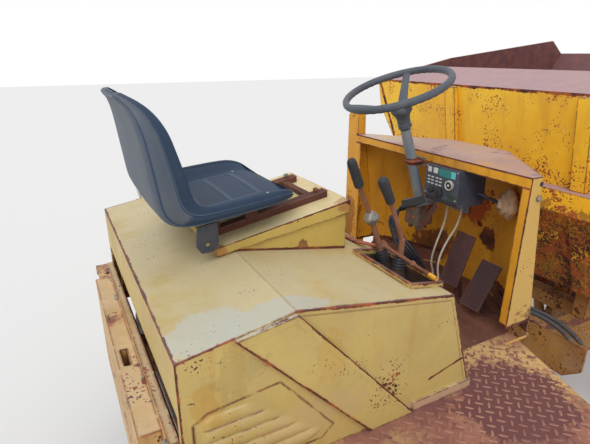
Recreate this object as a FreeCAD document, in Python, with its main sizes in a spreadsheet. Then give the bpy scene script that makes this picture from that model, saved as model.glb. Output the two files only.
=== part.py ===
"""Articulated site dumper: a tipping skip in front, an open driver's place, the engine under a low cover.

Frame: origin on the ground under the middle of the machine, +X forward to the skip, +Y to the driver's left,
+Z up. Millimetres. Every driving dimension is a named cell of the sheet called Sizes; the shapes are bound to
those cells or, where they are made by calculation, read them.
"""

import math
import os

import FreeCAD
import Part
import Sketcher

SIZES = [
    # name, value, what it is
    ("ground_z", 0, "level the tyres stand on"),
    ("deck_above_tyre", 24, "gap between the top of a tyre and the deck over it"),
    ("deck_plate", 6, "thickness of the checker plate"),
    ("deck_lip", 46, "depth of the folded outer edge of the deck"),
    ("deck_half_width", 886, "half the width over both decks"),
    ("deck_rear_x", -1600, "rear end of the decks"),
    ("deck_under_cover", 40, "a deck under the side of the engine cover"),
    ("floor_joint", 1, "open joint between a deck and the smooth floor"),
    ("floor_under_cover", 20, "smooth floor under the cover's sloping front"),
    ("deck_front_outer_x", -474, "front corner of a deck at its outer edge"),
    ("deck_front_inner_x", -330, "front corner of a deck beside the footwell"),
    ("footwell_half_width", 415, "half the width of the smooth floor"),
    ("floor_front_x", -118, "front end of the smooth floor under the dash"),
    ("floor_front_half_width", 150, "half the width of that front end"),
    ("floor_upstand", 56, "height of the upstands along the floor's slanted edges"),
    ("floor_upstand_sheet", 4, "sheet of those upstands"),
    ("pivot_x", -122, "vertical articulation pivot"),
    ("pivot_pin_radius", 26, "articulation pin"),
    ("head_plate", 24, "thickness of a head plate"),
    ("head_nose", 70, "radius of a head plate round the pin"),
    ("head_rear_half", 230, "half the width of a head plate at the rear chassis"),
    ("head_gap", 6, "gap between a head plate and the front tongue"),
    ("seat_gap", 0.3, "gap under a piece that rests on another"),
    ("running_fit", 0.05, "radial clearance of a pin in its bore"),
    ("rear_axle_x", -1120, "rear axle"),
    ("front_axle_x", 875, "front axle"),
    ("tyre_radius", 380, "outer radius over the lugs"),
    ("tyre_width", 264, "width over the sidewalls"),
    ("lug_height", 20, "height of a tread lug"),
    ("lug_thickness", 36, "thickness of a lug round the tyre"),
    ("lug_pairs", 14, "lugs on each side of the tread"),
    ("lug_sweep", 52, "how far a lug's outer end trails its inner end"),
    ("lug_middle", 8, "start of a lug from the tyre's middle"),
    ("lug_end", 5, "end of a lug inside the sidewall"),
    ("rim_radius", 195, "radius of the rim at the bead"),
    ("rim_width", 216, "width of the rim between its flanges"),
    ("bead_gap", 0.8, "radial gap between the rim and the tyre's flat-sided bead"),
    ("hub_hole_radius", 44, "middle hole of the wheel disc"),
    ("stud_count", 5, "studs of a wheel"),
    ("stud_circle", 54, "radius of the circle of studs"),
    ("stud_hole_radius", 7, "stud hole in the wheel disc"),
    ("wheel_track_half", 700, "wheel centre from the machine's centre"),
    ("wheel_offset", 34, "wheel disc outboard of the tyre's middle"),
    ("hub_radius", 70, "axle hub flange"),
    ("hub_flange", 12, "thickness of the hub flange"),
    ("disc_sheet", 9, "thickness of the wheel disc"),
    ("hub_cap_radius", 39, "hub cap in the wheel's middle hole"),
    ("hub_cap_length", 34, "hub cap beyond the flange"),
    ("axle_block_length", 120, "clamp block between an axle and a chassis member"),
    ("axle_tube_radius", 56, "axle tube"),
    ("differential_radius", 122, "round axle casing"),
    ("wheel_gap", 0.5, "gap between the hub flange and the wheel disc"),
    ("member_y", 300, "centre of a chassis member"),
    ("member_width", 80, "width of a chassis member"),
    ("member_wall", 8, "wall of a chassis member"),
    ("rear_member_rear_x", -1566, "rear end of the rear members"),
    ("rear_member_front_x", -330, "front end of the rear members"),
    ("cross_member_width", 60, "width of a rear cross member"),
    ("cross_member_height", 40, "height of a rear cross member"),
    ("outrigger_width", 50, "width of a beam under the decks"),
    ("outrigger_depth", 34, "depth of such a beam"),
    ("front_member_rear_x", 115, "rear end of the front members"),
    ("front_member_front_x", 1062, "front end of the front members"),
    ("cross_plate_half", 475, "half the width of the front chassis's rear cross plate"),
    ("cross_plate_x", 100, "rear face of that cross plate"),
    ("cross_plate_flange", 110, "width of its flat top"),
    ("flange_sheet", 8, "sheet of that flat top"),
    ("tongue_boss_radius", 60, "boss of the front tongue round the articulation pin"),
    ("tongue_half", 110, "half the width of the tongue at the cross plate"),
    ("rest_post_x", 320, "rear of the posts that the skip rests on"),
    ("hose_radius", 9, "hydraulic hose"),
    ("cover_half_width", 548, "half the width of the engine cover"),
    ("cover_sheet", 5, "sheet of the engine cover"),
    ("cover_rear_x", -1550, "rear face of the engine cover"),
    ("cover_ridge_x", -1277, "cross fold of the cover's top"),
    ("cover_front_x", -792, "front edge of the cover's top"),
    ("cover_foot_x", -683, "foot of the cover's sloping front"),
    ("cover_skirt", 150, "depth of the skirt across the rear"),
    ("lever_hole_rear_x", -896, "rear edge of the lever opening"),
    ("lever_hole_front_x", -786, "front edge of the lever opening"),
    ("lever_hole_right_y", -489, "right edge of the lever opening"),
    ("lever_hole_left_y", -225, "left edge of the lever opening"),
    ("coaming", 14, "height of the rim round the lever opening"),
    ("coaming_half", 5, "half the thickness of that rim"),
    ("lever_radius", 9, "lower rod of a lever"),
    ("lever_upper_radius", 7, "upper rod of a lever"),
    ("lever_grip_radius", 13, "grip of a lever"),
    ("lever_ball_radius", 20, "lumpy ball on the drive lever"),
    ("coaming_sink", 3, "that rim below the top of the cover"),
    ("lever_tray_depth", 46, "floor of the lever tray below the cover's top at its front"),
    ("lever_tray_sheet", 4, "sheet of the lever tray"),
    ("vent_rear_x", -1525, "rear edge of the side vent"),
    ("vent_ridge_x", -1319, "upper front corner of the side vent"),
    ("vent_front_x", -1170, "lower front corner of the side vent"),
    ("louvre_count", 5, "pressed louvres of a vent panel"),
    ("louvre_pitch", 36, "spacing of the pressed louvres"),
    ("louvre_rise", 9, "height of a pressed louvre"),
    ("strap_width", 150, "width of the diagonal strap on the cover's side"),
    ("strap_proud", 13, "strap proud of the side"),
    ("strap_top_x", -1350, "middle of the strap at the top"),
    ("strap_foot_x", -985, "middle of the strap at the deck"),
    ("kick_height", 28, "light strip at the foot of the cover"),
    ("kick_thickness", 8, "thickness of that strip"),
    ("guard_x", -1572, "rear face of the radiator guard panel"),
    ("guard_sheet", 6, "sheet of the radiator guard"),
    ("guard_half_width", 520, "half the width of the radiator guard"),
    ("guard_flange", 22, "width of the guard's folded top"),
    ("guard_slot_count", 7, "slots of the radiator guard"),
    ("guard_slot_first", 60, "lowest slot above the guard's lower edge"),
    ("guard_slot_pitch", 36, "spacing of those slots"),
    ("guard_slot_height", 14, "height of a slot"),
    ("guard_slot_half", 240, "half the length of a slot"),
    ("bumper_rear_x", -1627, "rear face of the bumper plate"),
    ("bumper_thickness", 55, "thickness of the bumper plate"),
    ("bumper_half_width", 440, "half the width of the bumper plate"),
    ("bumper_slot_length", 84, "slot in the bumper plate"),
    ("bumper_slot_inset", 14, "that slot from the plate's rear face"),
    ("bumper_slot_y", -160, "right end of that slot from the centre"),
    ("bumper_slot_width", 20, "width of that slot"),
    ("engine_length", 600, "engine block"),
    ("engine_width", 440, "engine block"),
    ("engine_height", 470, "engine block"),
    ("engine_rear_x", -1480, "rear end of the engine block"),
    ("seat_middle_y", 12, "middle of the seat and its box from the machine's centre"),
    ("seat_box_half", 192, "half the width of the seat box"),
    ("seat_box_rear_x", -1330, "rear end of the seat box"),
    ("seat_box_front_x", -905, "front of the seat box"),
    ("seat_box_sheet", 4, "sheet of the seat box"),
    ("lid_lip", 42, "depth of the lid's folded lip at the front"),
    ("lid_rear_lip", 22, "depth of the lid's folded lip at the rear"),
    ("lid_sheet", 4, "sheet of the lid"),
    ("lid_overhang", 9, "lid beyond the box"),
    ("lid_hinge_radius", 6, "hinge knuckle of the lid"),
    ("seat_half", 238, "half the width of the seat"),
    ("seat_wall", 12, "wall of the moulded seat"),
    ("seat_front_x", -1098, "front edge of the seat"),
    ("ear_back", 266, "hole of a seat ear behind the seat's front edge"),
    ("ear_inset", 24, "middle of a seat ear inside the seat's side"),
    ("ear_sheet", 6, "thickness of a seat ear"),
    ("ear_below_hole", 22, "foot of a seat ear below its hole"),
    ("ear_hole_radius", 6, "hole in a seat ear"),
    ("rail_y", 105, "seat rail from the centre"),
    ("rail_width", 34, "width of a seat rail"),
    ("rail_height", 22, "height of a seat rail"),
    ("rail_length", 392, "length of a seat rail"),
    ("dash_half", 460, "half the width of the dash"),
    ("dash_rear_x", -418, "rear edge of the dash"),
    ("dash_front_x", -130, "front of the dash"),
    ("dash_front_half", 140, "half the width of the dash's front"),
    ("dash_side_top_depth", 46, "depth of the dash's side at the top"),
    ("dash_side_foot_depth", 124, "depth of the dash's side at the floor"),
    ("dash_sheet", 5, "sheet of the dash"),
    ("dash_lip", 36, "folded lip under the dash's rear edge"),
    ("dash_ear_width", 72, "width of that post's face beyond the dash"),
    ("dash_ear_depth", 66, "depth of that post"),
    ("column_y", 40, "steering column from the centre"),
    ("column_tilt", 20, "lean of the steering column, degrees"),
    ("column_radius", 19.5, "steering column tube"),
    ("column_foot_x", -389, "foot of the column tube"),
    ("column_length", 315, "length of the column tube"),
    ("column_bore_radius", 11, "bore of the column tube"),
    ("column_plate_half", 42, "half the width of the column's plates"),
    ("wheel_above_column", 158, "steering wheel's middle above the tube's end"),
    ("spoke_turn", 38, "first spoke's turn from the front, degrees"),
    ("steering_wheel_radius", 191, "steering wheel to the middle of its rim"),
    ("steering_rim_radius", 13.5, "steering wheel rim"),
    ("hub_sink", 64, "top of the steering wheel's hub below its rim"),
    ("hub_boss_radius", 40, "steering wheel's hub where the spokes meet"),
    ("hub_boss_depth", 38, "depth of that hub to its neck"),
    ("hub_neck_radius", 25, "neck of that hub over the column"),
    ("spoke_root_half", 20, "half the width of a spoke at the hub"),
    ("spoke_tip_half", 11, "half the width of a spoke at the rim"),
    ("panel_right_y", -196, "right side of the instrument box"),
    ("panel_width", 164, "width of the instrument box"),
    ("panel_depth", 140, "depth of the instrument box"),
    ("panel_dial_y", 38, "middle of the dial from the box's right side"),
    ("panel_dial_drop", 57, "middle of the dial below the box's top"),
    ("panel_dial_radius", 16, "dial of the instrument box"),
    ("panel_key_radius", 17, "ring of the key switch"),
    ("panel_knob_radius", 11, "knob of the instrument box"),
    ("horn_y", 308, "horn from the centre, to the right"),
    ("cable_radius", 4, "control cable"),
    ("pedal_half_width", 44, "half the width of a pedal plate"),
    ("pedal_plate", 8, "thickness of a pedal plate"),
    ("pedal_inner_y", -150, "middle of the pedal beside the column"),
    ("pedal_inner_top_x", -310, "its upper end"),
    ("pedal_inner_low_x", -380, "its lower end"),
    ("pedal_outer_y", -270, "middle of the right pedal"),
    ("pedal_outer_top_x", -291, "its upper end"),
    ("pedal_outer_low_x", -388, "its lower end"),
    ("tip_pivot_x", 1010, "tipping pivot of the skip"),
    ("tip_pin_radius", 20, "tipping pivot pin"),
    ("skip_half", 888, "half the width of the skip's top"),
    ("skip_bottom_half", 480, "half the width of the skip's floor"),
    ("skip_wall", 6, "plate of the skip"),
    ("skip_rear_rim_x", 20, "rear rim of the skip"),
    ("skip_rear_knee_x", 104, "rear wall at its stiffener"),
    ("skip_floor_rear_x", 275, "rear end of the skip's floor"),
    ("skip_floor_front_x", 890, "front end of the skip's floor"),
    ("skip_lip_x", 1627, "front lip of the skip"),
    ("skip_tip_x", 1511, "top corner of the skip's side"),
    ("skip_side_mid_x", 565, "break in the side's top edge"),
    ("skip_hood_x", 348, "front edge of the rear hood plate"),
    ("ledge_height", 90, "box stiffener across the rear wall"),
    ("ledge_depth", 62, "depth of that stiffener"),
    ("rib_y", 323, "upright rib on the rear wall from the centre"),
    ("rib_width", 60, "width of an upright rib"),
    ("rib_depth", 26, "depth of an upright rib"),
    ("skip_lug_y", 225, "skip's pivot lug from the centre"),
    ("skip_lug_width", 44, "thickness of a pivot lug"),
    ("lug_boss_radius", 46, "boss round a pivot"),
    ("cylinder_foot_x", 640, "foot of the tipping cylinder"),
    ("cylinder_eye_x", 771, "rod eye of the tipping cylinder"),
    ("barrel_radius", 45, "tipping cylinder barrel"),
    ("rod_radius", 25, "tipping cylinder rod"),
    ("eye_radius", 24, "cylinder eye"),
    ("eye_pin_radius", 15, "cylinder pin"),
    ("foot_ear_gap", 50, "half the gap between the ears at the tipping cylinder's foot"),
    ("foot_ear", 12, "thickness of such an ear"),
    ("eye_ear_gap", 31, "half the gap between the skip's ears at the rod's eye"),
    ("eye_ear", 12, "thickness of such an ear"),
    ("tip_barrel_length", 360, "foot pin to the end of the tipping barrel"),
    ("tip_rod_length", 352, "length of the tipping rod to its eye"),
    ("steer_barrel_length", 221, "rear pin to the end of the steering barrel"),
    ("steer_rod_length", 232, "length of the steering rod to its eye"),
    ("tip_neck", 4, "tipping barrel beyond its foot eye"),
    ("steer_neck", 18, "steering barrel beyond its foot eye"),
    ("gland_length", 30, "gland at the open end of a barrel"),
    ("gland_proud", 4, "gland proud of the barrel"),
    ("barrel_wall", 8, "wall of a barrel"),
    ("barrel_end_wall", 10, "closed end of a barrel"),
    ("steer_eye_radius", 22, "eye of the steering cylinder"),
    ("eye_side_gap", 5, "gap between an eye and the ears beside it"),
    ("steer_rear_x", -322, "rear anchor of the steering cylinder"),
    ("steer_front_x", 38, "front anchor of the steering cylinder"),
    ("steer_y", 120, "steering cylinder from the centre"),
    ("steer_ear_gap", 22, "half the gap between the ears of a steering anchor"),
    ("steer_ear", 20, "thickness of such an ear"),
    ("steer_ear_reach", 24, "such an ear in front of its pin's middle"),
    ("steer_barrel_radius", 26, "steering cylinder barrel"),
    ("steer_rod_radius", 13, "steering cylinder rod"),
]

HEIGHTS = [
    # name, height above the top of the decks (below it where negative), what it is
    ("pivot_head_top", -126, "top of the upper head plate"),
    ("pivot_head_bottom", -350, "underside of the lower head plate"),
    ("rear_member_top", -90, "top of the rear members"),
    ("rear_member_bottom", -230, "underside of the rear members"),
    ("front_member_top", -190, "top of the front members"),
    ("front_member_bottom", -330, "underside of the front members"),
    ("cross_plate_top", -184, "top of that cross plate"),
    ("cross_plate_bottom", -360, "underside of that cross plate"),
    ("cover_rear_top", 378, "top of the cover at its rear edge"),
    ("cover_ridge_top", 423, "height of that fold"),
    ("cover_front_top", 337, "height of that edge"),
    ("vent_bottom_z", 36, "lower edge of the side vent"),
    ("vent_rear_z", 214, "upper rear corner of the side vent"),
    ("vent_ridge_z", 251, "height of that corner"),
    ("guard_top", 160, "top of the radiator guard"),
    ("guard_bottom", -190, "underside of the radiator guard"),
    ("bumper_top", 135, "top of the bumper plate"),
    ("bumper_bottom", -230, "underside of the bumper plate"),
    ("engine_bottom", -184, "underside of the engine block"),
    ("lid_front_top", 521, "top of the lid at its front"),
    ("lid_rear_top", 446, "top of the lid at its rear"),
    ("ear_hole_z", 468, "hole of a seat ear"),
    ("dash_top", 596, "top of the dash"),
    ("dash_foot_z", 62, "foot of the dash's side walls"),
    ("dash_ear_top", 690, "top of the post at the dash's left"),
    ("column_foot_z", 387, "height of that foot"),
    ("column_clamp_z", 555, "height of the column's clamp at the dash"),
    ("panel_bottom", 420, "underside of the instrument box"),
    ("horn_z", 443, "horn"),
    ("pedal_inner_top_z", 288, "upper end of the pedal beside the column"),
    ("pedal_inner_low_z", 88, "its lower end"),
    ("pedal_outer_top_z", 207, "upper end of the right pedal"),
    ("pedal_outer_low_z", 43, "its lower end"),
    ("tip_pivot_z", -100, "tipping pivot of the skip"),
    ("skip_side_break", 660, "height where the skip's sides start to slope in"),
    ("skip_floor", -48, "underside of the skip's floor"),
    ("skip_rear_rim_z", 817, "height of the rear rim"),
    ("skip_rear_knee_z", 360, "height of that knee"),
    ("skip_lip_z", 950, "height of the front lip"),
    ("skip_tip_z", 1035, "height of that corner"),
    ("skip_side_mid_z", 927, "height of that break"),
    ("skip_hood_z", 883, "height of that edge"),
    ("cylinder_foot_z", -490, "height of that foot"),
    ("cylinder_eye_z", -79, "height of that eye"),
    ("steer_z", -68, "height of the steering cylinder"),
]


class Dim:
    """A size that carries both its number and the sheet expression that gives it."""

    def __init__(self, text, number):
        self.text = text
        self.number = float(number)

    def __float__(self):
        return self.number

    @staticmethod
    def of(other):
        """Wrap a plain number, or hand a Dim back as it is."""
        return other if isinstance(other, Dim) else Dim(f"({other:.9g})", other)

    def __add__(self, other):
        other = Dim.of(other)
        return Dim(f"({self.text} + {other.text})", self.number + other.number)

    def __sub__(self, other):
        other = Dim.of(other)
        return Dim(f"({self.text} - {other.text})", self.number - other.number)

    def __mul__(self, other):
        other = Dim.of(other)
        return Dim(f"({self.text} * {other.text})", self.number * other.number)

    def __truediv__(self, other):
        other = Dim.of(other)
        return Dim(f"({self.text} / {other.text})", self.number / other.number)

    def __radd__(self, other):
        return Dim.of(other) + self

    def __rsub__(self, other):
        return Dim.of(other) - self

    def __rmul__(self, other):
        return Dim.of(other) * self

    def __neg__(self):
        return Dim(f"(0 - {self.text})", -self.number)


class Sizes:
    """The driving dimensions as attributes, each a Dim bound to its cell; heights count from the decks."""

    def __init__(self, document, lengths, heights):
        sheet = document.addObject("Spreadsheet::Sheet", "Sizes")
        for row, (name, number, note) in enumerate(lengths + heights, 1):
            sheet.set(f"A{row}", note)
            sheet.set(f"B{row}", str(number))
            sheet.setAlias(f"B{row}", name)
            setattr(self, name, Dim(f"Sizes.{name}", number))
        self.deck_top = self.ground_z + 2 * self.tyre_radius + self.deck_above_tyre + self.deck_plate
        for name, _, _ in heights:
            setattr(self, name, self.deck_top + getattr(self, name))


doc = FreeCAD.newDocument("SiteDumper")
S = Sizes(doc, SIZES, HEIGHTS)
doc.recompute()

NODES = {}


def bind(thing, **properties):
    """Bind an object's properties to the sheet; a double underscore stands for a dot in the path."""
    for path, size in properties.items():
        size = Dim.of(size)
        path = path.replace("__", ".")
        if "." not in path:
            setattr(thing, path, size.number)
        thing.setExpression(path, size.text)
    return thing


def place(thing, x=0, y=0, z=0):
    """Bind an object's position to the sheet."""
    return bind(thing, Placement__Base__x=x, Placement__Base__y=y, Placement__Base__z=z)


def box(name, low, size):
    """A box from its lowest corner and its three lengths."""
    thing = doc.addObject("Part::Box", name)
    bind(thing, Length=size[0], Width=size[1], Height=size[2])
    return place(thing, *low)


TURN_TO = {
    "X": FreeCAD.Rotation(FreeCAD.Vector(0, 1, 0), 90),
    "Y": FreeCAD.Rotation(FreeCAD.Vector(1, 0, 0), -90),
    "Z": FreeCAD.Rotation(),
}


def rod(name, axis, start, radius, length):
    """A round bar along +X, +Y or +Z from the middle of its first face."""
    thing = doc.addObject("Part::Cylinder", name)
    thing.Placement.Rotation = TURN_TO[axis]
    bind(thing, Radius=radius, Height=length)
    return place(thing, *start)


PLANES = {"XY": ("XY_Plane", 1), "XZ": ("XZ_Plane", -1), "YZ": ("YZ_Plane", 1)}


def slab(name, plane, outline, start, depth):
    """A plate whose outline is a list of corner points; it runs from start by depth along +Z, +Y or +X."""
    role, sense = PLANES[plane]
    body = doc.addObject("PartDesign::Body", name + "_body")
    sketch = body.newObject("Sketcher::SketchObject", name + "_outline")
    origin_plane = [f for f in body.Origin.OriginFeatures if f.Role == role][0]
    sketch.AttachmentSupport = [(origin_plane, "")]
    sketch.MapMode = "FlatFace"
    outline = [(Dim.of(u), Dim.of(v)) for u, v in outline]
    count = len(outline)
    corners = [FreeCAD.Vector(u.number, v.number, 0) for u, v in outline]
    for index in range(count):
        sketch.addGeometry(Part.LineSegment(corners[index], corners[(index + 1) % count]), False)
    for index in range(count):
        sketch.addConstraint(Sketcher.Constraint("Coincident", index, 2, (index + 1) % count, 1))
    for index, (u, v) in enumerate(outline):
        for kind, size in (("DistanceX", u), ("DistanceY", v)):
            number = sketch.addConstraint(Sketcher.Constraint(kind, -1, 1, index, 1, size.number))
            sketch.setExpression(f"Constraints[{number}]", size.text)
    bind(sketch, AttachmentOffset__Base__z=sense * Dim.of(start))
    pad = body.newObject("PartDesign::Pad", name + "_pad")
    pad.Profile = sketch
    pad.Reversed = sense < 0
    bind(pad, Length=depth)
    body.Tip = pad
    return body


def mirrored(name, thing):
    """The same piece on the machine's other side."""
    copy = doc.addObject("Part::Mirroring", name)
    copy.Source = thing
    copy.Normal = FreeCAD.Vector(0, 1, 0)
    copy.Base = FreeCAD.Vector(0, 0, 0)
    return copy


def joined(name, *pieces):
    """Weld pieces into one."""
    thing = doc.addObject("Part::MultiFuse", name)
    thing.Shapes = list(pieces)
    thing.Refine = True
    return thing


def common(name, *pieces):
    """What the pieces share."""
    thing = doc.addObject("Part::MultiCommon", name)
    thing.Shapes = list(pieces)
    thing.Refine = True
    return thing


def cut(name, base, *tools):
    """The base with the tools taken out."""
    for number, tool in enumerate(tools, 1):
        last = number == len(tools)
        thing = doc.addObject("Part::Cut", name if last else f"{name}_cut{number}")
        thing.Base = base
        thing.Tool = tool
        thing.Refine = True
        base = thing
    return base


def both_sides(name, thing):
    """A piece and its mirror image in one object, as separate solids where they do not touch."""
    pair = doc.addObject("Part::Compound", name)
    pair.Links = [thing, mirrored(name + "_left", thing)]
    return pair


def formed(name, shape):
    """A shape made by calculation from the sheet's numbers."""
    thing = doc.addObject("Part::Feature", name)
    thing.Shape = shape
    return thing


def node(name, thing):
    """Name a finished sub-part; the label names its file."""
    thing.Label = name
    NODES[name] = thing
    return thing


def point(x, y, z):
    """A FreeCAD vector from sizes or numbers."""
    return FreeCAD.Vector(float(x), float(y), float(z))


def face(points):
    """A flat face with these corners."""
    return Part.Face(Part.makePolygon(list(points) + [points[0]]))


def prism(points, direction):
    """A solid from a flat outline and the vector it is pushed along."""
    return face(points).extrude(direction)


def side_prism(outline, y_low, y_high):
    """An outline in X and Z pushed across the machine."""
    return prism([point(x, y_low, z) for x, z in outline], point(0, float(y_high) - float(y_low), 0))


def long_prism(outline, x_low, x_high):
    """An outline in Y and Z pushed along the machine."""
    return prism([point(x_low, y, z) for y, z in outline], point(float(x_high) - float(x_low), 0, 0))


def flat_prism(outline, z_low, z_high):
    """An outline in X and Y pushed upwards."""
    return prism([point(x, y, z_low) for x, y in outline], point(0, 0, float(z_high) - float(z_low)))


def inset(outline, distance):
    """The same outline moved inwards by a sheet's thickness, its corners kept sharp."""
    corners = [FreeCAD.Vector(float(u), float(v), 0) for u, v in outline]
    wire = Part.makePolygon(corners + [corners[0]])
    moved = wire.makeOffset2D(-float(distance), join=2)
    if Part.Face(moved).Area > Part.Face(wire).Area:
        moved = wire.makeOffset2D(float(distance), join=2)
    return [(v.Point.x, v.Point.y) for v in moved.OrderedVertexes]


def lean(shape, about, degrees, axis=(0, 1, 0)):
    """Turn a shape about a line through a point."""
    shape.rotate(point(*about), FreeCAD.Vector(*axis), float(degrees))
    return shape


def cylinder_between(start, end, radius):
    """A round bar from one point to another."""
    start, end = point(*start), point(*end)
    return Part.makeCylinder(float(radius), (end - start).Length, start, end - start)


# Ground works: axles, wheels and tyres


AXLE_Z = S.ground_z + S.tyre_radius


def faceted_ring(profile, sides):
    """A closed ring of flat faces: the profile of (along the axle, radius) swept round the Y axis."""
    faces = []
    step = 2 * math.pi / sides

    def corner(number, index):
        y, radius = profile[number % len(profile)]
        angle = -math.pi / 2 + (index + 0.5) * step
        return FreeCAD.Vector(radius * math.cos(angle), y, radius * math.sin(angle))

    for index in range(sides):
        for number in range(len(profile)):
            quad = [corner(number, index), corner(number + 1, index)]
            quad += [corner(number + 1, index + 1), corner(number, index + 1)]
            faces.append(face(quad))
    return Part.makeSolid(Part.makeShell(faces))


def tyre_shape():
    """A carcass with bulged sidewalls and two rows of slanted lugs, about the Y axis at the origin."""
    half = float(S.tyre_width) / 2
    crown = float(S.tyre_radius - S.lug_height)
    bead = float(S.rim_radius)
    rim_half = float(S.rim_width) / 2
    bulge = bead + (crown - bead) * 0.5
    shoulder = crown - 16
    # distance along the axle, radius
    profile = [
        (-rim_half, bead),
        (-half, bulge),
        (-half + 12, shoulder),
        (-half * 0.62, crown),
        (half * 0.62, crown),
        (half - 12, shoulder),
        (half, bulge),
        (rim_half, bead),
    ]
    pairs = round(float(S.lug_pairs))
    carcass = faceted_ring(profile, 4 * pairs)
    tread = Part.makeCylinder(float(S.tyre_radius), 2 * half, point(0, -half, 0), point(0, 1, 0))
    lugs = []
    thick = float(S.lug_thickness)
    sweep = float(S.lug_sweep)
    start, end = float(S.lug_middle), half - float(S.lug_end)
    inner = float(S.lug_height) * 1.9
    for side, phase in ((1, 0.0), (-1, 0.5)):
        # across the tyre, round the tyre
        outline = [
            (side * start, -thick / 2 + sweep / 2),
            (side * end, -thick / 2 - sweep / 2),
            (side * end, thick / 2 - sweep / 2),
            (side * start, thick / 2 + sweep / 2),
        ]
        base = [point(x, y, -crown + inner) for y, x in outline]
        lug = prism(base, point(0, 0, -(float(S.lug_height) + inner + 20))).common(tread)
        for index in range(pairs):
            turned = lug.copy()
            turned.rotate(point(0, 0, 0), point(0, 1, 0), 360 / pairs * (index + phase))
            lugs.append(turned)
    return carcass.multiFuse(lugs)


def wheel_shape():
    """A pressed disc wheel with its rim, hub hole and stud holes; its outer side faces +Y."""
    bead = float(S.rim_radius - S.bead_gap)
    half = float(S.rim_width) / 2
    offset = float(S.wheel_offset)
    hub, hole, sheet = float(S.hub_radius), float(S.hub_hole_radius), float(S.disc_sheet)
    # distance along the axle, radius
    rim = [
        (-half, bead), (-half - 7, bead + 14), (-half - 10, bead + 14), (-half - 10, bead - 4),
        (-half + 6, bead - 9), (-22, bead - 34), (22, bead - 34), (half - 6, bead - 9),
        (half + 10, bead - 4), (half + 10, bead + 14), (half + 7, bead + 14), (half, bead),
        (half - 8, bead - 1), (30, bead - 24), (-30, bead - 24), (-half + 8, bead - 1),
    ]
    disc = [
        (offset, hole), (offset, hub + 26), (offset + 18, hub + 48), (10, bead - 30),
        (-4, bead - 30), (offset + 6, hub + 40), (offset - sheet, hub + 22), (offset - sheet, hole),
    ]
    rings = []
    for outline in (rim, disc):
        ring = face([point(r, y, 0) for y, r in outline])
        rings.append(ring.revolve(point(0, 0, 0), point(0, 1, 0), 360))
    wheel = rings[0].fuse(rings[1])
    count, circle = round(float(S.stud_count)), float(S.stud_circle)
    for index in range(count):
        angle = 2 * math.pi * index / count + math.pi / 2
        at = point(circle * math.cos(angle), offset - 20, circle * math.sin(angle))
        wheel = wheel.cut(Part.makeCylinder(float(S.stud_hole_radius), 40, at, point(0, 1, 0)))
    return wheel.removeSplitter()


def make_wheels():
    """Four tyres and four wheels, those of the right side turned to face outwards."""
    tyre, wheel = tyre_shape(), wheel_shape()
    for end, axle_x in (("rear", S.rear_axle_x), ("front", S.front_axle_x)):
        for side, sign in (("left", 1), ("right", -1)):
            for kind, shape in (("tyre", tyre), ("wheel", wheel)):
                piece = shape.copy()
                if sign < 0:
                    piece.rotate(point(0, 0, 0), point(0, 0, 1), 180)
                thing = formed(f"{kind}_{end}_{side}", piece)
                place(thing, axle_x, sign * S.wheel_track_half, AXLE_Z)
                node(f"{kind}_{end}_{side}", thing)


def make_axle(end, axle_x, member_bottom):
    """A drive axle: tube, round casing, hub flanges and the clamp blocks that hold the chassis members."""
    flange_y = S.wheel_track_half + S.wheel_offset - S.disc_sheet - S.wheel_gap
    flange, cap, block = S.hub_flange, S.hub_cap_length, S.axle_block_length
    tube_piece = rod(f"{end}_axle_tube", "Y", (axle_x, -flange_y + flange, AXLE_Z), S.axle_tube_radius,
                     2 * (flange_y - flange))
    casing = doc.addObject("Part::Sphere", f"{end}_axle_casing")
    bind(casing, Radius=S.differential_radius)
    place(casing, axle_x, 0, AXLE_Z)
    pieces = [tube_piece, casing]
    for side, sign in (("left", 1), ("right", -1)):
        start = flange_y - flange if sign > 0 else -flange_y
        pieces.append(rod(f"{end}_hub_flange_{side}", "Y", (axle_x, start, AXLE_Z), S.hub_radius, flange))
        cap_start = flange_y if sign > 0 else -flange_y - cap
        pieces.append(rod(f"{end}_hub_cap_{side}", "Y", (axle_x, cap_start, AXLE_Z), S.hub_cap_radius, cap))
        foot_z = AXLE_Z - S.axle_tube_radius / 2
        low = (axle_x - block / 2, sign * S.member_y - S.member_width / 2, foot_z)
        pieces.append(box(f"{end}_axle_block_{side}", low, (block, S.member_width, member_bottom - foot_z)))
    node(f"{end}_axle", joined(f"{end}_axle", *pieces))


# Rear chassis, decks and rear end


def hollow_member(name, x_low, x_high, y_middle, z_low, z_high):
    """A rectangular hollow chassis member along the machine."""
    wall = S.member_wall
    outer = box(name + "_outer", (x_low, y_middle - S.member_width / 2, z_low),
                (x_high - x_low, S.member_width, z_high - z_low))
    inner = box(name + "_inner", (x_low - 1, y_middle - S.member_width / 2 + wall, z_low + wall),
                (x_high - x_low + 2, S.member_width - 2 * wall, z_high - z_low - 2 * wall))
    return cut(name, outer, inner)


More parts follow.
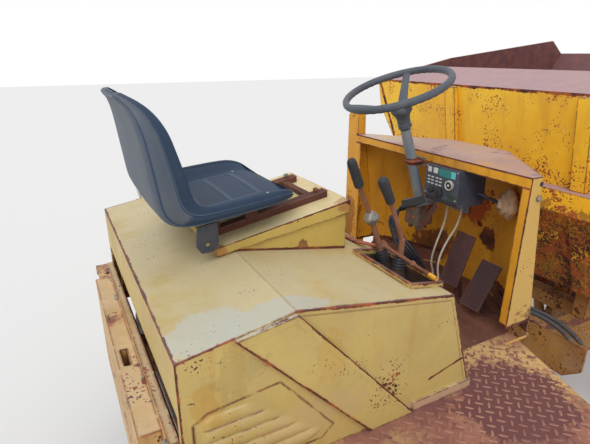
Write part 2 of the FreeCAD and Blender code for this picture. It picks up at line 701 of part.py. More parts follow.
def make_rear_chassis():
    """Hollow members, cross members, deck outriggers and the two head plates with the articulation pin."""
    pieces = []
    for side, sign in (("left", 1), ("right", -1)):
        pieces.append(hollow_member(f"rear_member_{side}", S.rear_member_rear_x, S.rear_member_front_x,
                                    sign * S.member_y, S.rear_member_bottom, S.rear_member_top))
    inner_half = S.member_y - S.member_width / 2
    height, width = S.cross_member_height, S.cross_member_width
    for name, x in (("rear", S.rear_member_rear_x + 90), ("engine_rear", S.engine_rear_x + 60),
                    ("engine_front", S.engine_rear_x + S.engine_length - 100)):
        pieces.append(box(f"cross_member_{name}", (x, -inner_half, S.engine_bottom - height),
                          (width, 2 * inner_half, height)))
    # outrigger places along the machine: rear of the wheels, between wheel and footwell, front
    under_deck = S.deck_top - S.deck_plate
    reach = S.deck_half_width - S.deck_plate - 2
    beam, beam_low = S.outrigger_width, under_deck - S.outrigger_depth
    for name, x in (("rear", S.deck_rear_x + 34), ("middle", S.rear_axle_x + S.tyre_radius + 46),
                    ("front", S.deck_front_outer_x - 58)):
        pieces.append(box(f"outrigger_{name}", (x, -reach, beam_low),
                          (beam, 2 * reach, under_deck - beam_low)))
        for side, sign in (("left", 1), ("right", -1)):
            low = (x, sign * S.member_y - S.member_width / 2, S.rear_member_top)
            pieces.append(box(f"outrigger_post_{name}_{side}", low,
                              (beam, S.member_width, beam_low - low[2])))
    web_x = S.rear_member_front_x
    pieces.append(box("head_web", (web_x - 30, -S.member_y - S.member_width / 2, S.pivot_head_bottom),
                      (30, 2 * S.member_y + S.member_width, S.rear_member_top - S.pivot_head_bottom)))
    for name, z in (("lower", S.pivot_head_bottom), ("upper", S.pivot_head_top - S.head_plate)):
        wedge = slab(f"head_plate_{name}_wedge", "XY", [
            (web_x - 10, -S.head_rear_half), (S.pivot_x, -S.head_nose), (S.pivot_x, S.head_nose),
            (web_x - 10, S.head_rear_half)], z, S.head_plate)
        nose = rod(f"head_plate_{name}_nose", "Z", (S.pivot_x, 0, z), S.head_nose, S.head_plate)
        pieces += [wedge, nose]
    pin_low = S.pivot_head_bottom - 14
    pieces.append(rod("articulation_pin", "Z", (S.pivot_x, 0, pin_low), S.pivot_pin_radius,
                      S.pivot_head_top + 14 - pin_low))
    for name, low in (("lower", -S.steer_ear_gap - S.steer_ear), ("upper", S.steer_ear_gap)):
        pieces.append(box(f"steer_ear_{name}", (web_x - 46, S.steer_y - 40, S.steer_z + low),
                          (S.steer_rear_x + S.steer_ear_reach - web_x + 46, 80, S.steer_ear)))
    tall = 2 * (S.steer_ear_gap + S.steer_ear)
    pieces.append(box("steer_ear_back", (web_x - 46, S.steer_y - 40, S.steer_z - tall / 2), (12, 80, tall)))
    pieces.append(rod("steer_rear_pin", "Z", (S.steer_rear_x, S.steer_y, S.steer_z - tall / 2 - 8),
                      S.eye_pin_radius, tall + 14))
    node("rear_chassis", joined("rear_chassis", *pieces))


def make_engine():
    """The engine as one plain block on the cross members."""
    low = (S.engine_rear_x, -S.engine_width / 2, S.engine_bottom)
    node("engine_block", box("engine_block", low, (S.engine_length, S.engine_width, S.engine_height)))


def make_decks():
    """Checker plate decks with folded outer edges over the rear wheels, and the smooth floor between."""
    inner_rear = S.cover_half_width - S.deck_under_cover
    beside_guard = S.guard_half_width + S.seat_gap
    beside_floor = S.footwell_half_width + S.floor_joint
    floor_rear_x = S.cover_foot_x - S.floor_under_cover
    outline = [
        (S.cover_rear_x, -inner_rear), (S.cover_rear_x, -beside_guard), (S.deck_rear_x, -beside_guard),
        (S.deck_rear_x, -S.deck_half_width), (S.deck_front_outer_x, -S.deck_half_width),
        (S.deck_front_inner_x, -beside_floor), (floor_rear_x, -beside_floor), (floor_rear_x, -inner_rear),
    ]
    plate = slab("deck_plate", "XY", outline, S.deck_top - S.deck_plate, S.deck_plate)
    lip = box("deck_edge", (S.deck_rear_x, -S.deck_half_width, S.deck_top - S.deck_lip),
              (S.deck_front_outer_x - S.deck_rear_x, S.deck_plate, S.deck_lip))
    right = joined("deck_right", plate, lip)
    node("deck_right", right)
    node("deck_left", mirrored("deck_left", right))
    floor = [
        (floor_rear_x, -S.footwell_half_width), (S.deck_front_inner_x, -S.footwell_half_width),
        (S.floor_front_x, -S.floor_front_half_width), (S.floor_front_x, S.floor_front_half_width),
        (S.deck_front_inner_x, S.footwell_half_width), (floor_rear_x, S.footwell_half_width),
    ]
    pieces = [slab("footwell_floor_plate", "XY", floor, S.deck_top - S.deck_plate, S.deck_plate)]
    # upstands along the two slanted edges, up to the foot of the dash's wings
    run_x = float(S.floor_front_x - S.deck_front_inner_x)
    run_y = float(S.footwell_half_width - S.floor_front_half_width)
    inward = float(S.floor_upstand_sheet) / math.hypot(run_x, run_y)
    shift_x, shift_y = run_y * inward, run_x * inward
    for side, sign in (("left", 1), ("right", -1)):
        outline = [
            (S.deck_front_inner_x, sign * S.footwell_half_width),
            (S.floor_front_x, sign * S.floor_front_half_width),
            (S.floor_front_x - shift_x, sign * (S.floor_front_half_width - shift_y)),
            (S.deck_front_inner_x - shift_x, sign * (S.footwell_half_width - shift_y))]
        pieces.append(slab(f"footwell_upstand_{side}", "XY", outline, S.deck_top - 1, S.floor_upstand + 1))
    node("footwell_floor", joined("footwell_floor", *pieces))


def make_rear_end():
    """The slotted radiator guard and the thick bumper plate behind it."""
    width = 2 * S.guard_half_width
    panel = box("guard_panel", (S.guard_x, -S.guard_half_width, S.guard_bottom),
                (S.guard_sheet, width, S.guard_top - S.guard_bottom))
    slots = []
    for index in range(round(float(S.guard_slot_count))):
        z = S.guard_bottom + S.guard_slot_first + S.guard_slot_pitch * index
        slots.append(box(f"guard_slot_{index + 1}", (S.guard_x - 5, -S.guard_slot_half, z),
                         (S.guard_sheet + 10, 2 * S.guard_slot_half, S.guard_slot_height)))
    flange = box("guard_flange", (S.guard_x, -S.guard_half_width, S.guard_top - S.guard_sheet),
                 (S.guard_flange, width, S.guard_sheet))
    node("radiator_guard", joined("radiator_guard", cut("guard_slotted", panel, *slots), flange))
    plate = box("bumper_plate", (S.bumper_rear_x, -S.bumper_half_width, S.bumper_bottom),
                (S.bumper_thickness, 2 * S.bumper_half_width, S.bumper_top - S.bumper_bottom))
    slot = box("bumper_slot", (S.bumper_rear_x + S.bumper_slot_inset, S.bumper_slot_y, S.bumper_bottom - 5),
               (S.bumper_slot_width, S.bumper_slot_length, S.bumper_top - S.bumper_bottom + 10))
    node("rear_bumper", cut("rear_bumper", plate, slot))


# Engine cover and what is on it


def cover_outline():
    """The side of the engine cover in X and Z, from the rear foot round to the front foot."""
    return [
        (S.cover_rear_x, S.deck_top), (S.cover_rear_x, S.cover_rear_top),
        (S.cover_ridge_x, S.cover_ridge_top), (S.cover_front_x, S.cover_front_top),
        (S.cover_foot_x, S.deck_top),
    ]


def cover_top_z(x):
    """Height of the cover's top over a place behind its front edge, as a Dim."""
    slope = (S.cover_front_top - S.cover_ridge_top) / (S.cover_front_x - S.cover_ridge_x)
    return S.cover_ridge_top + slope * (x - S.cover_ridge_x)


def vent_outline(grow=0.0):
    """The side vent's opening in X and Z."""
    rear, front = S.vent_rear_x - grow, S.vent_front_x + grow
    low, high = S.vent_bottom_z - grow, S.vent_rear_z + grow
    return [
        (rear, low), (rear, high), (S.vent_rear_x + 32 - grow / 2, S.vent_rear_z + 20 + grow),
        (S.vent_ridge_x + grow / 2, S.vent_ridge_z + grow), (front, S.vent_bottom_z + 30 + grow / 2),
        (S.vent_front_x - 34 + grow, low),
    ]


def make_cover():
    """The hollow engine cover of one sheet, open below, with its vents and the lever opening cut."""
    sheet = S.cover_sheet
    half = S.cover_half_width
    outer = slab("cover_outer", "XZ", cover_outline(), -half, 2 * half)
    inner_outline = [
        (S.cover_rear_x + sheet, S.deck_top - 20), (S.cover_rear_x + sheet, S.cover_rear_top - sheet),
        (S.cover_ridge_x, S.cover_ridge_top - sheet),
        (S.cover_front_x - sheet / 2, S.cover_front_top - sheet),
        (S.cover_foot_x - sheet * 1.1, S.deck_top - 20),
    ]
    inner = slab("cover_inner", "XZ", inner_outline, -half + sheet, 2 * (half - sheet))
    skirt_low = S.cover_rear_top - S.cover_skirt
    gap = box("cover_rear_gap", (S.cover_rear_x - 10, -half + 26, S.deck_top - 10),
              (30, 2 * half - 52, skirt_low - S.deck_top + 10))
    hole = box("lever_hole", (S.lever_hole_rear_x, S.lever_hole_right_y, S.cover_front_top - 60),
               (S.lever_hole_front_x - S.lever_hole_rear_x, S.lever_hole_left_y - S.lever_hole_right_y, 120))
    vent = slab("vent_hole", "XZ", vent_outline(), -half - 10, 2 * half + 20)
    body = cut("cover_shell", outer, inner, gap, hole, vent)
    rim, thick = S.coaming, S.coaming_half
    rim_outer = [
        (S.lever_hole_rear_x - thick, cover_top_z(S.lever_hole_rear_x - thick) - S.coaming_sink),
        (S.lever_hole_rear_x - thick, cover_top_z(S.lever_hole_rear_x - thick) + rim),
        (S.lever_hole_front_x + thick, cover_top_z(S.lever_hole_front_x + thick) + rim),
        (S.lever_hole_front_x + thick, cover_top_z(S.lever_hole_front_x + thick) - S.coaming_sink),
    ]
    collar = slab("coaming_outer", "XZ", rim_outer, S.lever_hole_right_y - thick,
                  S.lever_hole_left_y - S.lever_hole_right_y + 2 * thick)
    well = box("coaming_inner",
               (S.lever_hole_rear_x + thick, S.lever_hole_right_y + thick, S.cover_front_top - 60),
               (S.lever_hole_front_x - S.lever_hole_rear_x - 2 * thick,
                S.lever_hole_left_y - S.lever_hole_right_y - 2 * thick, 140))
    node("engine_cover", joined("engine_cover", body, cut("coaming", collar, well)))


def make_cover_trim():
    """Vent panels with pressed louvres, and the straps and foot strips on the cover's sides."""
    half = S.cover_half_width
    back = slab("vent_panel_sheet", "XZ", vent_outline(-1.0), -half, S.cover_sheet)
    ribs = []
    for index in range(round(float(S.louvre_count))):
        z = S.vent_bottom_z + 14 + S.louvre_pitch * index
        front = S.vent_front_x - 60 - 24 * index
        ribs.append(slab(f"louvre_{index + 1}", "YZ",
                         [(-half, z), (-half - S.louvre_rise, z + 5), (-half, z + 24)],
                         S.vent_rear_x + 16, front - S.vent_rear_x - 16))
    node("vent_panels", both_sides("vent_panels", joined("vent_panel", back, *ribs)))
    reach = S.strap_width / 2
    slope_top = cover_top_z(S.cover_ridge_x)
    strap = slab("strap_plate", "XZ",
                 [(S.strap_top_x - reach, S.cover_rear_top + 18), (S.cover_ridge_x, slope_top - 4),
                  (S.strap_foot_x + reach, S.deck_top + 1), (S.strap_foot_x - reach, S.deck_top + 1)],
                 -half - S.strap_proud, S.strap_proud)
    hollow = slab("strap_hollow", "XZ",
                  [(S.strap_top_x - reach + 26, S.cover_rear_top - 2), (S.cover_ridge_x - 10, slope_top - 22),
                   (S.strap_foot_x + reach - 12, S.deck_top - 3),
                   (S.strap_foot_x - reach + 8, S.deck_top - 3)],
                  -half - S.strap_proud + 4, S.strap_proud)
    kick = box("kick_strip", (S.strap_foot_x + reach + 2, -half - S.kick_thickness, S.deck_top),
               (S.cover_foot_x - S.strap_foot_x - reach - 2, S.kick_thickness, S.kick_height))
    one_side = doc.addObject("Part::Compound", "cover_side_trim")
    one_side.Links = [cut("strap", strap, hollow), kick]
    node("cover_straps", both_sides("cover_straps", one_side))


# Driver's seat on its hinged lid


def lid_top_z(x):
    """Height of the sloping lid's top over a place along the machine."""
    slope = (S.lid_front_top - S.lid_rear_top) / (S.seat_box_front_x - S.seat_box_rear_x)
    return S.lid_rear_top + slope * (x - S.seat_box_rear_x)


LID_HINGE_X = S.seat_box_front_x + S.lid_overhang + S.lid_hinge_radius + 2
LID_HINGE_Z = S.lid_front_top - S.lid_lip - S.lid_hinge_radius


def make_seat_box():
    """The hollow wedge that carries the seat, with the fixed part of the lid's hinge."""
    half, sheet, middle = S.seat_box_half, S.seat_box_sheet, S.seat_middle_y
    rear, front = S.seat_box_rear_x, S.seat_box_front_x
    slope_rear = (S.cover_ridge_top - S.cover_rear_top) / (S.cover_ridge_x - S.cover_rear_x)
    rear_foot = S.cover_rear_top + slope_rear * (rear - S.cover_rear_x)
    top_gap = S.lid_sheet + S.seat_gap
    outer = slab("seat_box_outer", "XZ", [
        (rear, rear_foot), (S.cover_ridge_x, S.cover_ridge_top), (front, cover_top_z(front)),
        (front, lid_top_z(front) - top_gap), (rear, lid_top_z(rear) - top_gap)], middle - half, 2 * half)
    inner = slab("seat_box_inner", "XZ", [
        (rear + sheet, rear_foot - 30), (front - sheet, cover_top_z(front) - 30),
        (front - sheet, lid_top_z(front) + 20), (rear + sheet, lid_top_z(rear) + 20)],
        middle - half + sheet, 2 * half - 2 * sheet)
    knuckles = []
    for side, start in (("right", middle - 180), ("left", middle + 140)):
        knuckles.append(rod(f"hinge_knuckle_{side}", "Y", (LID_HINGE_X, start, LID_HINGE_Z),
                            S.lid_hinge_radius, 40))
        knuckles.append(box(f"hinge_leaf_{side}", (front, start, LID_HINGE_Z - 3),
                            (LID_HINGE_X - front, 40, 5)))
    pin = rod("hinge_pin", "Y", (LID_HINGE_X, middle - 180, LID_HINGE_Z), S.lid_hinge_radius / 2, 360)
    node("seat_box", joined("seat_box", cut("seat_box_shell", outer, inner), pin, *knuckles))


def make_seat_lid():
    """The folded tray lid under the seat, with its hinge sleeve."""
    half, sheet, middle = S.seat_box_half, S.lid_sheet, S.seat_middle_y
    rear = S.seat_box_rear_x - S.lid_overhang
    front = S.seat_box_front_x + S.lid_overhang
    reach = half + S.lid_overhang
    outer = slab("lid_outer", "XZ", [
        (rear, lid_top_z(rear)), (front, lid_top_z(front)), (front, lid_top_z(front) - S.lid_lip),
        (rear, lid_top_z(rear) - S.lid_rear_lip)], middle - reach, 2 * reach)
    inner = slab("lid_inner", "XZ", [
        (rear + sheet, lid_top_z(rear + sheet) - sheet), (front - sheet, lid_top_z(front - sheet) - sheet),
        (front - sheet, lid_top_z(front) - S.lid_lip - 20),
        (rear + sheet, lid_top_z(rear) - S.lid_rear_lip - 20)],
        middle - reach + sheet, 2 * reach - 2 * sheet)
    sleeve = rod("lid_sleeve", "Y", (LID_HINGE_X, middle - 130, LID_HINGE_Z), S.lid_hinge_radius, 260)
    leaf = box("lid_leaf", (front, middle - 130, LID_HINGE_Z), (5, 260, S.lid_hinge_radius + 30))
    bore = rod("lid_sleeve_bore", "Y", (LID_HINGE_X, middle - 140, LID_HINGE_Z),
               S.lid_hinge_radius / 2 + S.running_fit, 280)
    tray = joined("lid_tray", cut("lid_shell", outer, inner), leaf, sleeve)
    node("seat_lid", cut("seat_lid", tray, bore))


SEAT_STATIONS = [
    # behind the front edge, height above the deck, direction in degrees, narrower by, side height
    (0, 572, 180, 23, 4),
    (52, 568, 180, 6, 14),
    (182, 550, 188, 0, 34),
    (302, 532, 188, 0, 46),
    (364, 555, 135, 2, 52),
    (394, 640, 105, 2, 56),
    (422, 750, 103, 8, 46),
    (450, 840, 103, 33, 22),
    (460, 862, 100, 88, 4),
]


def seat_under_z(x):
    """Height of the pan's underside over a place along the machine."""
    low = []
    for back, z, degrees, _, _ in SEAT_STATIONS[:4]:
        angle = math.radians(degrees)
        low.append((S.seat_front_x - back - S.seat_wall * math.sin(angle),
                    S.deck_top + z + S.seat_wall * math.cos(angle)))
    for (front_x, front_z), (rear_x, rear_z) in zip(low, low[1:]):
        if float(x) >= float(rear_x):
            return rear_z + (front_z - rear_z) / (front_x - rear_x) * (x - rear_x)
    return low[-1][1]


def seat_shape():
    """A moulded bucket: a U section carried along the pan and up the backrest, joined by ruled walls."""
    wall, middle = float(S.seat_wall), float(S.seat_middle_y)
    wires = []
    for back, z, degrees, narrower, side in SEAT_STATIONS:
        x, height = float(S.seat_front_x) - back, float(S.deck_top) + z
        half = float(S.seat_half) - narrower
        angle = math.radians(degrees)
        up_x, up_z = math.sin(angle), -math.cos(angle)
        foot = half - wall - 22
        outline = [
            (-half + 12, -wall), (half - 12, -wall), (half, side * 0.5), (half, side), (half - wall, side),
            (foot, 0), (-foot, 0), (-half + wall, side), (-half, side), (-half, side * 0.5),
        ]
        corners = [FreeCAD.Vector(x + n * up_x, middle + y, height + n * up_z) for y, n in outline]
        wires.append(Part.makePolygon(corners + [corners[0]]))
    return Part.makeLoft(wires, True, True)


def make_seat():
    """The seat, its two rails with their risers, and the two side brackets with holes."""
    node("seat_shell", formed("seat_shell", seat_shape()))
    rear = S.seat_box_rear_x + 6
    front = rear + S.rail_length
    pieces = []
    for side, sign in (("left", 1), ("right", -1)):
        y = S.seat_middle_y + sign * S.rail_y - S.rail_width / 2
        pieces.append(slab(f"seat_rail_{side}", "XZ", [
            (rear, lid_top_z(rear)), (front, lid_top_z(front)), (front, lid_top_z(front) + S.rail_height),
            (rear, lid_top_z(rear) + S.rail_height)], y, S.rail_width))
        for number, back in ((1, 96), (2, 216)):
            low, high = S.seat_front_x - back - 18, S.seat_front_x - back + 18
            pieces.append(slab(f"seat_riser_{side}_{number}", "XZ", [
                (low, lid_top_z(low) + S.rail_height - 1), (high, lid_top_z(high) + S.rail_height - 1),
                (high, seat_under_z(high) - S.seat_gap), (low, seat_under_z(low) - S.seat_gap)],
                y + 3, S.rail_width - 6))
    pieces.append(box("rail_tie", (front - 60, S.seat_middle_y - S.rail_y, lid_top_z(front - 60) + 6),
                      (24, 2 * S.rail_y, 12)))
    node("seat_rails", joined("seat_rails", *pieces))
    x, hole_z = S.seat_front_x - S.ear_back, S.ear_hole_z
    low, high = x - 26, x + 28
    brackets = []
    for side, sign in (("left", 1), ("right", -1)):
        y = S.seat_middle_y + sign * (S.seat_half - S.ear_inset) - S.ear_sheet / 2
        ear = slab(f"seat_ear_{side}", "XZ", [
            (low, seat_under_z(low) - S.seat_gap), (high, seat_under_z(high) - S.seat_gap),
            (x + 32, hole_z + 4),
            (x + 16, hole_z - S.ear_below_hole), (x - 18, hole_z - S.ear_below_hole), (x - 32, hole_z - 2)],
            y, S.ear_sheet)
        hole = rod(f"seat_ear_hole_{side}", "Y", (x, y - 5, hole_z), S.ear_hole_radius, S.ear_sheet + 10)
        brackets.append(cut(f"seat_bracket_{side}", ear, hole))
    pair = doc.addObject("Part::Compound", "seat_brackets")
    pair.Links = brackets
    node("seat_brackets", pair)


# Dash, steering and controls


def dash_space(shrink, drop, extra_rear):
    """The dash's outer form, or the room inside it, as a loft between its plan at the foot and at the top."""
    half, rear, front = float(S.dash_half), float(S.dash_rear_x), float(S.dash_front_x)
    top, foot = float(S.dash_top) - shrink, float(S.dash_foot_z) - drop
    at_top, at_foot = float(S.dash_side_top_depth), float(S.dash_side_foot_depth)
    grow = (at_foot - at_top) / float(S.dash_top - S.dash_foot_z)
    plans = []
    for z, depth in ((foot, at_foot + drop * grow), (top, at_top + shrink * grow)):
        side = half - shrink
        nose = float(S.dash_front_half) - shrink * 0.5
        shoulder = rear + depth - shrink * 0.5
        corners = [
            (rear - extra_rear, -side), (shoulder, -side), (front - shrink, -nose),
            (front - shrink, nose), (shoulder, side), (rear - extra_rear, side),
        ]
        points = [point(x, y, z) for x, y in corners]
        plans.append(Part.makePolygon(points + [points[0]]))
    return Part.makeLoft(plans, True, True)


def make_dash():
    """The hollow dash: sides, slanted wings, front and top of one sheet, open to the driver and below."""
    sheet, half = float(S.dash_sheet), float(S.dash_half)
    rear, front = float(S.dash_rear_x), float(S.dash_front_x)
    top, foot = float(S.dash_top), float(S.dash_foot_z)
    lip_low = top - float(S.dash_lip)
    pieces = [
        side_prism([(rear, lip_low), (rear + sheet, lip_low), (rear + sheet, top - 1), (rear, top - 1)],
                   -half + 1, half - 1),
        # foot of the front wall, which carries the dash on the floor
        side_prism([(front - sheet, S.deck_top), (front, S.deck_top), (front, foot + 1),
                    (front - sheet, foot + 1)], -float(S.dash_front_half), S.dash_front_half),
    ]
    for sign in (1, -1):
        # folded edge along the rear of each side wall, facing the driver
        wall = sorted((sign * half, sign * (half - 30)))
        pieces.append(long_prism([(wall[0], foot + 14), (wall[1], foot + 14), (wall[1], top - 1),
                                  (wall[0], top - 1)], rear, rear + sheet))
    ear_top = float(S.dash_ear_top)
    reach = float(S.dash_ear_width)
    pieces.append(long_prism([(half - 1, S.deck_top), (half + reach, S.deck_top),
                              (half + reach, ear_top - 12), (half + reach - 12, ear_top),
                              (half - 1, ear_top)], rear, rear + sheet))
    depth = float(S.dash_ear_depth)
    pieces.append(side_prism([(rear, S.deck_top), (rear + depth, S.deck_top), (rear + depth * 0.6, ear_top),
                              (rear, ear_top)], half - sheet, half))
    shell = dash_space(0, 0, 0).cut(dash_space(sheet, 20, 20)).multiFuse(pieces)
    node("dash_shell", formed("dash_shell", shell.removeSplitter()))


def column_point(distance):
    """A point up the steering column's axis from the foot of its tube."""
    tilt = math.radians(float(S.column_tilt))
    return (float(S.column_foot_x) - distance * math.sin(tilt), float(S.column_y),
            float(S.column_foot_z) + distance * math.cos(tilt))


def make_steering_column():
    """Column tube with its clamp at the dash's edge and the bracket that holds its foot."""
    tilt = math.radians(float(S.column_tilt))
    axis = FreeCAD.Vector(-math.sin(tilt), 0, math.cos(tilt))
    radius, y = float(S.column_radius), float(S.column_y)
    rear, front = float(S.dash_rear_x), float(S.dash_front_x - S.dash_sheet - S.seat_gap)
    pipe = Part.makeCylinder(radius, float(S.column_length), point(*column_point(0)), axis)
    bore = Part.makeCylinder(float(S.column_bore_radius), float(S.column_length) + 2,
                             point(*column_point(-1)), axis)
    clamp_x, _, clamp_z = column_point((float(S.column_clamp_z) - float(S.column_foot_z)) / math.cos(tilt))
    pieces = [Part.makeTorus(radius + 3.5, 6, point(clamp_x, y, clamp_z), point(0, 0, 1))]
    for sign in (1, -1):
        start = point(clamp_x, y + sign * (radius + 4), clamp_z)
        pieces.append(Part.makeCylinder(6, rear - 1 - clamp_x, start, point(1, 0, 0)))
    low = clamp_z - 16
    half, gap = float(S.column_plate_half), float(S.seat_gap)
    pieces.append(side_prism([(rear - 5, low), (rear - gap, low), (rear - gap, clamp_z + 16),
                              (rear - 5, clamp_z + 16)], y - half, y + half))
    foot_x, _, foot_z = column_point(0)
    pieces.append(flat_prism([(foot_x - 44, y - half), (front, y - half), (front, y + half),
                              (foot_x - 44, y + half)], foot_z - 12, foot_z - 2))
    pieces.append(side_prism([(front - 8, foot_z - 90), (front, foot_z - 90), (front, foot_z - 3),
                              (front - 8, foot_z - 3)], y - half, y + half))
    column = pipe.multiFuse(pieces).cut(bore)
    node("steering_column", formed("steering_column", column))

    body = flat_prism([(foot_x - 40, y - 40), (foot_x + 44, y - 40), (foot_x + 44, y + 40),
                       (foot_x - 40, y + 40)], foot_z - 100, foot_z - 12)
    body = body.makeFillet(8, [e for e in body.Edges if abs(e.tangentAt(0).z) > 0.9])
    ports = [Part.makeCylinder(9, 26, point(foot_x + dx, y + dy, foot_z - 120), point(0, 0, 1))
             for dx in (-20, 20) for dy in (-20, 20)]
    node("steering_unit", formed("steering_unit", body.multiFuse(ports)))


def make_steering_wheel():
    """The wheel with its dished spokes, its hub and the shaft that turns in the column."""
    ring, rim = float(S.steering_wheel_radius), float(S.steering_rim_radius)
    shaft = float(S.column_bore_radius - S.running_fit)
    foot, sink = -float(S.wheel_above_column) + 5, -float(S.hub_sink)
    neck, boss, shoulder = float(S.hub_neck_radius), float(S.hub_boss_radius), sink - float(S.hub_boss_depth)
    lowest = foot - 65
    hub = face([point(0, 0, foot), point(neck, 0, foot), point(neck - 1, 0, shoulder - 16),
                point(neck + 3, 0, shoulder), point(boss, 0, shoulder + 16), point(boss - 3, 0, sink - 4),
                point(0, 0, sink)])
    pieces = [hub.revolve(point(0, 0, 0), point(0, 0, 1), 360)]
    pieces.append(Part.makeCylinder(shaft, -lowest, point(0, 0, lowest), point(0, 0, 1)))
    for index in range(3):
        ends = []
        for reach, half, low, high in ((20, float(S.spoke_root_half), sink - 18, sink - 6),
                                       (ring, float(S.spoke_tip_half), -6, 3)):
            corners = [point(reach, -half, low), point(reach, half, low), point(reach, half, high),
                       point(reach, -half, high)]
            ends.append(Part.makePolygon(corners + [corners[0]]))
        spoke = Part.makeLoft(ends, True, True)
        pieces.append(lean(spoke, (0, 0, 0), 120 * index + S.spoke_turn, (0, 0, 1)))
    wheel = Part.makeTorus(ring, rim, point(0, 0, 0), point(0, 0, 1)).multiFuse(pieces)
    lean(wheel, (0, 0, 0), -S.column_tilt)
    wheel.translate(point(*column_point(float(S.column_length + S.wheel_above_column))))
    node("steering_wheel", formed("steering_wheel", wheel))


def make_dash_fittings():
    """Instrument box with its dial and switches under the dash's top, and the horn on the slanted wing."""
    rear, low, high = S.dash_rear_x - 22, S.panel_bottom, S.dash_top - S.dash_lip - 1
    case = slab("panel_case", "XZ", [
        (rear, low + 24), (rear + 14, low), (rear + S.panel_depth, low), (rear + S.panel_depth, high),
        (rear, high)], S.panel_right_y, S.panel_width)
    pieces = [case]
    dial_y, below_high = S.panel_right_y + S.panel_dial_y, high - S.panel_dial_drop
    pieces.append(rod("panel_dial", "X", (rear - 5, dial_y, below_high), S.panel_dial_radius, 8))
    pieces.append(rod("panel_key_ring", "X", (rear - 6, dial_y + 48, low + 44), S.panel_key_radius, 9))
    pieces.append(rod("panel_knob", "X", (rear - 12, dial_y + 86, low + 48), S.panel_knob_radius, 15))
    for number, y in ((1, 20), (2, S.panel_width - 50)):
        pieces.append(box(f"panel_strap_{number}", (rear + 60, S.panel_right_y + y, high - 1),
                          (50, 30, S.dash_top - S.dash_sheet - S.seat_gap - high + 1)))
    for number, y in enumerate(CABLE_Y, 1):
        pieces.append(rod(f"panel_gland_{number}", "Z", (rear + CABLE_BACK, y, low - 12), 9, 13))
    node("instrument_box", joined("instrument_box", *pieces))

    # the slanted wing's inner face at the horn's height gives its seat
    bell = face([point(0, 0, 0), point(34, 0, 0), point(34, 0, 8), point(46, 0, 14), point(52, 0, 30),
                 point(52, 0, 40), point(40, 0, 58), point(18, 0, 64), point(18, 0, 78), point(0, 0, 78)])
    horn = bell.revolve(point(0, 0, 0), point(0, 0, 1), 360)
    lean(horn, (0, 0, 0), -90)
    half, nose = float(S.dash_half), float(S.dash_front_half)
    share = (float(S.dash_top) - float(S.horn_z)) / (float(S.dash_top) - float(S.dash_foot_z))
    shoulder = float(S.dash_rear_x) + float(S.dash_side_top_depth) + share * float(
        S.dash_side_foot_depth - S.dash_side_top_depth)
    run_x, run_y = float(S.dash_front_x) - shoulder, half - nose
    turn = math.degrees(math.atan2(run_x, run_y))
    lean(horn, (0, 0, 0), turn, (0, 0, 1))
    normal = FreeCAD.Vector(-run_y, run_x, 0).normalize()
    part_way = (half - float(S.horn_y)) / run_y
    seat = point(shoulder + run_x * part_way, -float(S.horn_y), S.horn_z)
    horn.translate(seat + normal * float(S.dash_sheet - 3))
    room = dash_space(float(S.dash_sheet + S.seat_gap), 0, 20)
    node("horn", formed("horn", horn.common(room)))


def bar_through(points, radii):
    """A round bar along points, each run with its own radius, with balls at the joints between runs."""
    pieces = []
    for start, end, radius in zip(points, points[1:], radii):
        pieces.append(cylinder_between(start, end, radius))
    for corner, radius in zip(points[1:-1], radii):
        pieces.append(Part.makeSphere(radius, point(*corner)))
    return pieces[0].multiFuse(pieces[1:])


# along the machine, across it, height above the deck, from the foot, whose height is the tray's, to the grip
DRIVE_LEVER = [(-797, -262), (-862, -254, 478), (-920, -250, 610), (-939, -250, 656)]
TIPPING_LEVER = [(-812, -338), (-801, -334, 422), (-858, -330, 558), (-884, -330, 610)]


def make_levers():
    """The drive and tipping levers and the tray with their boots in the lever opening."""
    deck, gap = float(S.deck_top), float(S.seat_gap)
    floor_z = float(cover_top_z(S.lever_hole_front_x) - S.lever_tray_depth)
    shaft, grip = float(S.lever_radius), float(S.lever_grip_radius)
    radii = (shaft, float(S.lever_upper_radius), grip)
    drive, tipping = ([(foot[0], foot[1], floor_z + 12)] + [(x, y, deck + z) for x, y, z in rest]
                      for foot, *rest in (DRIVE_LEVER, TIPPING_LEVER))
    shape = bar_through(drive, radii).fuse(Part.makeSphere(float(S.lever_ball_radius), point(*drive[1])))
    node("drive_lever", formed("drive_lever", shape.fuse(Part.makeSphere(grip, point(*drive[-1])))))
    shape = bar_through(tipping, radii).fuse(Part.makeSphere(grip + 2, point(*tipping[-1])))
    node("tipping_lever", formed("tipping_lever", shape))
    sheet = float(S.lever_tray_sheet)
    rear, front = float(S.lever_hole_rear_x) + gap, float(S.lever_hole_front_x) - gap
    right, left = float(S.lever_hole_right_y) + gap, float(S.lever_hole_left_y) - gap
    drop = float(S.coaming_sink) + gap
    tray = side_prism([(rear, float(cover_top_z(rear)) - drop), (front, float(cover_top_z(front)) - drop),
                       (front, floor_z - sheet), (rear, floor_z - sheet)], right, left)
    above = float(S.cover_ridge_top)
    well = side_prism([(rear + sheet, above), (front - sheet, above), (front - sheet, floor_z),
                       (rear + sheet, floor_z)], right + sheet, left - sheet)
    tray = tray.cut(well)
    for lever in (drive, tipping):
        foot, upper = point(*lever[0]), point(*lever[1])
        along = (upper - foot).normalize()
        start = foot - along * 16
        boot = Part.makeCone(30, shaft + 5, 74, start, along)
        room = flat_prism([(rear + 2, right + 2), (front - 8, right + 2), (front - 8, left - 8),
                           (rear + 2, left - 8)], floor_z - 2, floor_z + 120)
        tray = tray.fuse(boot.common(room))
        tray = tray.cut(Part.makeCylinder(shaft + gap, 200, foot - along * gap, along))
    node("lever_boots", formed("lever_boots", tray))


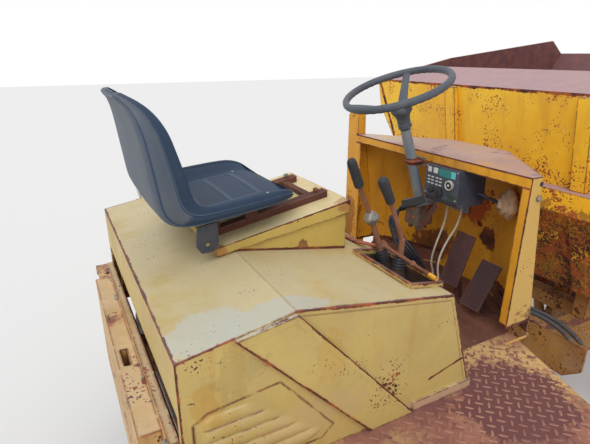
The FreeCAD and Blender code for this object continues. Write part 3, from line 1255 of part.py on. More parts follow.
def make_pedals():
    """Two slanted pedal plates on their stems and feet."""
    deck, half = float(S.deck_top), float(S.pedal_half_width)
    pedals = []
    for top_x, top_z, low_x, low_z, y in (
            (S.pedal_inner_top_x, S.pedal_inner_top_z, S.pedal_inner_low_x, S.pedal_inner_low_z,
             S.pedal_inner_y),
            (S.pedal_outer_top_x, S.pedal_outer_top_z, S.pedal_outer_low_x, S.pedal_outer_low_z,
             S.pedal_outer_y)):
        top_x, top_z, low_x, low_z, y = float(top_x), float(top_z), float(low_x), float(low_z), float(y)
        run = point(top_x - low_x, 0, top_z - low_z).normalize()
        thick = FreeCAD.Vector(run.z, 0, -run.x) * float(S.pedal_plate)
        corners = [point(low_x, y - half, low_z), point(top_x, y - half, top_z)]
        pad = prism([corners[0], corners[1], corners[1] + thick, corners[0] + thick], point(0, 2 * half, 0))
        middle_x, middle_z = (top_x + low_x) / 2, (top_z + low_z) / 2
        stem = side_prism([(middle_x + 2, middle_z - 10), (middle_x + 14, middle_z + 14),
                           (middle_x + 52, deck), (middle_x + 22, deck)], y - 9, y + 9)
        foot = flat_prism([(middle_x + 4, y - 32), (middle_x + 74, y - 32), (middle_x + 74, y + 32),
                           (middle_x + 4, y + 32)], deck, deck + 9)
        pedals.append(pad.multiFuse([stem, foot]))
    node("pedals", formed("pedals", Part.makeCompound(pedals)))


def cord(points, radius):
    """A tube along a cord's hand-chosen points, each bend as large as its two runs allow."""
    points = [FreeCAD.Vector(*map(float, p)) for p in points]
    edges = []
    last = points[0]
    for before, corner, after in zip(points, points[1:], points[2:]):
        shorter = min((before - corner).Length, (after - corner).Length)
        back = (before - corner).normalize()
        on = (after - corner).normalize()
        turn = math.pi - back.getAngle(on)
        reach = 0.45 * shorter
        bend = reach / math.tan(turn / 2)
        middle_way = (back + on).normalize()
        middle = corner + middle_way * (bend / math.cos(turn / 2) - bend)
        start, end = corner + back * reach, corner + on * reach
        edges.append(Part.LineSegment(last, start).toShape())
        edges.append(Part.Arc(start, middle, end).toShape())
        last = end
    edges.append(Part.LineSegment(last, points[-1]).toShape())
    ring = Part.Wire(Part.Circle(points[0], points[1] - points[0], float(radius)).toShape())
    return Part.Wire(edges).makePipeShell([ring], True, True)


CABLE_BACK = 96
CABLE_Y = (-70, -140)


def make_cables():
    """Two cables from the glands under the instrument box down to the floor."""
    x = float(S.dash_rear_x) - 22 + CABLE_BACK
    start_z, floor_z = float(S.panel_bottom) - 12, float(S.deck_top)
    first, second = CABLE_Y
    routes = {
        "cable_left": [(x, first, start_z), (x, first, start_z - 80), (x - 30, first + 10, start_z - 180),
                       (x - 26, first + 34, start_z - 275), (x + 10, first + 42, start_z - 340),
                       (x + 10, first + 42, floor_z)],
        "cable_right": [(x, second, start_z), (x, second, start_z - 70), (x - 24, second + 34, start_z - 160),
                        (x - 50, second + 44, start_z - 250), (x - 32, second + 40, start_z - 335),
                        (x - 32, second + 40, floor_z)],
    }
    for name, route in routes.items():
        node(name, formed(name, cord(route, S.cable_radius)))


# Front chassis with the articulation tongue and the skip's pivots


def make_front_chassis():
    """Members, the deep cross plate, the tongue in the rear head, posts, pivots and anchors."""
    pieces = []
    for side, sign in (("left", 1), ("right", -1)):
        pieces.append(hollow_member(f"front_member_{side}", S.front_member_rear_x, S.front_member_front_x,
                                    sign * S.member_y, S.front_member_bottom, S.front_member_top))
    inner_half = S.member_y - S.member_width / 2
    for name, x, width in (("front", S.front_member_front_x - 62, 62), ("foot", S.cylinder_foot_x - 100, 70)):
        pieces.append(box(f"front_cross_{name}", (x, -inner_half, S.front_member_bottom),
                          (width, 2 * inner_half, 80)))
    half = S.cross_plate_half
    depth = S.front_member_rear_x - S.cross_plate_x
    pieces.append(slab("cross_plate", "YZ", [
        (-half, S.cross_plate_top), (-half, S.cross_plate_bottom + 60), (-half + 70, S.cross_plate_bottom),
        (half - 70, S.cross_plate_bottom), (half, S.cross_plate_bottom + 60), (half, S.cross_plate_top)],
        S.cross_plate_x, depth))
    pieces.append(box("cross_plate_flange", (S.cross_plate_x, -half, S.cross_plate_top - S.flange_sheet),
                      (S.cross_plate_flange, 2 * half, S.flange_sheet)))
    low = S.pivot_head_bottom + S.head_plate + S.head_gap
    high = S.pivot_head_top - S.head_plate - S.head_gap
    tongue = slab("tongue_wedge", "XY", [
        (S.pivot_x, -S.tongue_boss_radius), (S.cross_plate_x + 5, -S.tongue_half),
        (S.cross_plate_x + 5, S.tongue_half), (S.pivot_x, S.tongue_boss_radius)], low, high - low)
    boss = rod("tongue_boss", "Z", (S.pivot_x, 0, low), S.tongue_boss_radius, high - low)
    pieces += [tongue, boss]
    for side, sign in (("left", 1), ("right", -1)):
        y = sign * S.member_y
        pieces.append(box(f"rest_post_{side}", (S.rest_post_x, y - 30, S.front_member_top - 1),
                          (60, 60, S.skip_floor - S.seat_gap - S.front_member_top + 1)))
        upright_low = y - (S.member_width - 4) / 2
        thick = S.member_width - 4
        pieces.append(slab(f"upright_{side}", "XZ", [
            (S.tip_pivot_x - 110, S.front_member_top - 1), (S.front_member_front_x, S.front_member_top - 1),
            (S.tip_pivot_x + S.lug_boss_radius, S.tip_pivot_z),
            (S.tip_pivot_x - S.lug_boss_radius, S.tip_pivot_z)], upright_low, thick))
        pieces.append(rod(f"upright_boss_{side}", "Y", (S.tip_pivot_x, upright_low, S.tip_pivot_z),
                          S.lug_boss_radius, thick))
        inner_end = S.skip_lug_y - S.skip_lug_width / 2 - 8
        length = S.member_y + S.member_width / 2 + 6 - inner_end
        start = inner_end if sign > 0 else -inner_end - length
        pieces.append(rod(f"tip_pin_{side}", "Y", (S.tip_pivot_x, start, S.tip_pivot_z),
                          S.tip_pin_radius, length))
        ear_low = S.foot_ear_gap if sign > 0 else -S.foot_ear_gap - S.foot_ear
        x, z = S.cylinder_foot_x, S.cylinder_foot_z
        pieces.append(slab(f"foot_ear_{side}", "XZ", [
            (x - 95, S.front_member_bottom + 10), (x - 31, S.front_member_bottom + 10), (x + 36, z + 10),
            (x + 20, z - 32), (x - 20, z - 38), (x - 40, z - 10)], ear_low, S.foot_ear))
    reach = S.foot_ear_gap + S.foot_ear + 10
    pieces.append(rod("cylinder_foot_pin", "Y", (S.cylinder_foot_x, -reach, S.cylinder_foot_z),
                      S.eye_pin_radius, 2 * reach))
    # front anchor of the steering cylinder, standing on the flange
    post_x = S.steer_front_x + 46
    tall = S.steer_z + S.steer_ear_gap + S.steer_ear - S.cross_plate_top + 2
    pieces.append(box("steer_post", (post_x, S.steer_y - 26, S.cross_plate_top - 2), (30, 52, tall)))
    for name, low_z in (("lower", -S.steer_ear_gap - S.steer_ear), ("upper", S.steer_ear_gap)):
        ear_x = S.steer_front_x - 24
        pieces.append(box(f"steer_front_ear_{name}", (ear_x, S.steer_y - 26, S.steer_z + low_z),
                          (post_x + 2 - ear_x, 52, S.steer_ear)))
        head = S.steer_z + (S.steer_ear_gap + S.steer_ear if name == "upper" else low_z - 6)
        pieces.append(rod(f"steer_pin_head_{name}", "Z", (S.steer_front_x, S.steer_y, head),
                          S.eye_pin_radius, 6))
    bore = rod("tongue_bore", "Z", (S.pivot_x, 0, low - 5), S.pivot_pin_radius + S.running_fit,
               high - low + 10)
    node("front_chassis", cut("front_chassis", joined("front_chassis_welded", *pieces), bore))


def make_front_hoses():
    """Two hoses that lie loose on the flat top of the cross plate, each from its own elbow block."""
    z = float(S.cross_plate_top) + float(S.hose_radius)
    x = float(S.cross_plate_x)
    block = box("hose_block", (S.cross_plate_x + 24, -86, S.cross_plate_top), (70, 26, 2 * S.hose_radius + 8))
    node("hose_block", block)
    routes = {
        "front_hose_inner": [(x + 76, -86, z), (x + 76, -150, z), (x + 92, -220, z), (x + 84, -300, z),
                             (x + 58, -370, z), (x + 24, -432, z)],
        "front_hose_outer": [(x + 40, -86, z), (x + 40, -150, z), (x + 58, -222, z), (x + 48, -300, z),
                             (x + 26, -360, z), (x + 4, -400, z)],
    }
    for name, route in routes.items():
        node(name, formed(name, cord(route, S.hose_radius)))


# The tipping skip


def skip_side():
    """Outline of the skip in X and Z."""
    return [
        (S.skip_floor_rear_x, S.skip_floor), (S.skip_rear_knee_x, S.skip_rear_knee_z),
        (S.skip_rear_rim_x, S.skip_rear_rim_z), (S.skip_hood_x, S.skip_hood_z),
        (S.skip_side_mid_x, S.skip_side_mid_z), (S.skip_tip_x, S.skip_tip_z), (S.skip_lip_x, S.skip_lip_z),
        (S.skip_floor_front_x, S.skip_floor),
    ]


def skip_cross(top):
    """Outline of the skip in Y and Z."""
    return [
        (-S.skip_bottom_half, S.skip_floor), (-S.skip_half, S.skip_side_break), (-S.skip_half, top),
        (S.skip_half, top), (S.skip_half, S.skip_side_break), (S.skip_bottom_half, S.skip_floor),
    ]


def front_wall_x(z, outline):
    """Place of the sloping front wall at a height, from its lower and its upper end."""
    (low_x, low_z), (high_x, high_z) = outline
    return low_x + (z - low_z) * (high_x - low_x) / (high_z - low_z)


def make_skip():
    """The open skip of folded plate: floor, sloping walls and a hood plate along the rear rim."""
    outline = [(float(x), float(z)) for x, z in skip_side()]
    top = float(S.skip_tip_z + S.skip_half)
    outer = side_prism(outline, -S.skip_half, S.skip_half)
    cross = [(float(y), float(z)) for y, z in skip_cross(top)]
    outer = outer.common(long_prism(cross, 0, float(S.skip_lip_x) + 10))
    wall = float(S.skip_wall)
    room = inset(outline, wall)
    floor_z = min(z for _, z in room)
    front_low = max((p for p in room if p[1] < floor_z + 1), key=lambda p: p[0])
    front_high = max(room, key=lambda p: p[0])
    line = (front_low, front_high)
    hood = float(S.skip_hood_x)
    low, high = float(S.skip_side_break), top + wall
    mouth = [(hood, low), (hood, high), (front_wall_x(high, line), high), (front_wall_x(low, line), low)]
    space = side_prism(room, -S.skip_half, S.skip_half).fuse(side_prism(mouth, -S.skip_half, S.skip_half))
    inner_cross = inset(skip_cross(top + 10 * wall), wall)
    space = space.common(long_prism(inner_cross, 0, front_wall_x(high, line)))
    node("skip_shell", formed("skip_shell", outer.cut(space).removeSplitter()))


def rear_wall_x(z):
    """Outside of the rear wall at a height, as a number."""
    knee_x, knee_z = float(S.skip_rear_knee_x), float(S.skip_rear_knee_z)
    if z < knee_z:
        end_x, end_z = float(S.skip_floor_rear_x), float(S.skip_floor)
    else:
        end_x, end_z = float(S.skip_rear_rim_x), float(S.skip_rear_rim_z)
    return knee_x + (z - knee_z) * (end_x - knee_x) / (end_z - knee_z)


def make_skip_stiffeners():
    """Box ledge and ribs on the rear wall, rim bars, floor channels, pivot lugs and the cylinder's clevis."""
    knee_z = float(S.skip_rear_knee_z)
    ledge_top = knee_z + float(S.ledge_height)
    ledge_x = rear_wall_x(ledge_top) - float(S.ledge_depth)
    ledge = side_prism([(rear_wall_x(knee_z), knee_z), (ledge_x, knee_z), (ledge_x, ledge_top),
                        (rear_wall_x(ledge_top), ledge_top)], -S.skip_half, S.skip_half)
    cross = [(float(y), float(z)) for y, z in skip_cross(S.skip_tip_z + S.skip_half)]
    pieces = [ledge.common(long_prism(cross, -50, 400))]
    rib_half, rib_depth = float(S.rib_width) / 2, float(S.rib_depth)
    rim_z = float(S.skip_rear_rim_z) - 12
    low_z = float(S.skip_floor) + 8
    for sign in (1, -1):
        y = sign * float(S.rib_y)
        for bottom, upper in ((low_z, knee_z), (ledge_top, rim_z)):
            outline = [(rear_wall_x(bottom), bottom), (rear_wall_x(bottom) - rib_depth, bottom),
                       (rear_wall_x(upper) - rib_depth, upper), (rear_wall_x(upper), upper)]
            pieces.append(side_prism(outline, y - rib_half, y + rib_half))
        # bar along the top edge of the side
        rim = [skip_side()[3], skip_side()[4], skip_side()[5]]
        bar = [(float(x), float(z)) for x, z in rim]
        bar += [(x, z - 34) for x, z in reversed(bar)]
        wall_y = sign * float(S.skip_half)
        pieces.append(side_prism(bar, min(wall_y, wall_y + sign * 9), max(wall_y, wall_y + sign * 9)))
    front_run = float(S.skip_lip_x - S.skip_floor_front_x) / float(S.skip_lip_z - S.skip_floor)
    lug_half = float(S.skip_lug_width) / 2
    pivot_x, pivot_z, boss = float(S.tip_pivot_x), float(S.tip_pivot_z), float(S.lug_boss_radius)
    floor, floor_front = float(S.skip_floor), float(S.skip_floor_front_x)
    for sign in (1, -1):
        y = sign * float(S.skip_lug_y)
        lug = [(float(S.rest_post_x) + 100, floor), (floor_front, floor),
               (pivot_x + 40, floor + (pivot_x + 40 - floor_front) / front_run), (pivot_x + boss, pivot_z),
               (pivot_x - boss, pivot_z - 8), (float(S.rest_post_x) + 100, floor - 40)]
        plate = side_prism(lug, y - lug_half, y + lug_half)
        plate = plate.fuse(Part.makeCylinder(boss, 2 * lug_half, point(pivot_x, y - lug_half, pivot_z),
                                             point(0, 1, 0)))
        hole = Part.makeCylinder(float(S.tip_pin_radius + S.running_fit), 2 * lug_half + 2,
                                 point(pivot_x, y - lug_half - 1, pivot_z), point(0, 1, 0))
        pieces.append(plate.cut(hole))
        ear_low = float(S.eye_ear_gap) if sign > 0 else -float(S.eye_ear_gap + S.eye_ear)
        x, z = float(S.cylinder_eye_x), float(S.cylinder_eye_z)
        ear = side_prism([(x - 70, floor), (x + 70, floor), (x + 26, z - 26), (x - 26, z - 26)],
                         ear_low, ear_low + float(S.eye_ear))
        head_low = ear_low - 8 if sign < 0 else ear_low + float(S.eye_ear)
        head = Part.makeCylinder(float(S.eye_pin_radius), 8, point(x, head_low, z), point(0, 1, 0))
        pieces.append(ear.fuse(head))
    node("skip_stiffeners", formed("skip_stiffeners", Part.makeCompound(pieces)))


# Cylinders


def cylinder_pair(foot, eye, sizes, pin_axis):
    """A hollow barrel with its foot eye and gland, and the rod with its eye, from foot to eye."""
    radius, rod_radius, eye_radius, neck, eye_half, barrel_end, rod_length, pin_radius, rod_eye_half = sizes
    foot, eye = point(*foot), point(*eye)
    along = (eye - foot).normalize()
    fit, gland = float(S.running_fit), float(S.gland_length)

    def eye_ring(centre, half, hole):
        ring = Part.makeCylinder(eye_radius, 2 * half, centre - pin_axis * half, pin_axis)
        if hole:
            ring = ring.cut(Part.makeCylinder(pin_radius + fit, 2 * half + 2,
                                              centre - pin_axis * (half + 1), pin_axis))
        return ring

    bottom = eye_radius + neck
    inside = bottom + float(S.barrel_end_wall)
    barrel = Part.makeCylinder(radius, barrel_end - bottom, foot + along * bottom, along)
    barrel = barrel.fuse(Part.makeCylinder(radius * 0.6, bottom, foot, along))
    barrel = barrel.fuse(Part.makeCylinder(radius + float(S.gland_proud), gland,
                                           foot + along * (barrel_end - gland), along))
    barrel = barrel.cut(Part.makeCylinder(pin_radius + fit, 4 * radius, foot - pin_axis * (2 * radius),
                                          pin_axis))
    barrel = barrel.fuse(eye_ring(foot, eye_half, True))
    chamber = Part.makeCylinder(radius - float(S.barrel_wall), barrel_end - gland - inside,
                                foot + along * inside, along)
    passage = Part.makeCylinder(rod_radius + fit, gland + 4, foot + along * (barrel_end - gland - 2), along)
    barrel = barrel.cut(chamber).cut(passage)
    shaft = Part.makeCylinder(rod_radius, rod_length, eye - along * rod_length, along)
    shaft = shaft.fuse(eye_ring(eye, rod_eye_half, False))
    return barrel, shaft


def make_cylinders():
    """The tipping cylinder under the skip and the steering cylinder beside the articulation."""
    across, up = FreeCAD.Vector(0, 1, 0), FreeCAD.Vector(0, 0, 1)
    pin = float(S.eye_pin_radius)
    gap = float(S.eye_side_gap)
    tip = (float(S.barrel_radius), float(S.rod_radius), float(S.eye_radius), float(S.tip_neck),
           float(S.foot_ear_gap) - gap, float(S.tip_barrel_length), float(S.tip_rod_length), pin,
           float(S.eye_ear_gap) - gap)
    barrel, shaft = cylinder_pair((S.cylinder_foot_x, 0, S.cylinder_foot_z),
                                  (S.cylinder_eye_x, 0, S.cylinder_eye_z), tip, across)
    node("tip_barrel", formed("tip_barrel", barrel))
    node("tip_rod", formed("tip_rod", shaft))
    eye_half = float(S.steer_ear_gap) - gap
    steer = (float(S.steer_barrel_radius), float(S.steer_rod_radius), float(S.steer_eye_radius),
             float(S.steer_neck), eye_half, float(S.steer_barrel_length), float(S.steer_rod_length), pin,
             eye_half)
    barrel, shaft = cylinder_pair((S.steer_rear_x, S.steer_y, S.steer_z),
                                  (S.steer_front_x, S.steer_y, S.steer_z), steer, up)
    node("steer_barrel", formed("steer_barrel", barrel))
    node("steer_rod", formed("steer_rod", shaft))


def check_and_write():
    """Stop on any failed object or unsound shape, then write one STEP file for each sub-part."""
    doc.recompute()
    failed = [thing.Name for thing in doc.Objects if "Invalid" in thing.State or "Error" in thing.State]
    if failed:
        raise RuntimeError(f"objects that failed: {failed}")
    for name, thing in NODES.items():
        if thing.Shape.isNull() or not thing.Shape.isValid():
            raise RuntimeError(f"sub-part {name} has no sound shape")
        if not thing.Shape.Solids:
            raise RuntimeError(f"sub-part {name} has no solid")
    os.makedirs("parts", exist_ok=True)
    for name, thing in NODES.items():
        thing.Shape.exportStep(os.path.join("parts", name + ".step"))


make_wheels()
make_axle("rear", S.rear_axle_x, S.rear_member_bottom)
make_axle("front", S.front_axle_x, S.front_member_bottom)
make_rear_chassis()
make_engine()
make_decks()
make_rear_end()
make_cover()
make_cover_trim()
make_seat_box()
make_seat_lid()
make_seat()
make_dash()
make_steering_column()
make_steering_wheel()
make_dash_fittings()
make_levers()
make_pedals()
make_cables()
make_front_chassis()
make_front_hoses()
make_skip()
make_skip_stiffeners()
make_cylinders()
check_and_write()
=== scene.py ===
"""Looks of an articulated site dumper: worn paint, rust, moulded seat, tyres, tread plate, fittings and cords.

Every length is in metres in the machine's own frame: +X forward to the skip, +Y to the driver's left, +Z up,
the origin on the ground under the middle of the machine.
"""

import logging
import math
from dataclasses import dataclass, field, replace
from enum import Enum
from typing import Any, Callable, Iterable, Sequence

import bpy
import numpy as np
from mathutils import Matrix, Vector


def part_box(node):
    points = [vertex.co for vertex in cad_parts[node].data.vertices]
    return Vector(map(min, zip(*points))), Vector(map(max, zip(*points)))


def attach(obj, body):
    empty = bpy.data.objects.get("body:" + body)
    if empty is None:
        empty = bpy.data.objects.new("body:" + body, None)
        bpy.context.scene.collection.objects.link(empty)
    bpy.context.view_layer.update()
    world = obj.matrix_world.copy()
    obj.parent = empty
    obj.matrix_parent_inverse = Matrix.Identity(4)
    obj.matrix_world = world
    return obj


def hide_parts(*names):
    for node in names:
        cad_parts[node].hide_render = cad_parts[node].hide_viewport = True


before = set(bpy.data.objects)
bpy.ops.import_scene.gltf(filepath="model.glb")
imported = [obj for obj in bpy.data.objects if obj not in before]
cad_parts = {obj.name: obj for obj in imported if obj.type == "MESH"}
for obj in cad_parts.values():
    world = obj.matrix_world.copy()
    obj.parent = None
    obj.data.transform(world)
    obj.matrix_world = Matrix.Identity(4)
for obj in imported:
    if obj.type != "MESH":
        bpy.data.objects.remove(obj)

logging.basicConfig(level=logging.INFO, format="%(message)s")
LOG = logging.getLogger("site_dumper")
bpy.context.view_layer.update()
MM = 0.001

Colour = tuple[float, float, float, float]
Feed = Any


def paint(red: int, green: int, blue: int) -> Colour:
    """Turn a colour as it is seen, 0 to 255, into the linear numbers that a shader takes.

    Args:
        red, green, blue: The colour's parts.

    Returns:
        The four linear numbers.
    """
    seen = np.array([red, green, blue]) / 255.0
    linear = np.where(seen <= 0.04045, seen / 12.92, ((seen + 0.055) / 1.055) ** 2.4)
    return (float(linear[0]), float(linear[1]), float(linear[2]), 1.0)


class Side(Enum):
    """Which side of the machine a piece is on, as seen from the driver."""

    LEFT = 1
    RIGHT = -1


class Body(str, Enum):
    """Bodies of the frame that pieces ride on."""

    REAR = "rear_frame"
    FRONT = "front_frame"
    LID = "driver_lid"
    HAND_WHEEL = "hand_wheel"


class Slot(str, Enum):
    """Material slots of the record."""

    COVER = "cover_paint"
    DASH = "dash_paint"
    PLATE = "rusty_plate"
    TYRE = "tyre_rubber"
    SEAT = "seat_skin"
    GREY_PLASTIC = "grey_plastic"
    DARK_PLASTIC = "dark_plastic"
    TAN = "tan_metal"
    HOSE = "hose_rubber"
    STEEL = "steel"


# Node work


class Bench:
    """Places nodes in one tree and joins them, so that a finish reads as a list of steps."""

    def __init__(self, tree: bpy.types.NodeTree) -> None:
        """Take the tree to work in."""
        self.tree = tree

    def place(self, kind: str, feeds: dict[Any, Feed] | None = None, **settings: Any) -> bpy.types.Node:
        """Add a node, set its options and feed its sockets with values or with other sockets.

        Args:
            kind: Blender's name of the node type, without the leading ShaderNode.
            feeds: What goes into each socket, by name or number.
            settings: Options of the node, such as operation.

        Returns:
            The new node.
        """
        node = self.tree.nodes.new("ShaderNode" + kind)
        for key, value in settings.items():
            setattr(node, key, value)
        for key, value in (feeds or {}).items():
            if isinstance(value, bpy.types.NodeSocket):
                self.tree.links.new(value, node.inputs[key])
            else:
                node.inputs[key].default_value = value
        return node

    def sum(self, operation: str, first: Feed, second: Feed = 0.0, third: Feed = 0.0) -> bpy.types.NodeSocket:
        """Work out a number from one, two or three others."""
        feeds = {0: first, 1: second, 2: third}
        return self.place("Math", feeds, operation=operation).outputs[0]

    def times(self, first: Feed, second: Feed) -> bpy.types.NodeSocket:
        """The product of two numbers."""
        return self.sum("MULTIPLY", first, second)

    def vector(self, operation: str, first: Feed, second: Feed = (0.0, 0.0, 0.0)) -> bpy.types.Node:
        """Work out a vector from two others."""
        return self.place("VectorMath", {0: first, 1: second}, operation=operation)

    def step(self, value: Feed, low: Feed, high: Feed) -> bpy.types.NodeSocket:
        """Rise smoothly from 0 at low to 1 at high, or fall where low is above high."""
        feeds = {"Value": value, "From Min": low, "From Max": high}
        return self.place("MapRange", feeds, interpolation_type="SMOOTHSTEP").outputs[0]

    def mix(self, share: Feed, first: Feed, second: Feed) -> bpy.types.NodeSocket:
        """Go from the first colour to the second by a share."""
        feeds = {0: share, 6: first, 7: second}
        return self.place("Mix", feeds, data_type="RGBA").outputs[2]

    def between(self, share: Feed, first: Feed, second: Feed) -> bpy.types.NodeSocket:
        """Go from the first number to the second by a share."""
        return self.place("Mix", {0: share, 2: first, 3: second}, data_type="FLOAT").outputs[0]

    def noise(self, where: Feed, scale: Feed, detail: float = 4.0, rough: float = 0.55) -> bpy.types.NodeSocket:
        """Soft noise about 0.5 over the given places."""
        feeds = {"Vector": where, "Scale": scale, "Detail": detail, "Roughness": rough}
        return self.place("TexNoise", feeds).outputs[0]

    def highest(self, masks: Sequence[Feed]) -> bpy.types.NodeSocket:
        """The highest of several masks."""
        result = masks[0]
        for mask in masks[1:]:
            result = self.sum("MAXIMUM", result, mask)
        return result


class Effects:
    """The shader node groups that several finishes share; each is built once."""

    def __init__(self) -> None:
        """Build every group."""
        zero = (0.0, 0.0, 0.0)
        self.patches = self._group("patches", self._patches, Vector=zero, Scale=6.0, Low=0.5, High=0.6)
        self.pits = self._group("pits", self._pits, Vector=zero, Scale=60.0, Cluster=5.0, Share=0.4)
        self.edges = self._group("edges", self._edges, Vector=zero, Width=0.006, Scale=25.0, Level=0.5)
        self.rust = self._group("rust", self._rust, ("Color", "Grain"), Vector=zero, Scale=18.0, Orange=0.3)
        self.runs = self._group("runs", self._runs, Vector=zero, Scale=22.0, Low=0.52, High=0.72)
        self.facing = self._group("facing", self._facing, ("Up", "Inside"), Middle=zero, Low=0.5, High=0.9)
        self.spot = self._group("spot", self._spot, Vector=zero, Middle=zero, Reach=(1.0, 1.0, 1.0), Ragged=0.0)
        self.seam = self._group("seam", self._seam, Vector=zero, Start=zero, Line=(1.0, 0.0, 0.0), Square=1.0,
                                Reach=0.01, Ragged=0.0)

    @staticmethod
    def _group(name: str, work: Callable[[Bench, Any], tuple[Any, ...]], outputs: Sequence[str] = ("Mask",),
               **inputs: Any) -> bpy.types.NodeTree:
        """Build a group with its named sockets.

        Args:
            name: The group's name.
            work: Places the nodes, given a bench and the inputs, and returns what goes out.
            outputs: The names of the outputs; one called Color is a colour, the others are numbers.
            inputs: Each input's name with its value, three numbers for a vector.

        Returns:
            The group.
        """
        group = bpy.data.node_groups.new(name, "ShaderNodeTree")
        for label, value in inputs.items():
            kind = "NodeSocketVector" if isinstance(value, tuple) else "NodeSocketFloat"
            group.interface.new_socket(label, in_out="INPUT", socket_type=kind).default_value = value
        for label in outputs:
            kind = "NodeSocketColor" if label == "Color" else "NodeSocketFloat"
            group.interface.new_socket(label, in_out="OUTPUT", socket_type=kind)
        source = group.nodes.new("NodeGroupInput")
        sink = group.nodes.new("NodeGroupOutput")
        for label, result in zip(outputs, work(Bench(group), source.outputs)):
            group.links.new(result, sink.inputs[label])
        return group

    @staticmethod
    def _patches(bench: Bench, given: Any) -> tuple[Any, ...]:
        """Cloudy patches: noise with ragged edges between a low and a high level."""
        return (bench.step(bench.noise(given["Vector"], given["Scale"], 7.0, 0.62), given["Low"], given["High"]),)

    @staticmethod
    def _pits(bench: Bench, given: Any) -> tuple[Any, ...]:
        """Small ragged pits that gather in clusters: cells whose reach grows where a broad noise is high."""
        ragged = bench.place("TexNoise", {"Vector": given["Vector"], "Scale": 70.0, "Detail": 3.0})
        shift = bench.vector("SUBTRACT", ragged.outputs["Color"], (0.5, 0.5, 0.5))
        small = bench.place("VectorMath", {0: shift.outputs[0], "Scale": 0.022}, operation="SCALE")
        moved = bench.vector("ADD", given["Vector"], small.outputs[0])
        cells = bench.place("TexVoronoi", {"Vector": moved.outputs[0], "Scale": given["Scale"], "Randomness": 1.0})
        broad = bench.noise(given["Vector"], given["Cluster"], 5.0, 0.6)
        reach = bench.times(bench.step(bench.sum("MULTIPLY_ADD", given["Share"], 1.0, broad), 0.62, 1.25), 0.95)
        return (bench.step(bench.sum("SUBTRACT", reach, cells.outputs["Distance"]), 0.0, 0.10),)

    @staticmethod
    def _edges(bench: Bench, given: Any) -> tuple[Any, ...]:
        """Worn edges: where the rounded normal leaves the flat one, broken up by noise."""
        rounded = bench.place("Bevel", {"Radius": given["Width"]}, samples=6)
        flat = bench.place("NewGeometry")
        turn = bench.vector("DOT_PRODUCT", rounded.outputs[0], flat.outputs["Normal"])
        edge = bench.step(turn.outputs["Value"], 0.995, 0.90)
        broken = bench.noise(given["Vector"], given["Scale"], 5.0, 0.65)
        broken = bench.sum("ADD", broken, bench.sum("SUBTRACT", given["Level"], 0.5))
        return (bench.times(edge, bench.step(broken, 0.42, 0.58)),)

    @staticmethod
    def _rust(bench: Bench, given: Any) -> tuple[Any, ...]:
        """Rust from dark maroon through brown to orange, with its fine grain as a height."""
        broad = bench.noise(given["Vector"], given["Scale"], 6.0, 0.6)
        fine = bench.noise(given["Vector"], 260.0, 3.0, 0.6)
        base = bench.mix(bench.step(broad, 0.36, 0.62), paint(74, 38, 34), paint(118, 62, 44))
        shine = bench.step(bench.sum("ADD", broad, bench.times(given["Orange"], 0.3)), 0.60, 0.78)
        base = bench.mix(shine, base, paint(168, 92, 44))
        return bench.mix(bench.times(bench.step(fine, 0.5, 0.75), 0.45), base, paint(150, 104, 84)), fine

    @staticmethod
    def _runs(bench: Bench, given: Any) -> tuple[Any, ...]:
        """Stains that run down: noise drawn out along the height."""
        drawn = bench.vector("MULTIPLY", given["Vector"], (1.0, 1.0, 0.10))
        streak = bench.noise(drawn.outputs[0], given["Scale"], 3.0, 0.5)
        broad = bench.noise(given["Vector"], 3.0, 3.0, 0.5)
        both = bench.sum("ADD", bench.times(streak, 0.7), bench.times(broad, 0.3))
        return (bench.step(both, given["Low"], given["High"]),)

    @staticmethod
    def _facing(bench: Bench, given: Any) -> tuple[Any, ...]:
        """How far a surface faces upwards, and whether it faces a middle point of the piece."""
        places = bench.place("TexCoord")
        parts = bench.place("SeparateXYZ", {0: places.outputs["Normal"]})
        away = bench.vector("SUBTRACT", places.outputs["Object"], given["Middle"])
        facing = bench.vector("DOT_PRODUCT", away.outputs[0], places.outputs["Normal"])
        return (bench.step(parts.outputs[2], given["Low"], given["High"]),
                bench.step(facing.outputs["Value"], 0.01, -0.01))

    @staticmethod
    def _spot(bench: Bench, given: Any) -> tuple[Any, ...]:
        """An ellipsoid: 1 in its middle, 0 past its reach, its edge moved by the ragged number."""
        away = bench.vector("SUBTRACT", given["Vector"], given["Middle"])
        scaled = bench.vector("DIVIDE", away.outputs[0], given["Reach"])
        far = bench.vector("LENGTH", scaled.outputs[0]).outputs["Value"]
        return (bench.step(bench.sum("ADD", far, given["Ragged"]), 1.06, 0.84),)

    @staticmethod
    def _seam(bench: Bench, given: Any) -> tuple[Any, ...]:
        """A strip along a straight line: the distance to the nearest place between the line's two ends."""
        away = bench.vector("SUBTRACT", given["Vector"], given["Start"])
        along = bench.vector("DOT_PRODUCT", away.outputs[0], given["Line"]).outputs["Value"]
        share = bench.place("Clamp", {0: bench.sum("DIVIDE", along, given["Square"])}).outputs[0]
        nearest = bench.place("VectorMath", {0: given["Line"], "Scale": share}, operation="SCALE")
        gap = bench.vector("SUBTRACT", away.outputs[0], nearest.outputs[0])
        far = bench.sum("DIVIDE", bench.vector("LENGTH", gap.outputs[0]).outputs["Value"], given["Reach"])
        return (bench.step(bench.sum("ADD", far, given["Ragged"]), 1.06, 0.70),)


EFFECTS = Effects()


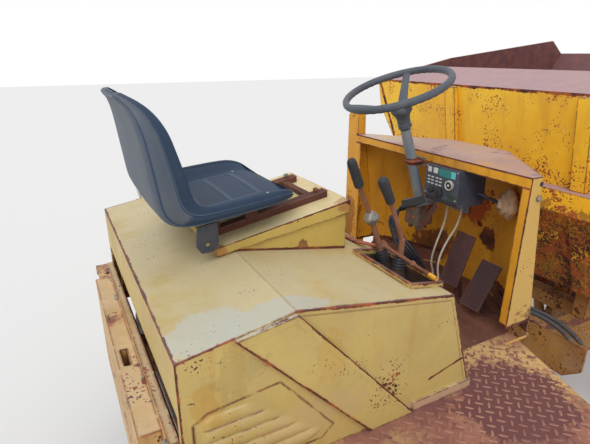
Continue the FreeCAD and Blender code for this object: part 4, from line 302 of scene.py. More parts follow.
class Finish:
    """A finish that dresses pieces; a finish builds its material the first time that it is used."""

    name: str
    made: dict[str, bpy.types.Material] = {}

    def material(self) -> bpy.types.Material:
        """The finish's material, built once."""
        if self.name not in Finish.made:
            material = bpy.data.materials.new(self.name)
            material.use_nodes = True
            material.node_tree.nodes.clear()
            bench = Bench(material.node_tree)
            places = bench.place("TexCoord").outputs["Object"]
            shader = self.build(bench, places)
            output = bench.place("OutputMaterial", {"Surface": shader.outputs[0]})
            material.node_tree.nodes.active = output
            Finish.made[self.name] = material
        return Finish.made[self.name]

    def build(self, bench: Bench, places: bpy.types.NodeSocket) -> bpy.types.Node:
        """Place the finish's nodes and return its shader."""
        raise NotImplementedError

    def dress(self, *pieces: bpy.types.Object) -> None:
        """Give the finish to CAD nodes or new pieces."""
        for piece in pieces:
            if not piece.data.materials:
                piece.data.materials.append(self.material())
            for slot in piece.material_slots:
                slot.material = self.material()


def effect(bench: Bench, group: bpy.types.NodeTree, feeds: dict[str, Feed]) -> bpy.types.Node:
    """Place a shared node group with its own values."""
    node = bench.tree.nodes.new("ShaderNodeGroup")
    node.node_tree = group
    for key, value in feeds.items():
        if isinstance(value, bpy.types.NodeSocket):
            bench.tree.links.new(value, node.inputs[key])
        else:
            node.inputs[key].default_value = value
    return node


def cloudy(bench: Bench, places: Feed, scale: float, low: float, high: float) -> bpy.types.NodeSocket:
    """The mask of the shared patches group."""
    return effect(bench, EFFECTS.patches, {"Vector": places, "Scale": scale, "Low": low, "High": high}).outputs[0]


@dataclass(frozen=True)
class Spot:
    """A place where the paint has another colour or has rusted, an ellipsoid with a ragged edge.

    A mirrored one lies on both sides of the machine; one that is only on top leaves upright faces alone.
    """

    middle: tuple[float, float, float]
    reach: tuple[float, float, float]
    colour: Colour = paint(0, 0, 0)
    ragged: float = 0.5
    rust: bool = False
    mirrored: bool = False
    on_top: bool = False
    share: float = 1.0

    def shape(self, bench: Bench, places: Feed, ragged: Feed) -> bpy.types.NodeSocket:
        """The mask of the ellipsoid."""
        feeds = {"Vector": places, "Middle": self.middle, "Reach": self.reach, "Ragged": ragged}
        return effect(bench, EFFECTS.spot, feeds).outputs[0]


@dataclass(frozen=True)
class Seam(Spot):
    """A strip along the line from the middle to the end, as wide as the reach's first number."""

    end: tuple[float, float, float] = (0.0, 0.0, 0.0)

    def shape(self, bench: Bench, places: Feed, ragged: Feed) -> bpy.types.NodeSocket:
        """The mask of the strip."""
        line = tuple(far - near for near, far in zip(self.middle, self.end))
        feeds = {"Vector": places, "Start": self.middle, "Line": line, "Square": sum(part * part for part in line),
                 "Reach": self.reach[0], "Ragged": ragged}
        return effect(bench, EFFECTS.seam, feeds).outputs[0]


def rusted(start: Sequence[float], end: Sequence[float], width: float, ragged: float, mirrored: bool = False,
           share: float = 1.0) -> Seam:
    """A rusted edge along a line."""
    return Seam(start, (width, 0, 0), ragged=ragged, rust=True, mirrored=mirrored, share=share, end=end)


@dataclass
class Wear:
    """Places the spots and seams of one material; they share their noises and the folded places."""

    bench: Bench
    places: Feed
    up: Feed = 1.0

    def __post_init__(self) -> None:
        """Fold the left side over the right and make the two noises."""
        parts = self.bench.place("SeparateXYZ", {0: self.places})
        right = self.bench.times(self.bench.sum("ABSOLUTE", parts.outputs[1]), -1.0)
        self.folded = self.bench.place("CombineXYZ", {0: parts.outputs[0], 1: right, 2: parts.outputs[2]}).outputs[0]
        broad = self.bench.noise(self.places, 12.0, 4.0, 0.6)
        fine = self.bench.noise(self.places, 55.0, 5.0, 0.65)
        both = self.bench.sum("ADD", self.bench.times(broad, 0.5), self.bench.times(fine, 0.5))
        self.rough = self.bench.sum("SUBTRACT", both, 0.5)

    def mask(self, spot: Spot) -> bpy.types.NodeSocket:
        """1 on the spot, 0 away from it, its edge broken up by the shared noises."""
        ragged = self.bench.times(self.rough, spot.ragged * 5.0)
        mask = spot.shape(self.bench, self.folded if spot.mirrored else self.places, ragged)
        mask = self.bench.times(mask, spot.share)
        return self.bench.times(mask, self.up) if spot.on_top else mask


@dataclass(frozen=True)
class WornPaint(Finish):
    """Sun-bleached paint with chips, pits, rusted edges and stains that run down, and a painted reflection that pales
    rust on upward faces.
    """

    name: str
    fresh: Colour
    shade: Colour
    bleached: Colour
    bleach: float = 0.8
    pit_share: float = 0.30
    pit_scale: float = 70.0
    patch_low: float = 0.66
    edge_width: float = 0.006
    edge_level: float = 0.5
    run_colour: Colour = paint(150, 84, 34)
    run_share: float = 0.35
    rusty_up: float = 0.0
    rusty_inside: float = 0.0
    middle: tuple[float, float, float] = (0.0, 0.0, 0.0)
    orange: float = 0.3
    spots: tuple[Spot, ...] = ()
    dust: float = 0.15
    gloss: float = 0.5
    # from this height down to that one the pits grow by this share
    lower: tuple[float, float, float] = (0.0, -1.0, 0.0)
    pit_cluster: float = 5.0
    # share by which rust on upward faces is paled: painted reflection
    rust_top_reflection: float = 0.20
    inside_tone: Colour = paint(112, 74, 76)
    inside_share: float = 0.0

    def build(self, bench: Bench, places: bpy.types.NodeSocket) -> bpy.types.Node:
        """Paint first, then stains and dust, then rust over all of them, paled towards pinkish grey-white on upward
        faces as a painted reflection.
        """
        facing = effect(bench, EFFECTS.facing, {"Middle": self.middle, "Low": 0.35, "High": 0.85})
        broad = cloudy(bench, places, 3.2, 0.38, 0.68)
        colour = bench.mix(broad, self.fresh, self.shade)
        mottle = bench.noise(places, 34.0, 5.0, 0.6)
        colour = bench.mix(bench.times(bench.step(mottle, 0.45, 0.75), 0.35), colour, self.shade)
        fading = cloudy(bench, places, 5.0, 0.25, 0.55)
        faded = bench.times(facing.outputs["Up"], fading)
        colour = bench.mix(bench.times(faded, self.bleach), colour, self.bleached)
        wear = Wear(bench, places, facing.outputs["Up"])
        for spot in self.spots:
            if not spot.rust:
                colour = bench.mix(wear.mask(spot), colour, spot.colour)
        runs = effect(bench, EFFECTS.runs, {"Vector": places, "Low": 0.50, "High": 0.74})
        sides = bench.sum("SUBTRACT", 1.0, facing.outputs["Up"])
        stain = bench.times(bench.times(runs.outputs[0], sides), self.run_share)
        colour = bench.mix(stain, colour, self.run_colour)
        dusty = bench.step(bench.noise(places, 9.0, 6.0, 0.7), 0.42, 0.72)
        colour = bench.mix(bench.times(dusty, self.dust), colour, paint(182, 160, 132))
        height_z = bench.place("SeparateXYZ", {0: places}).outputs[2]
        deeper = bench.times(bench.step(height_z, self.lower[0], self.lower[1]), self.lower[2])
        pits = effect(bench, EFFECTS.pits, {"Vector": places, "Scale": self.pit_scale, "Cluster": self.pit_cluster,
                                            "Share": bench.sum("ADD", deeper, self.pit_share)})
        chips = cloudy(bench, places, 11.0, self.patch_low, self.patch_low + 0.025)
        edges = effect(bench, EFFECTS.edges, {"Vector": places, "Width": self.edge_width,
                                              "Level": self.edge_level})
        masks: list[Feed] = [pits.outputs[0], chips, edges.outputs[0]]
        for share, side in ((self.rusty_up, "Up"), (self.rusty_inside, "Inside")):
            if share > 0:
                level = 0.72 - 0.50 * share
                worn = cloudy(bench, places, 7.0, level, level + 0.06)
                masks.append(bench.times(worn, facing.outputs[side]))
        masks += [wear.mask(spot) for spot in self.spots if spot.rust]
        rusty = bench.highest(masks)
        rust = effect(bench, EFFECTS.rust, {"Vector": places, "Orange": self.orange})
        # rust that faces up is mixed towards pinkish grey-white: painted reflection of the sky
        pale = bench.times(facing.outputs["Up"], self.rust_top_reflection)
        corroded = bench.mix(pale, rust.outputs["Color"], paint(186, 158, 162))
        within = bench.times(facing.outputs["Inside"], self.inside_share)
        corroded = bench.mix(within, corroded, self.inside_tone)
        colour = bench.mix(rusty, colour, corroded)
        rough = bench.between(rusty, self.gloss, 0.88)
        rough = bench.sum("ADD", rough, bench.times(bench.sum("SUBTRACT", mottle, 0.5), 0.25))
        peel = bench.times(bench.noise(places, 420.0, 2.0, 0.5), 0.10)
        grain = bench.times(bench.times(rust.outputs["Grain"], rusty), 0.9)
        height = bench.sum("SUBTRACT", bench.sum("ADD", peel, grain), bench.times(rusty, 0.6))
        bump = bench.place("Bump", {"Strength": 0.55, "Distance": 0.0012, "Height": height})
        return bench.place("BsdfPrincipled", {"Base Color": colour, "Roughness": rough,
                                              "Normal": bump.outputs[0], "Specular IOR Level": 0.35})


@dataclass(frozen=True)
class RustPlate(Finish):
    """Bare rusty plate with flecks of the paint that it once had."""

    name: str
    deep: Colour
    warm: Colour
    fleck: Colour
    fleck_low: float = 0.56
    fleck_share: float = 0.8
    edge_wear_and_highlight: float = 0.2
    spots: tuple[Spot, ...] = ()
    rough: float = 0.78

    def build(self, bench: Bench, places: bpy.types.NodeSocket) -> bpy.types.Node:
        """Two rust tones in clouds, paint flecks over them, and paler edges: rubbed wear, and on the lozenges partly
        painted highlight.
        """
        broad = cloudy(bench, places, 5.0, 0.34, 0.66)
        colour = bench.mix(broad, self.deep, self.warm)
        fine = bench.noise(places, 130.0, 5.0, 0.7)
        colour = bench.mix(bench.times(bench.step(fine, 0.5, 0.7), 0.5), colour, self.deep)
        where = cloudy(bench, places, 3.0, 0.40, 0.62)
        flecks = cloudy(bench, places, 42.0, self.fleck_low, self.fleck_low + 0.10)
        share = bench.times(bench.times(flecks, where), self.fleck_share)
        colour = bench.mix(share, colour, self.fleck)
        wear = Wear(bench, places)
        for spot in self.spots:
            colour = bench.mix(wear.mask(spot), colour, spot.colour)
        edges = effect(bench, EFFECTS.edges, {"Vector": places, "Width": 0.004, "Scale": 60.0, "Level": 0.58})
        # edges drawn paler: rubbed wear, and on the lozenges partly painted highlight
        colour = bench.mix(bench.times(edges.outputs[0], self.edge_wear_and_highlight), colour, paint(196, 160, 132))
        height = bench.sum("ADD", bench.times(fine, 0.6), bench.times(share, 0.5))
        bump = bench.place("Bump", {"Strength": 0.6, "Distance": 0.0015, "Height": height})
        rough = bench.sum("ADD", self.rough, bench.times(bench.sum("SUBTRACT", fine, 0.5), 0.3))
        return bench.place("BsdfPrincipled", {"Base Color": colour, "Roughness": rough,
                                              "Normal": bump.outputs[0], "Specular IOR Level": 0.4})


@dataclass(frozen=True)
class Moulded(Finish):
    """Moulded plastic or rubber with a fine leather grain, dust in its hollows and a dusty outer side."""

    name: str
    colour: Colour
    dusty: Colour
    grain_scale: float = 420.0
    grain_depth: float = 0.0004
    dust: float = 0.3
    outside: float = 0.0
    middle: tuple[float, float, float] = (0.0, 0.0, 0.0)
    rough: float = 0.5
    spots: tuple[Spot, ...] = ()
    scuffs: float = 0.2
    welt: float = 0.0
    # colour of the painted highlight on welt crests and rim beads
    welt_highlight_colour: Colour = paint(120, 136, 150)
    casing: Colour = paint(98, 98, 100)

    def build(self, bench: Bench, places: bpy.types.NodeSocket) -> bpy.types.Node:
        """Base colour, outer side, dust clouds, the casing and a painted highlight on the welt crests, scuffs and
        grain.
        """
        facing = effect(bench, EFFECTS.facing, {"Middle": self.middle, "Low": 0.2, "High": 0.9})
        clouds = bench.noise(places, 7.0, 6.0, 0.65)
        fine = bench.noise(places, 60.0, 5.0, 0.7)
        both = bench.sum("ADD", bench.times(clouds, 0.65), bench.times(fine, 0.35))
        share = bench.times(bench.step(both, 0.38, 0.68), self.dust)
        outer = bench.times(bench.sum("SUBTRACT", 1.0, facing.outputs["Inside"]), self.outside)
        share = bench.sum("MAXIMUM", share, outer)
        colour = bench.mix(share, self.colour, self.dusty)
        wear = Wear(bench, places)
        for spot in self.spots:
            colour = bench.mix(wear.mask(spot), colour, spot.colour)
        if self.welt > 0:
            raised = bench.place("Attribute", attribute_name="welt").outputs["Fac"]
            outer_side = bench.step(raised, -0.25, -0.75)
            dusted = bench.mix(bench.times(bench.step(clouds, 0.3, 0.7), 0.5), self.casing, self.dusty)
            colour = bench.mix(outer_side, colour, dusted)
            # paler blue-grey on the crests of the welts and rim beads: painted highlight
            welt_highlight = bench.times(bench.step(raised, 0.15, 0.85), self.welt)
            colour = bench.mix(welt_highlight, colour, self.welt_highlight_colour)
        scratched = cloudy(bench, places, 48.0, 0.66, 0.70)
        edges = effect(bench, EFFECTS.edges, {"Vector": places, "Width": 0.003, "Scale": 40.0, "Level": 0.5})
        rubbed = bench.times(bench.sum("MAXIMUM", scratched, edges.outputs[0]), self.scuffs)
        colour = bench.mix(rubbed, colour, paint(168, 166, 160))
        skin = bench.place("TexVoronoi", {"Vector": places, "Scale": self.grain_scale}, feature="SMOOTH_F1")
        bump = bench.place("Bump", {"Strength": 0.5, "Distance": self.grain_depth,
                                    "Height": skin.outputs["Distance"]})
        rough = bench.sum("ADD", self.rough, bench.times(share, 0.3))
        return bench.place("BsdfPrincipled", {"Base Color": colour, "Roughness": rough,
                                              "Normal": bump.outputs[0], "Specular IOR Level": 0.45})


@dataclass(frozen=True)
class BareMetal(Finish):
    """Steel or castings: brushed or rough, with rust that starts in patches."""

    name: str
    colour: Colour
    metal: float = 0.8
    rough: float = 0.45
    rust_low: float = 0.56
    grain: float = 0.0006
    dust: float = 0.2

    def build(self, bench: Bench, places: bpy.types.NodeSocket) -> bpy.types.Node:
        """Metal, grime and rust."""
        clouds = bench.noise(places, 24.0, 6.0, 0.65)
        colour = bench.mix(bench.times(bench.step(clouds, 0.35, 0.7), 0.6), self.colour,
                           tuple(part * 0.45 for part in self.colour[:3]) + (1.0,))
        fine = bench.noise(places, 190.0, 4.0, 0.7)
        colour = bench.mix(bench.times(bench.step(fine, 0.5, 0.8), self.dust), colour, paint(176, 156, 128))
        worn = cloudy(bench, places, 20.0, self.rust_low, self.rust_low + 0.06)
        rust = effect(bench, EFFECTS.rust, {"Vector": places, "Scale": 40.0, "Orange": 0.4})
        colour = bench.mix(worn, colour, rust.outputs["Color"])
        metal = bench.between(worn, self.metal, 0.0)
        rough = bench.between(worn, self.rough, 0.88)
        bump = bench.place("Bump", {"Strength": 0.5, "Distance": self.grain, "Height": fine})
        return bench.place("BsdfPrincipled", {"Base Color": colour, "Roughness": rough, "Metallic": metal,
                                              "Normal": bump.outputs[0]})


class Finishes:
    """The finishes of this machine, by what they are on."""

    cover = WornPaint(
        name="cover_bleached_yellow", fresh=paint(202, 176, 106), shade=paint(186, 161, 98),
        bleached=paint(202, 188, 150), bleach=0.92, pit_share=0.22, pit_scale=95.0, patch_low=0.71,
        edge_width=0.009, edge_level=0.54, run_colour=paint(176, 128, 52), run_share=0.40, dust=0.18,
        spots=(
            Spot((-1.475, -0.485, 1.19), (0.10, 0.085, 0.1), paint(192, 192, 180), 0.34, on_top=True, share=0.8),
            Spot((-1.33, -0.520, 1.20), (0.15, 0.050, 0.1), paint(190, 190, 178), 0.34, on_top=True, share=0.8),
            Spot((-1.49, -0.555, 1.05), (0.035, 0.03, 0.06), paint(186, 140, 58), 0.7, mirrored=True, share=0.45),
            Spot((-1.43, -0.555, 1.09), (0.06, 0.03, 0.07), paint(158, 142, 92), 0.7, mirrored=True, share=0.35),
            Spot((-1.18, -0.565, 1.07), (0.05, 0.03, 0.07), paint(192, 148, 66), 0.7, mirrored=True, share=0.35),
            Spot((-1.24, -0.565, 0.90), (0.16, 0.03, 0.07), paint(196, 168, 120), 0.3, mirrored=True, share=0.5),
            Seam((-1.425, -0.560, 1.178), (0.011, 0, 0), paint(178, 112, 44), 0.25, mirrored=True,
                 end=(-1.065, -0.560, 0.792)),
            Seam((-0.912, -0.556, 0.803), (0.017, 0, 0), paint(198, 164, 132), 0.15, mirrored=True,
                 end=(-0.683, -0.556, 0.803)),
            rusted((-1.425, -0.561, 1.186), (-1.060, -0.561, 0.792), 0.0048, 0.62, mirrored=True),
            rusted((-1.277, -0.561, 1.209), (-0.910, -0.561, 0.792), 0.0048, 0.66, mirrored=True),
            rusted((-1.425, -0.555, 1.192), (-1.277, -0.555, 1.214), 0.0060, 0.70, mirrored=True),
            rusted((-1.550, -0.548, 1.168), (-1.425, -0.548, 1.190), 0.0060, 0.66, mirrored=True),
            rusted((-1.277, -0.548, 1.213), (-0.792, -0.548, 1.127), 0.0068, 0.62, mirrored=True),
            rusted((-1.550, -0.548, 1.168), (-1.550, 0.548, 1.168), 0.0060, 0.66),
            rusted((-1.550, -0.548, 1.168), (-1.550, -0.548, 0.800), 0.0050, 0.80, mirrored=True),
            Seam((-1.277, -0.548, 1.214), (0.0030, 0, 0), paint(176, 150, 112), 0.7, share=0.7,
                 end=(-1.277, 0.548, 1.214)),
            rusted((-0.792, -0.548, 1.127), (-0.792, 0.548, 1.127), 0.0050, 0.75),
            rusted((-0.792, -0.548, 1.127), (-0.683, -0.548, 0.792), 0.0052, 0.70, mirrored=True),
            rusted((-0.85, -0.549, 0.872), (-0.71, -0.549, 0.905), 0.004, 0.98, mirrored=True),
            Seam((-1.262, -0.549, 1.196), (0.0030, 0, 0), paint(142, 104, 62), 0.45, mirrored=True, share=0.7,
                 end=(-0.800, -0.549, 1.112)),
            Seam((-0.800, -0.549, 1.112), (0.0026, 0, 0), paint(142, 104, 62), 0.55, mirrored=True, share=0.6,
                 end=(-0.700, -0.549, 0.800)),
            rusted((-0.896, -0.489, 1.158), (-0.896, -0.225, 1.158), 0.0068, 0.62),
            rusted((-0.786, -0.489, 1.139), (-0.786, -0.225, 1.139), 0.0068, 0.62),
            rusted((-0.896, -0.489, 1.158), (-0.786, -0.489, 1.139), 0.0068, 0.62),
            rusted((-0.896, -0.225, 1.158), (-0.786, -0.225, 1.139), 0.0068, 0.62)))
    seat_box = WornPaint(
        name="seat_box_yellow", fresh=paint(202, 174, 92), shade=paint(184, 157, 80),
        bleached=paint(226, 208, 162), bleach=0.92, pit_share=0.20, patch_low=0.72, edge_width=0.006,
        edge_level=0.50, run_share=0.25, dust=0.15,
        spots=(
            Spot((-0.885, -0.180, 1.30), (0.060, 0.035, 0.035), paint(160, 100, 60), 0.3, share=0.6),
            Spot((-0.885, -0.190, 1.31), (0.022, 0.022, 0.022), ragged=0.4, rust=True),
            Spot((-1.06, -0.190, 1.19), (0.020, 0.02, 0.028), ragged=0.7, rust=True, share=0.8),
            Spot((-1.335, -0.185, 1.21), (0.030, 0.03, 0.05), paint(160, 100, 60), 0.35, share=0.6),
            rusted((-1.339, -0.189, 1.196), (-0.882, -0.189, 1.272), 0.0040, 0.60),
            rusted((-1.339, -0.189, 1.236), (-0.882, -0.189, 1.313), 0.0036, 0.75),
            rusted((-0.882, -0.189, 1.313), (-0.882, 0.213, 1.313), 0.0050, 0.70),
            rusted((-1.277, -0.181, 1.214), (-0.882, -0.181, 1.147), 0.0062, 0.28)))
    dash = WornPaint(
        name="dash_orange_yellow", fresh=paint(232, 166, 40), shade=paint(212, 148, 42),
        bleached=paint(176, 144, 142), bleach=0.97, pit_share=0.24, pit_scale=80.0, patch_low=0.69,
        edge_width=0.007, edge_level=0.55, run_colour=paint(150, 78, 26), run_share=0.45, rusty_up=0.20,
        middle=(-0.36, 0.0, 1.12), orange=0.1, dust=0.10, rust_top_reflection=0.60,
        spots=(
            Spot((-0.33, 0.33, 1.386), (0.12, 0.15, 0.03), paint(206, 198, 188), 0.30, on_top=True, share=0.6),
            Spot((-0.24, 0.05, 1.386), (0.16, 0.30, 0.03), paint(190, 166, 160), 0.45, on_top=True, share=0.6),
            Spot((-0.38, -0.462, 1.10), (0.16, 0.006, 0.42), paint(206, 166, 88), 0.1),
            Spot((-0.135, -0.02, 1.13), (0.05, 0.10, 0.07), paint(184, 84, 28), 0.5),
            Spot((-0.150, 0.15, 0.90), (0.10, 0.14, 0.07), ragged=0.6, rust=True, share=0.85),
            Spot((-0.135, -0.12, 1.01), (0.05, 0.05, 0.05), ragged=0.5, rust=True),
            Spot((-0.300, -0.36, 0.90), (0.10, 0.12, 0.05), ragged=0.7, rust=True, share=0.7),
            Spot((-0.400, 0.50, 0.95), (0.05, 0.05, 0.16), ragged=0.6, rust=True, share=0.6),
            rusted((-0.418, -0.460, 1.386), (-0.418, 0.460, 1.386), 0.0062, 0.18),
            rusted((-0.418, -0.460, 1.350), (-0.418, 0.460, 1.350), 0.0040, 0.75),
            rusted((-0.418, -0.460, 1.386), (-0.372, -0.460, 1.386), 0.0052, 0.60),
            rusted((-0.372, -0.460, 1.386), (-0.130, -0.140, 1.386), 0.0050, 0.60),
            rusted((-0.418, -0.460, 1.386), (-0.418, -0.460, 0.852), 0.0040, 0.70),
            rusted((-0.418, -0.460, 0.856), (-0.294, -0.460, 0.856), 0.0090, 0.70, mirrored=True),
            rusted((-0.294, -0.460, 0.862), (-0.135, -0.140, 0.862), 0.0140, 0.75, mirrored=True)))
    skip = WornPaint(
        name="skip_saturated_yellow", fresh=paint(252, 204, 54), shade=paint(240, 184, 48),
        bleached=paint(206, 160, 100), bleach=0.5, pit_share=0.29, pit_scale=88.0, patch_low=0.71,
        edge_width=0.010, edge_level=0.62, run_colour=paint(172, 104, 32), run_share=0.30, rusty_up=0.95,
        rusty_inside=0.98, middle=(0.75, 0.0, 1.35), orange=0.55, dust=0.08, gloss=0.45, rust_top_reflection=0.85,
        # lower: the pits grow downwards from 1.42 m to 0.98 m, darker towards the bottom
        lower=(1.42, 0.98, 0.24), pit_cluster=9.0, inside_share=0.8,
        spots=(
            # broad rust bands under the ledge and at the foot of the rear wall: partly rust, partly painted shade
            # under the ledge
            Spot((0.10, 0.0, 1.10), (0.25, 1.4, 0.10), ragged=0.95, rust=True, share=0.6),
            Spot((0.28, 0.0, 0.84), (0.40, 1.2, 0.15), ragged=0.95, rust=True, share=0.7),
            rusted((0.020, -0.880, 1.607), (0.020, 0.880, 1.607), 0.013, 0.70),
            rusted((0.020, -0.880, 1.607), (0.104, -0.740, 1.150), 0.012, 0.70, mirrored=True)))
    skip_ribs = replace(skip, name="skip_ribs_yellow", rusty_inside=0.0, inside_share=0.0)
    chassis = WornPaint(
        name="chassis_dull_yellow", fresh=paint(176, 128, 66), shade=paint(146, 98, 54),
        bleached=paint(186, 150, 104), bleach=0.5, pit_share=0.36, pit_scale=60.0, patch_low=0.60,
        edge_width=0.008, edge_level=0.60, run_share=0.55, rusty_up=0.35, dust=0.30)
    rear_plates = WornPaint(
        name="rear_plates_yellow", fresh=paint(204, 168, 108), shade=paint(184, 146, 88),
        bleached=paint(222, 196, 156), bleach=0.8, pit_share=0.31, pit_scale=80.0, patch_low=0.64,
        edge_width=0.012, edge_level=0.60, run_share=0.5, rusty_up=0.30, orange=0.6, dust=0.25)
    rims = WornPaint(
        name="rim_yellow", fresh=paint(200, 152, 52), shade=paint(170, 122, 50), bleached=paint(200, 170, 110),
        bleach=0.2, pit_share=0.40, patch_low=0.60, edge_level=0.60, run_share=0.2, dust=0.40)
    column = WornPaint(
        name="column_blue_grey", fresh=paint(134, 146, 156), shade=paint(112, 124, 136),
        bleached=paint(150, 158, 162), bleach=0.3, pit_share=0.18, pit_scale=160.0, patch_low=0.70,
        edge_width=0.003, edge_level=0.5, run_colour=paint(188, 196, 198), run_share=0.55, dust=0.2, orange=0.15,
        spots=(Spot((-0.448, 0.04, 1.345), (0.05, 0.06, 0.016), paint(0, 0, 0), 0.1, True),))
    deck = RustPlate(
        name="deck_tread_plate", deep=paint(120, 78, 76), warm=paint(166, 114, 96), fleck=paint(208, 172, 116),
        fleck_low=0.40, fleck_share=1.0, edge_wear_and_highlight=0.30,
        spots=(Spot((-0.62, -0.66, 0.79), (0.20, 0.16, 0.1), paint(112, 72, 72), 0.5),))
    # the lozenges are a lighter rust with strongly paled edges: partly rubbed wear, partly painted highlight on the
    # raised lozenges
    lozenges = RustPlate(
        name="deck_lozenges", deep=paint(134, 88, 84), warm=paint(172, 122, 106), fleck=paint(210, 172, 118),
        fleck_low=0.50, fleck_share=0.6, edge_wear_and_highlight=0.75)
    floor = RustPlate(
        name="floor_smooth_rust", deep=paint(94, 62, 54), warm=paint(130, 88, 72), fleck=paint(164, 136, 116),
        fleck_low=0.60, fleck_share=0.5, edge_wear_and_highlight=0.15, rough=0.6)
    pedals = RustPlate(
        name="pedal_plates", deep=paint(66, 44, 46), warm=paint(92, 60, 58), fleck=paint(128, 98, 90),
        fleck_low=0.64, fleck_share=0.4, edge_wear_and_highlight=0.25, rough=0.62)
    rails = RustPlate(
        name="seat_rails_rust", deep=paint(74, 44, 38), warm=paint(112, 66, 52), fleck=paint(150, 116, 96),
        fleck_low=0.62, fleck_share=0.4, edge_wear_and_highlight=0.30)
    levers = RustPlate(
        name="lever_rods_rust", deep=paint(96, 58, 42), warm=paint(138, 92, 68), fleck=paint(170, 150, 130),
        fleck_low=0.52, fleck_share=0.6, edge_wear_and_highlight=0.35)
    tray = RustPlate(
        name="lever_tray", deep=paint(48, 40, 38), warm=paint(78, 58, 48), fleck=paint(150, 128, 100),
        fleck_low=0.56, fleck_share=0.6)
    # the seat's welt crests and rim beads are drawn paler blue-grey: painted highlight
    seat = Moulded(
        name="seat_slate_blue", colour=paint(28, 50, 76), dusty=paint(58, 80, 104), dust=0.14,
        rough=0.58, scuffs=0.08, welt=0.34, welt_highlight_colour=paint(100, 120, 140), casing=paint(86, 90, 98))
    hand_wheel = Moulded(
        name="hand_wheel_grey", colour=paint(74, 80, 90), dusty=paint(118, 122, 128), dust=0.35,
        rough=0.5, scuffs=0.25)
    grip = Moulded(
        name="grip_black", colour=paint(34, 36, 42), dusty=paint(80, 80, 84), dust=0.25, rough=0.55)
    panel = Moulded(
        name="panel_dark_blue_grey", colour=paint(62, 68, 84), dusty=paint(122, 126, 136), dust=0.30,
        rough=0.5, scuffs=0.4)
    bracket = Moulded(
        name="bracket_dark", colour=paint(46, 52, 64), dusty=paint(104, 102, 102), dust=0.25, rough=0.5)
    tyre = Moulded(
        name="tyre_rubber_dusty", colour=paint(44, 44, 46), dusty=paint(116, 104, 90), dust=0.55,
        grain_scale=300.0, rough=0.8, scuffs=0.15)
    pale_plastic = Moulded(
        name="pale_plastic", colour=paint(206, 208, 204), dusty=paint(170, 160,
                                                                      146), dust=0.4, rough=0.55, scuffs=0.1)
    teal = Moulded(
        name="display_teal", colour=paint(34, 128, 128), dusty=paint(90, 150, 150), dust=0.25, rough=0.3, scuffs=0.3)
    green = Moulded(
        name="switch_green_black", colour=paint(40, 62, 56), dusty=paint(84, 96,
                                                                         88), dust=0.3, rough=0.45, scuffs=0.3)
    cyan = Moulded(
        name="display_cyan", colour=paint(92, 196, 206), dusty=paint(140, 200, 204), dust=0.2, rough=0.3, scuffs=0.2)
    pipe = Moulded(
        name="pipe_blue_black", colour=paint(36, 42, 56), dusty=paint(92, 100,
                                                                      116), dust=0.35, rough=0.45, scuffs=0.3)
    yellow_tip = WornPaint(
        name="rod_tip_yellow", fresh=paint(236, 170, 40), shade=paint(220, 150, 40), bleached=paint(230, 176, 70))
    orange_bar = WornPaint(
        name="bar_red_orange", fresh=paint(176, 82, 52), shade=paint(150, 70, 48), bleached=paint(186, 110, 84),
        bleach=0.7, pit_share=0.45, patch_low=0.60, rust_top_reflection=0.1)
    hose = Moulded(
        name="hose_grey", colour=paint(88, 92, 100), dusty=paint(140, 134, 124), dust=0.4, rough=0.6, scuffs=0.1)
    wire = Moulded(
        name="wire_pale", colour=paint(206, 202, 192), dusty=paint(170, 150, 128), dust=0.45, rough=0.6,
        scuffs=0.0)
    horn = BareMetal(
        name="horn_tan", colour=paint(212, 182, 150), metal=0.1, rough=0.7, rust_low=0.62, grain=0.0014, dust=0.5)
    steel = BareMetal(name="bolt_steel", colour=paint(150, 146, 140), metal=0.6, rough=0.5, rust_low=0.50)
    bright_ring = BareMetal(name="ring_bright", colour=paint(206, 206, 204), metal=0.3, rough=0.4, rust_low=0.75,
                            grain=0.0002, dust=0.1)
    cast = BareMetal(name="axle_cast", colour=paint(104, 92, 82), metal=0.2, rough=0.75, rust_low=0.50,
                     grain=0.0016, dust=0.45)
    bright = BareMetal(name="rod_bright", colour=paint(196, 198, 200), metal=1.0, rough=0.22, rust_low=0.68,
                       grain=0.0001, dust=0.1)


# Mesh work


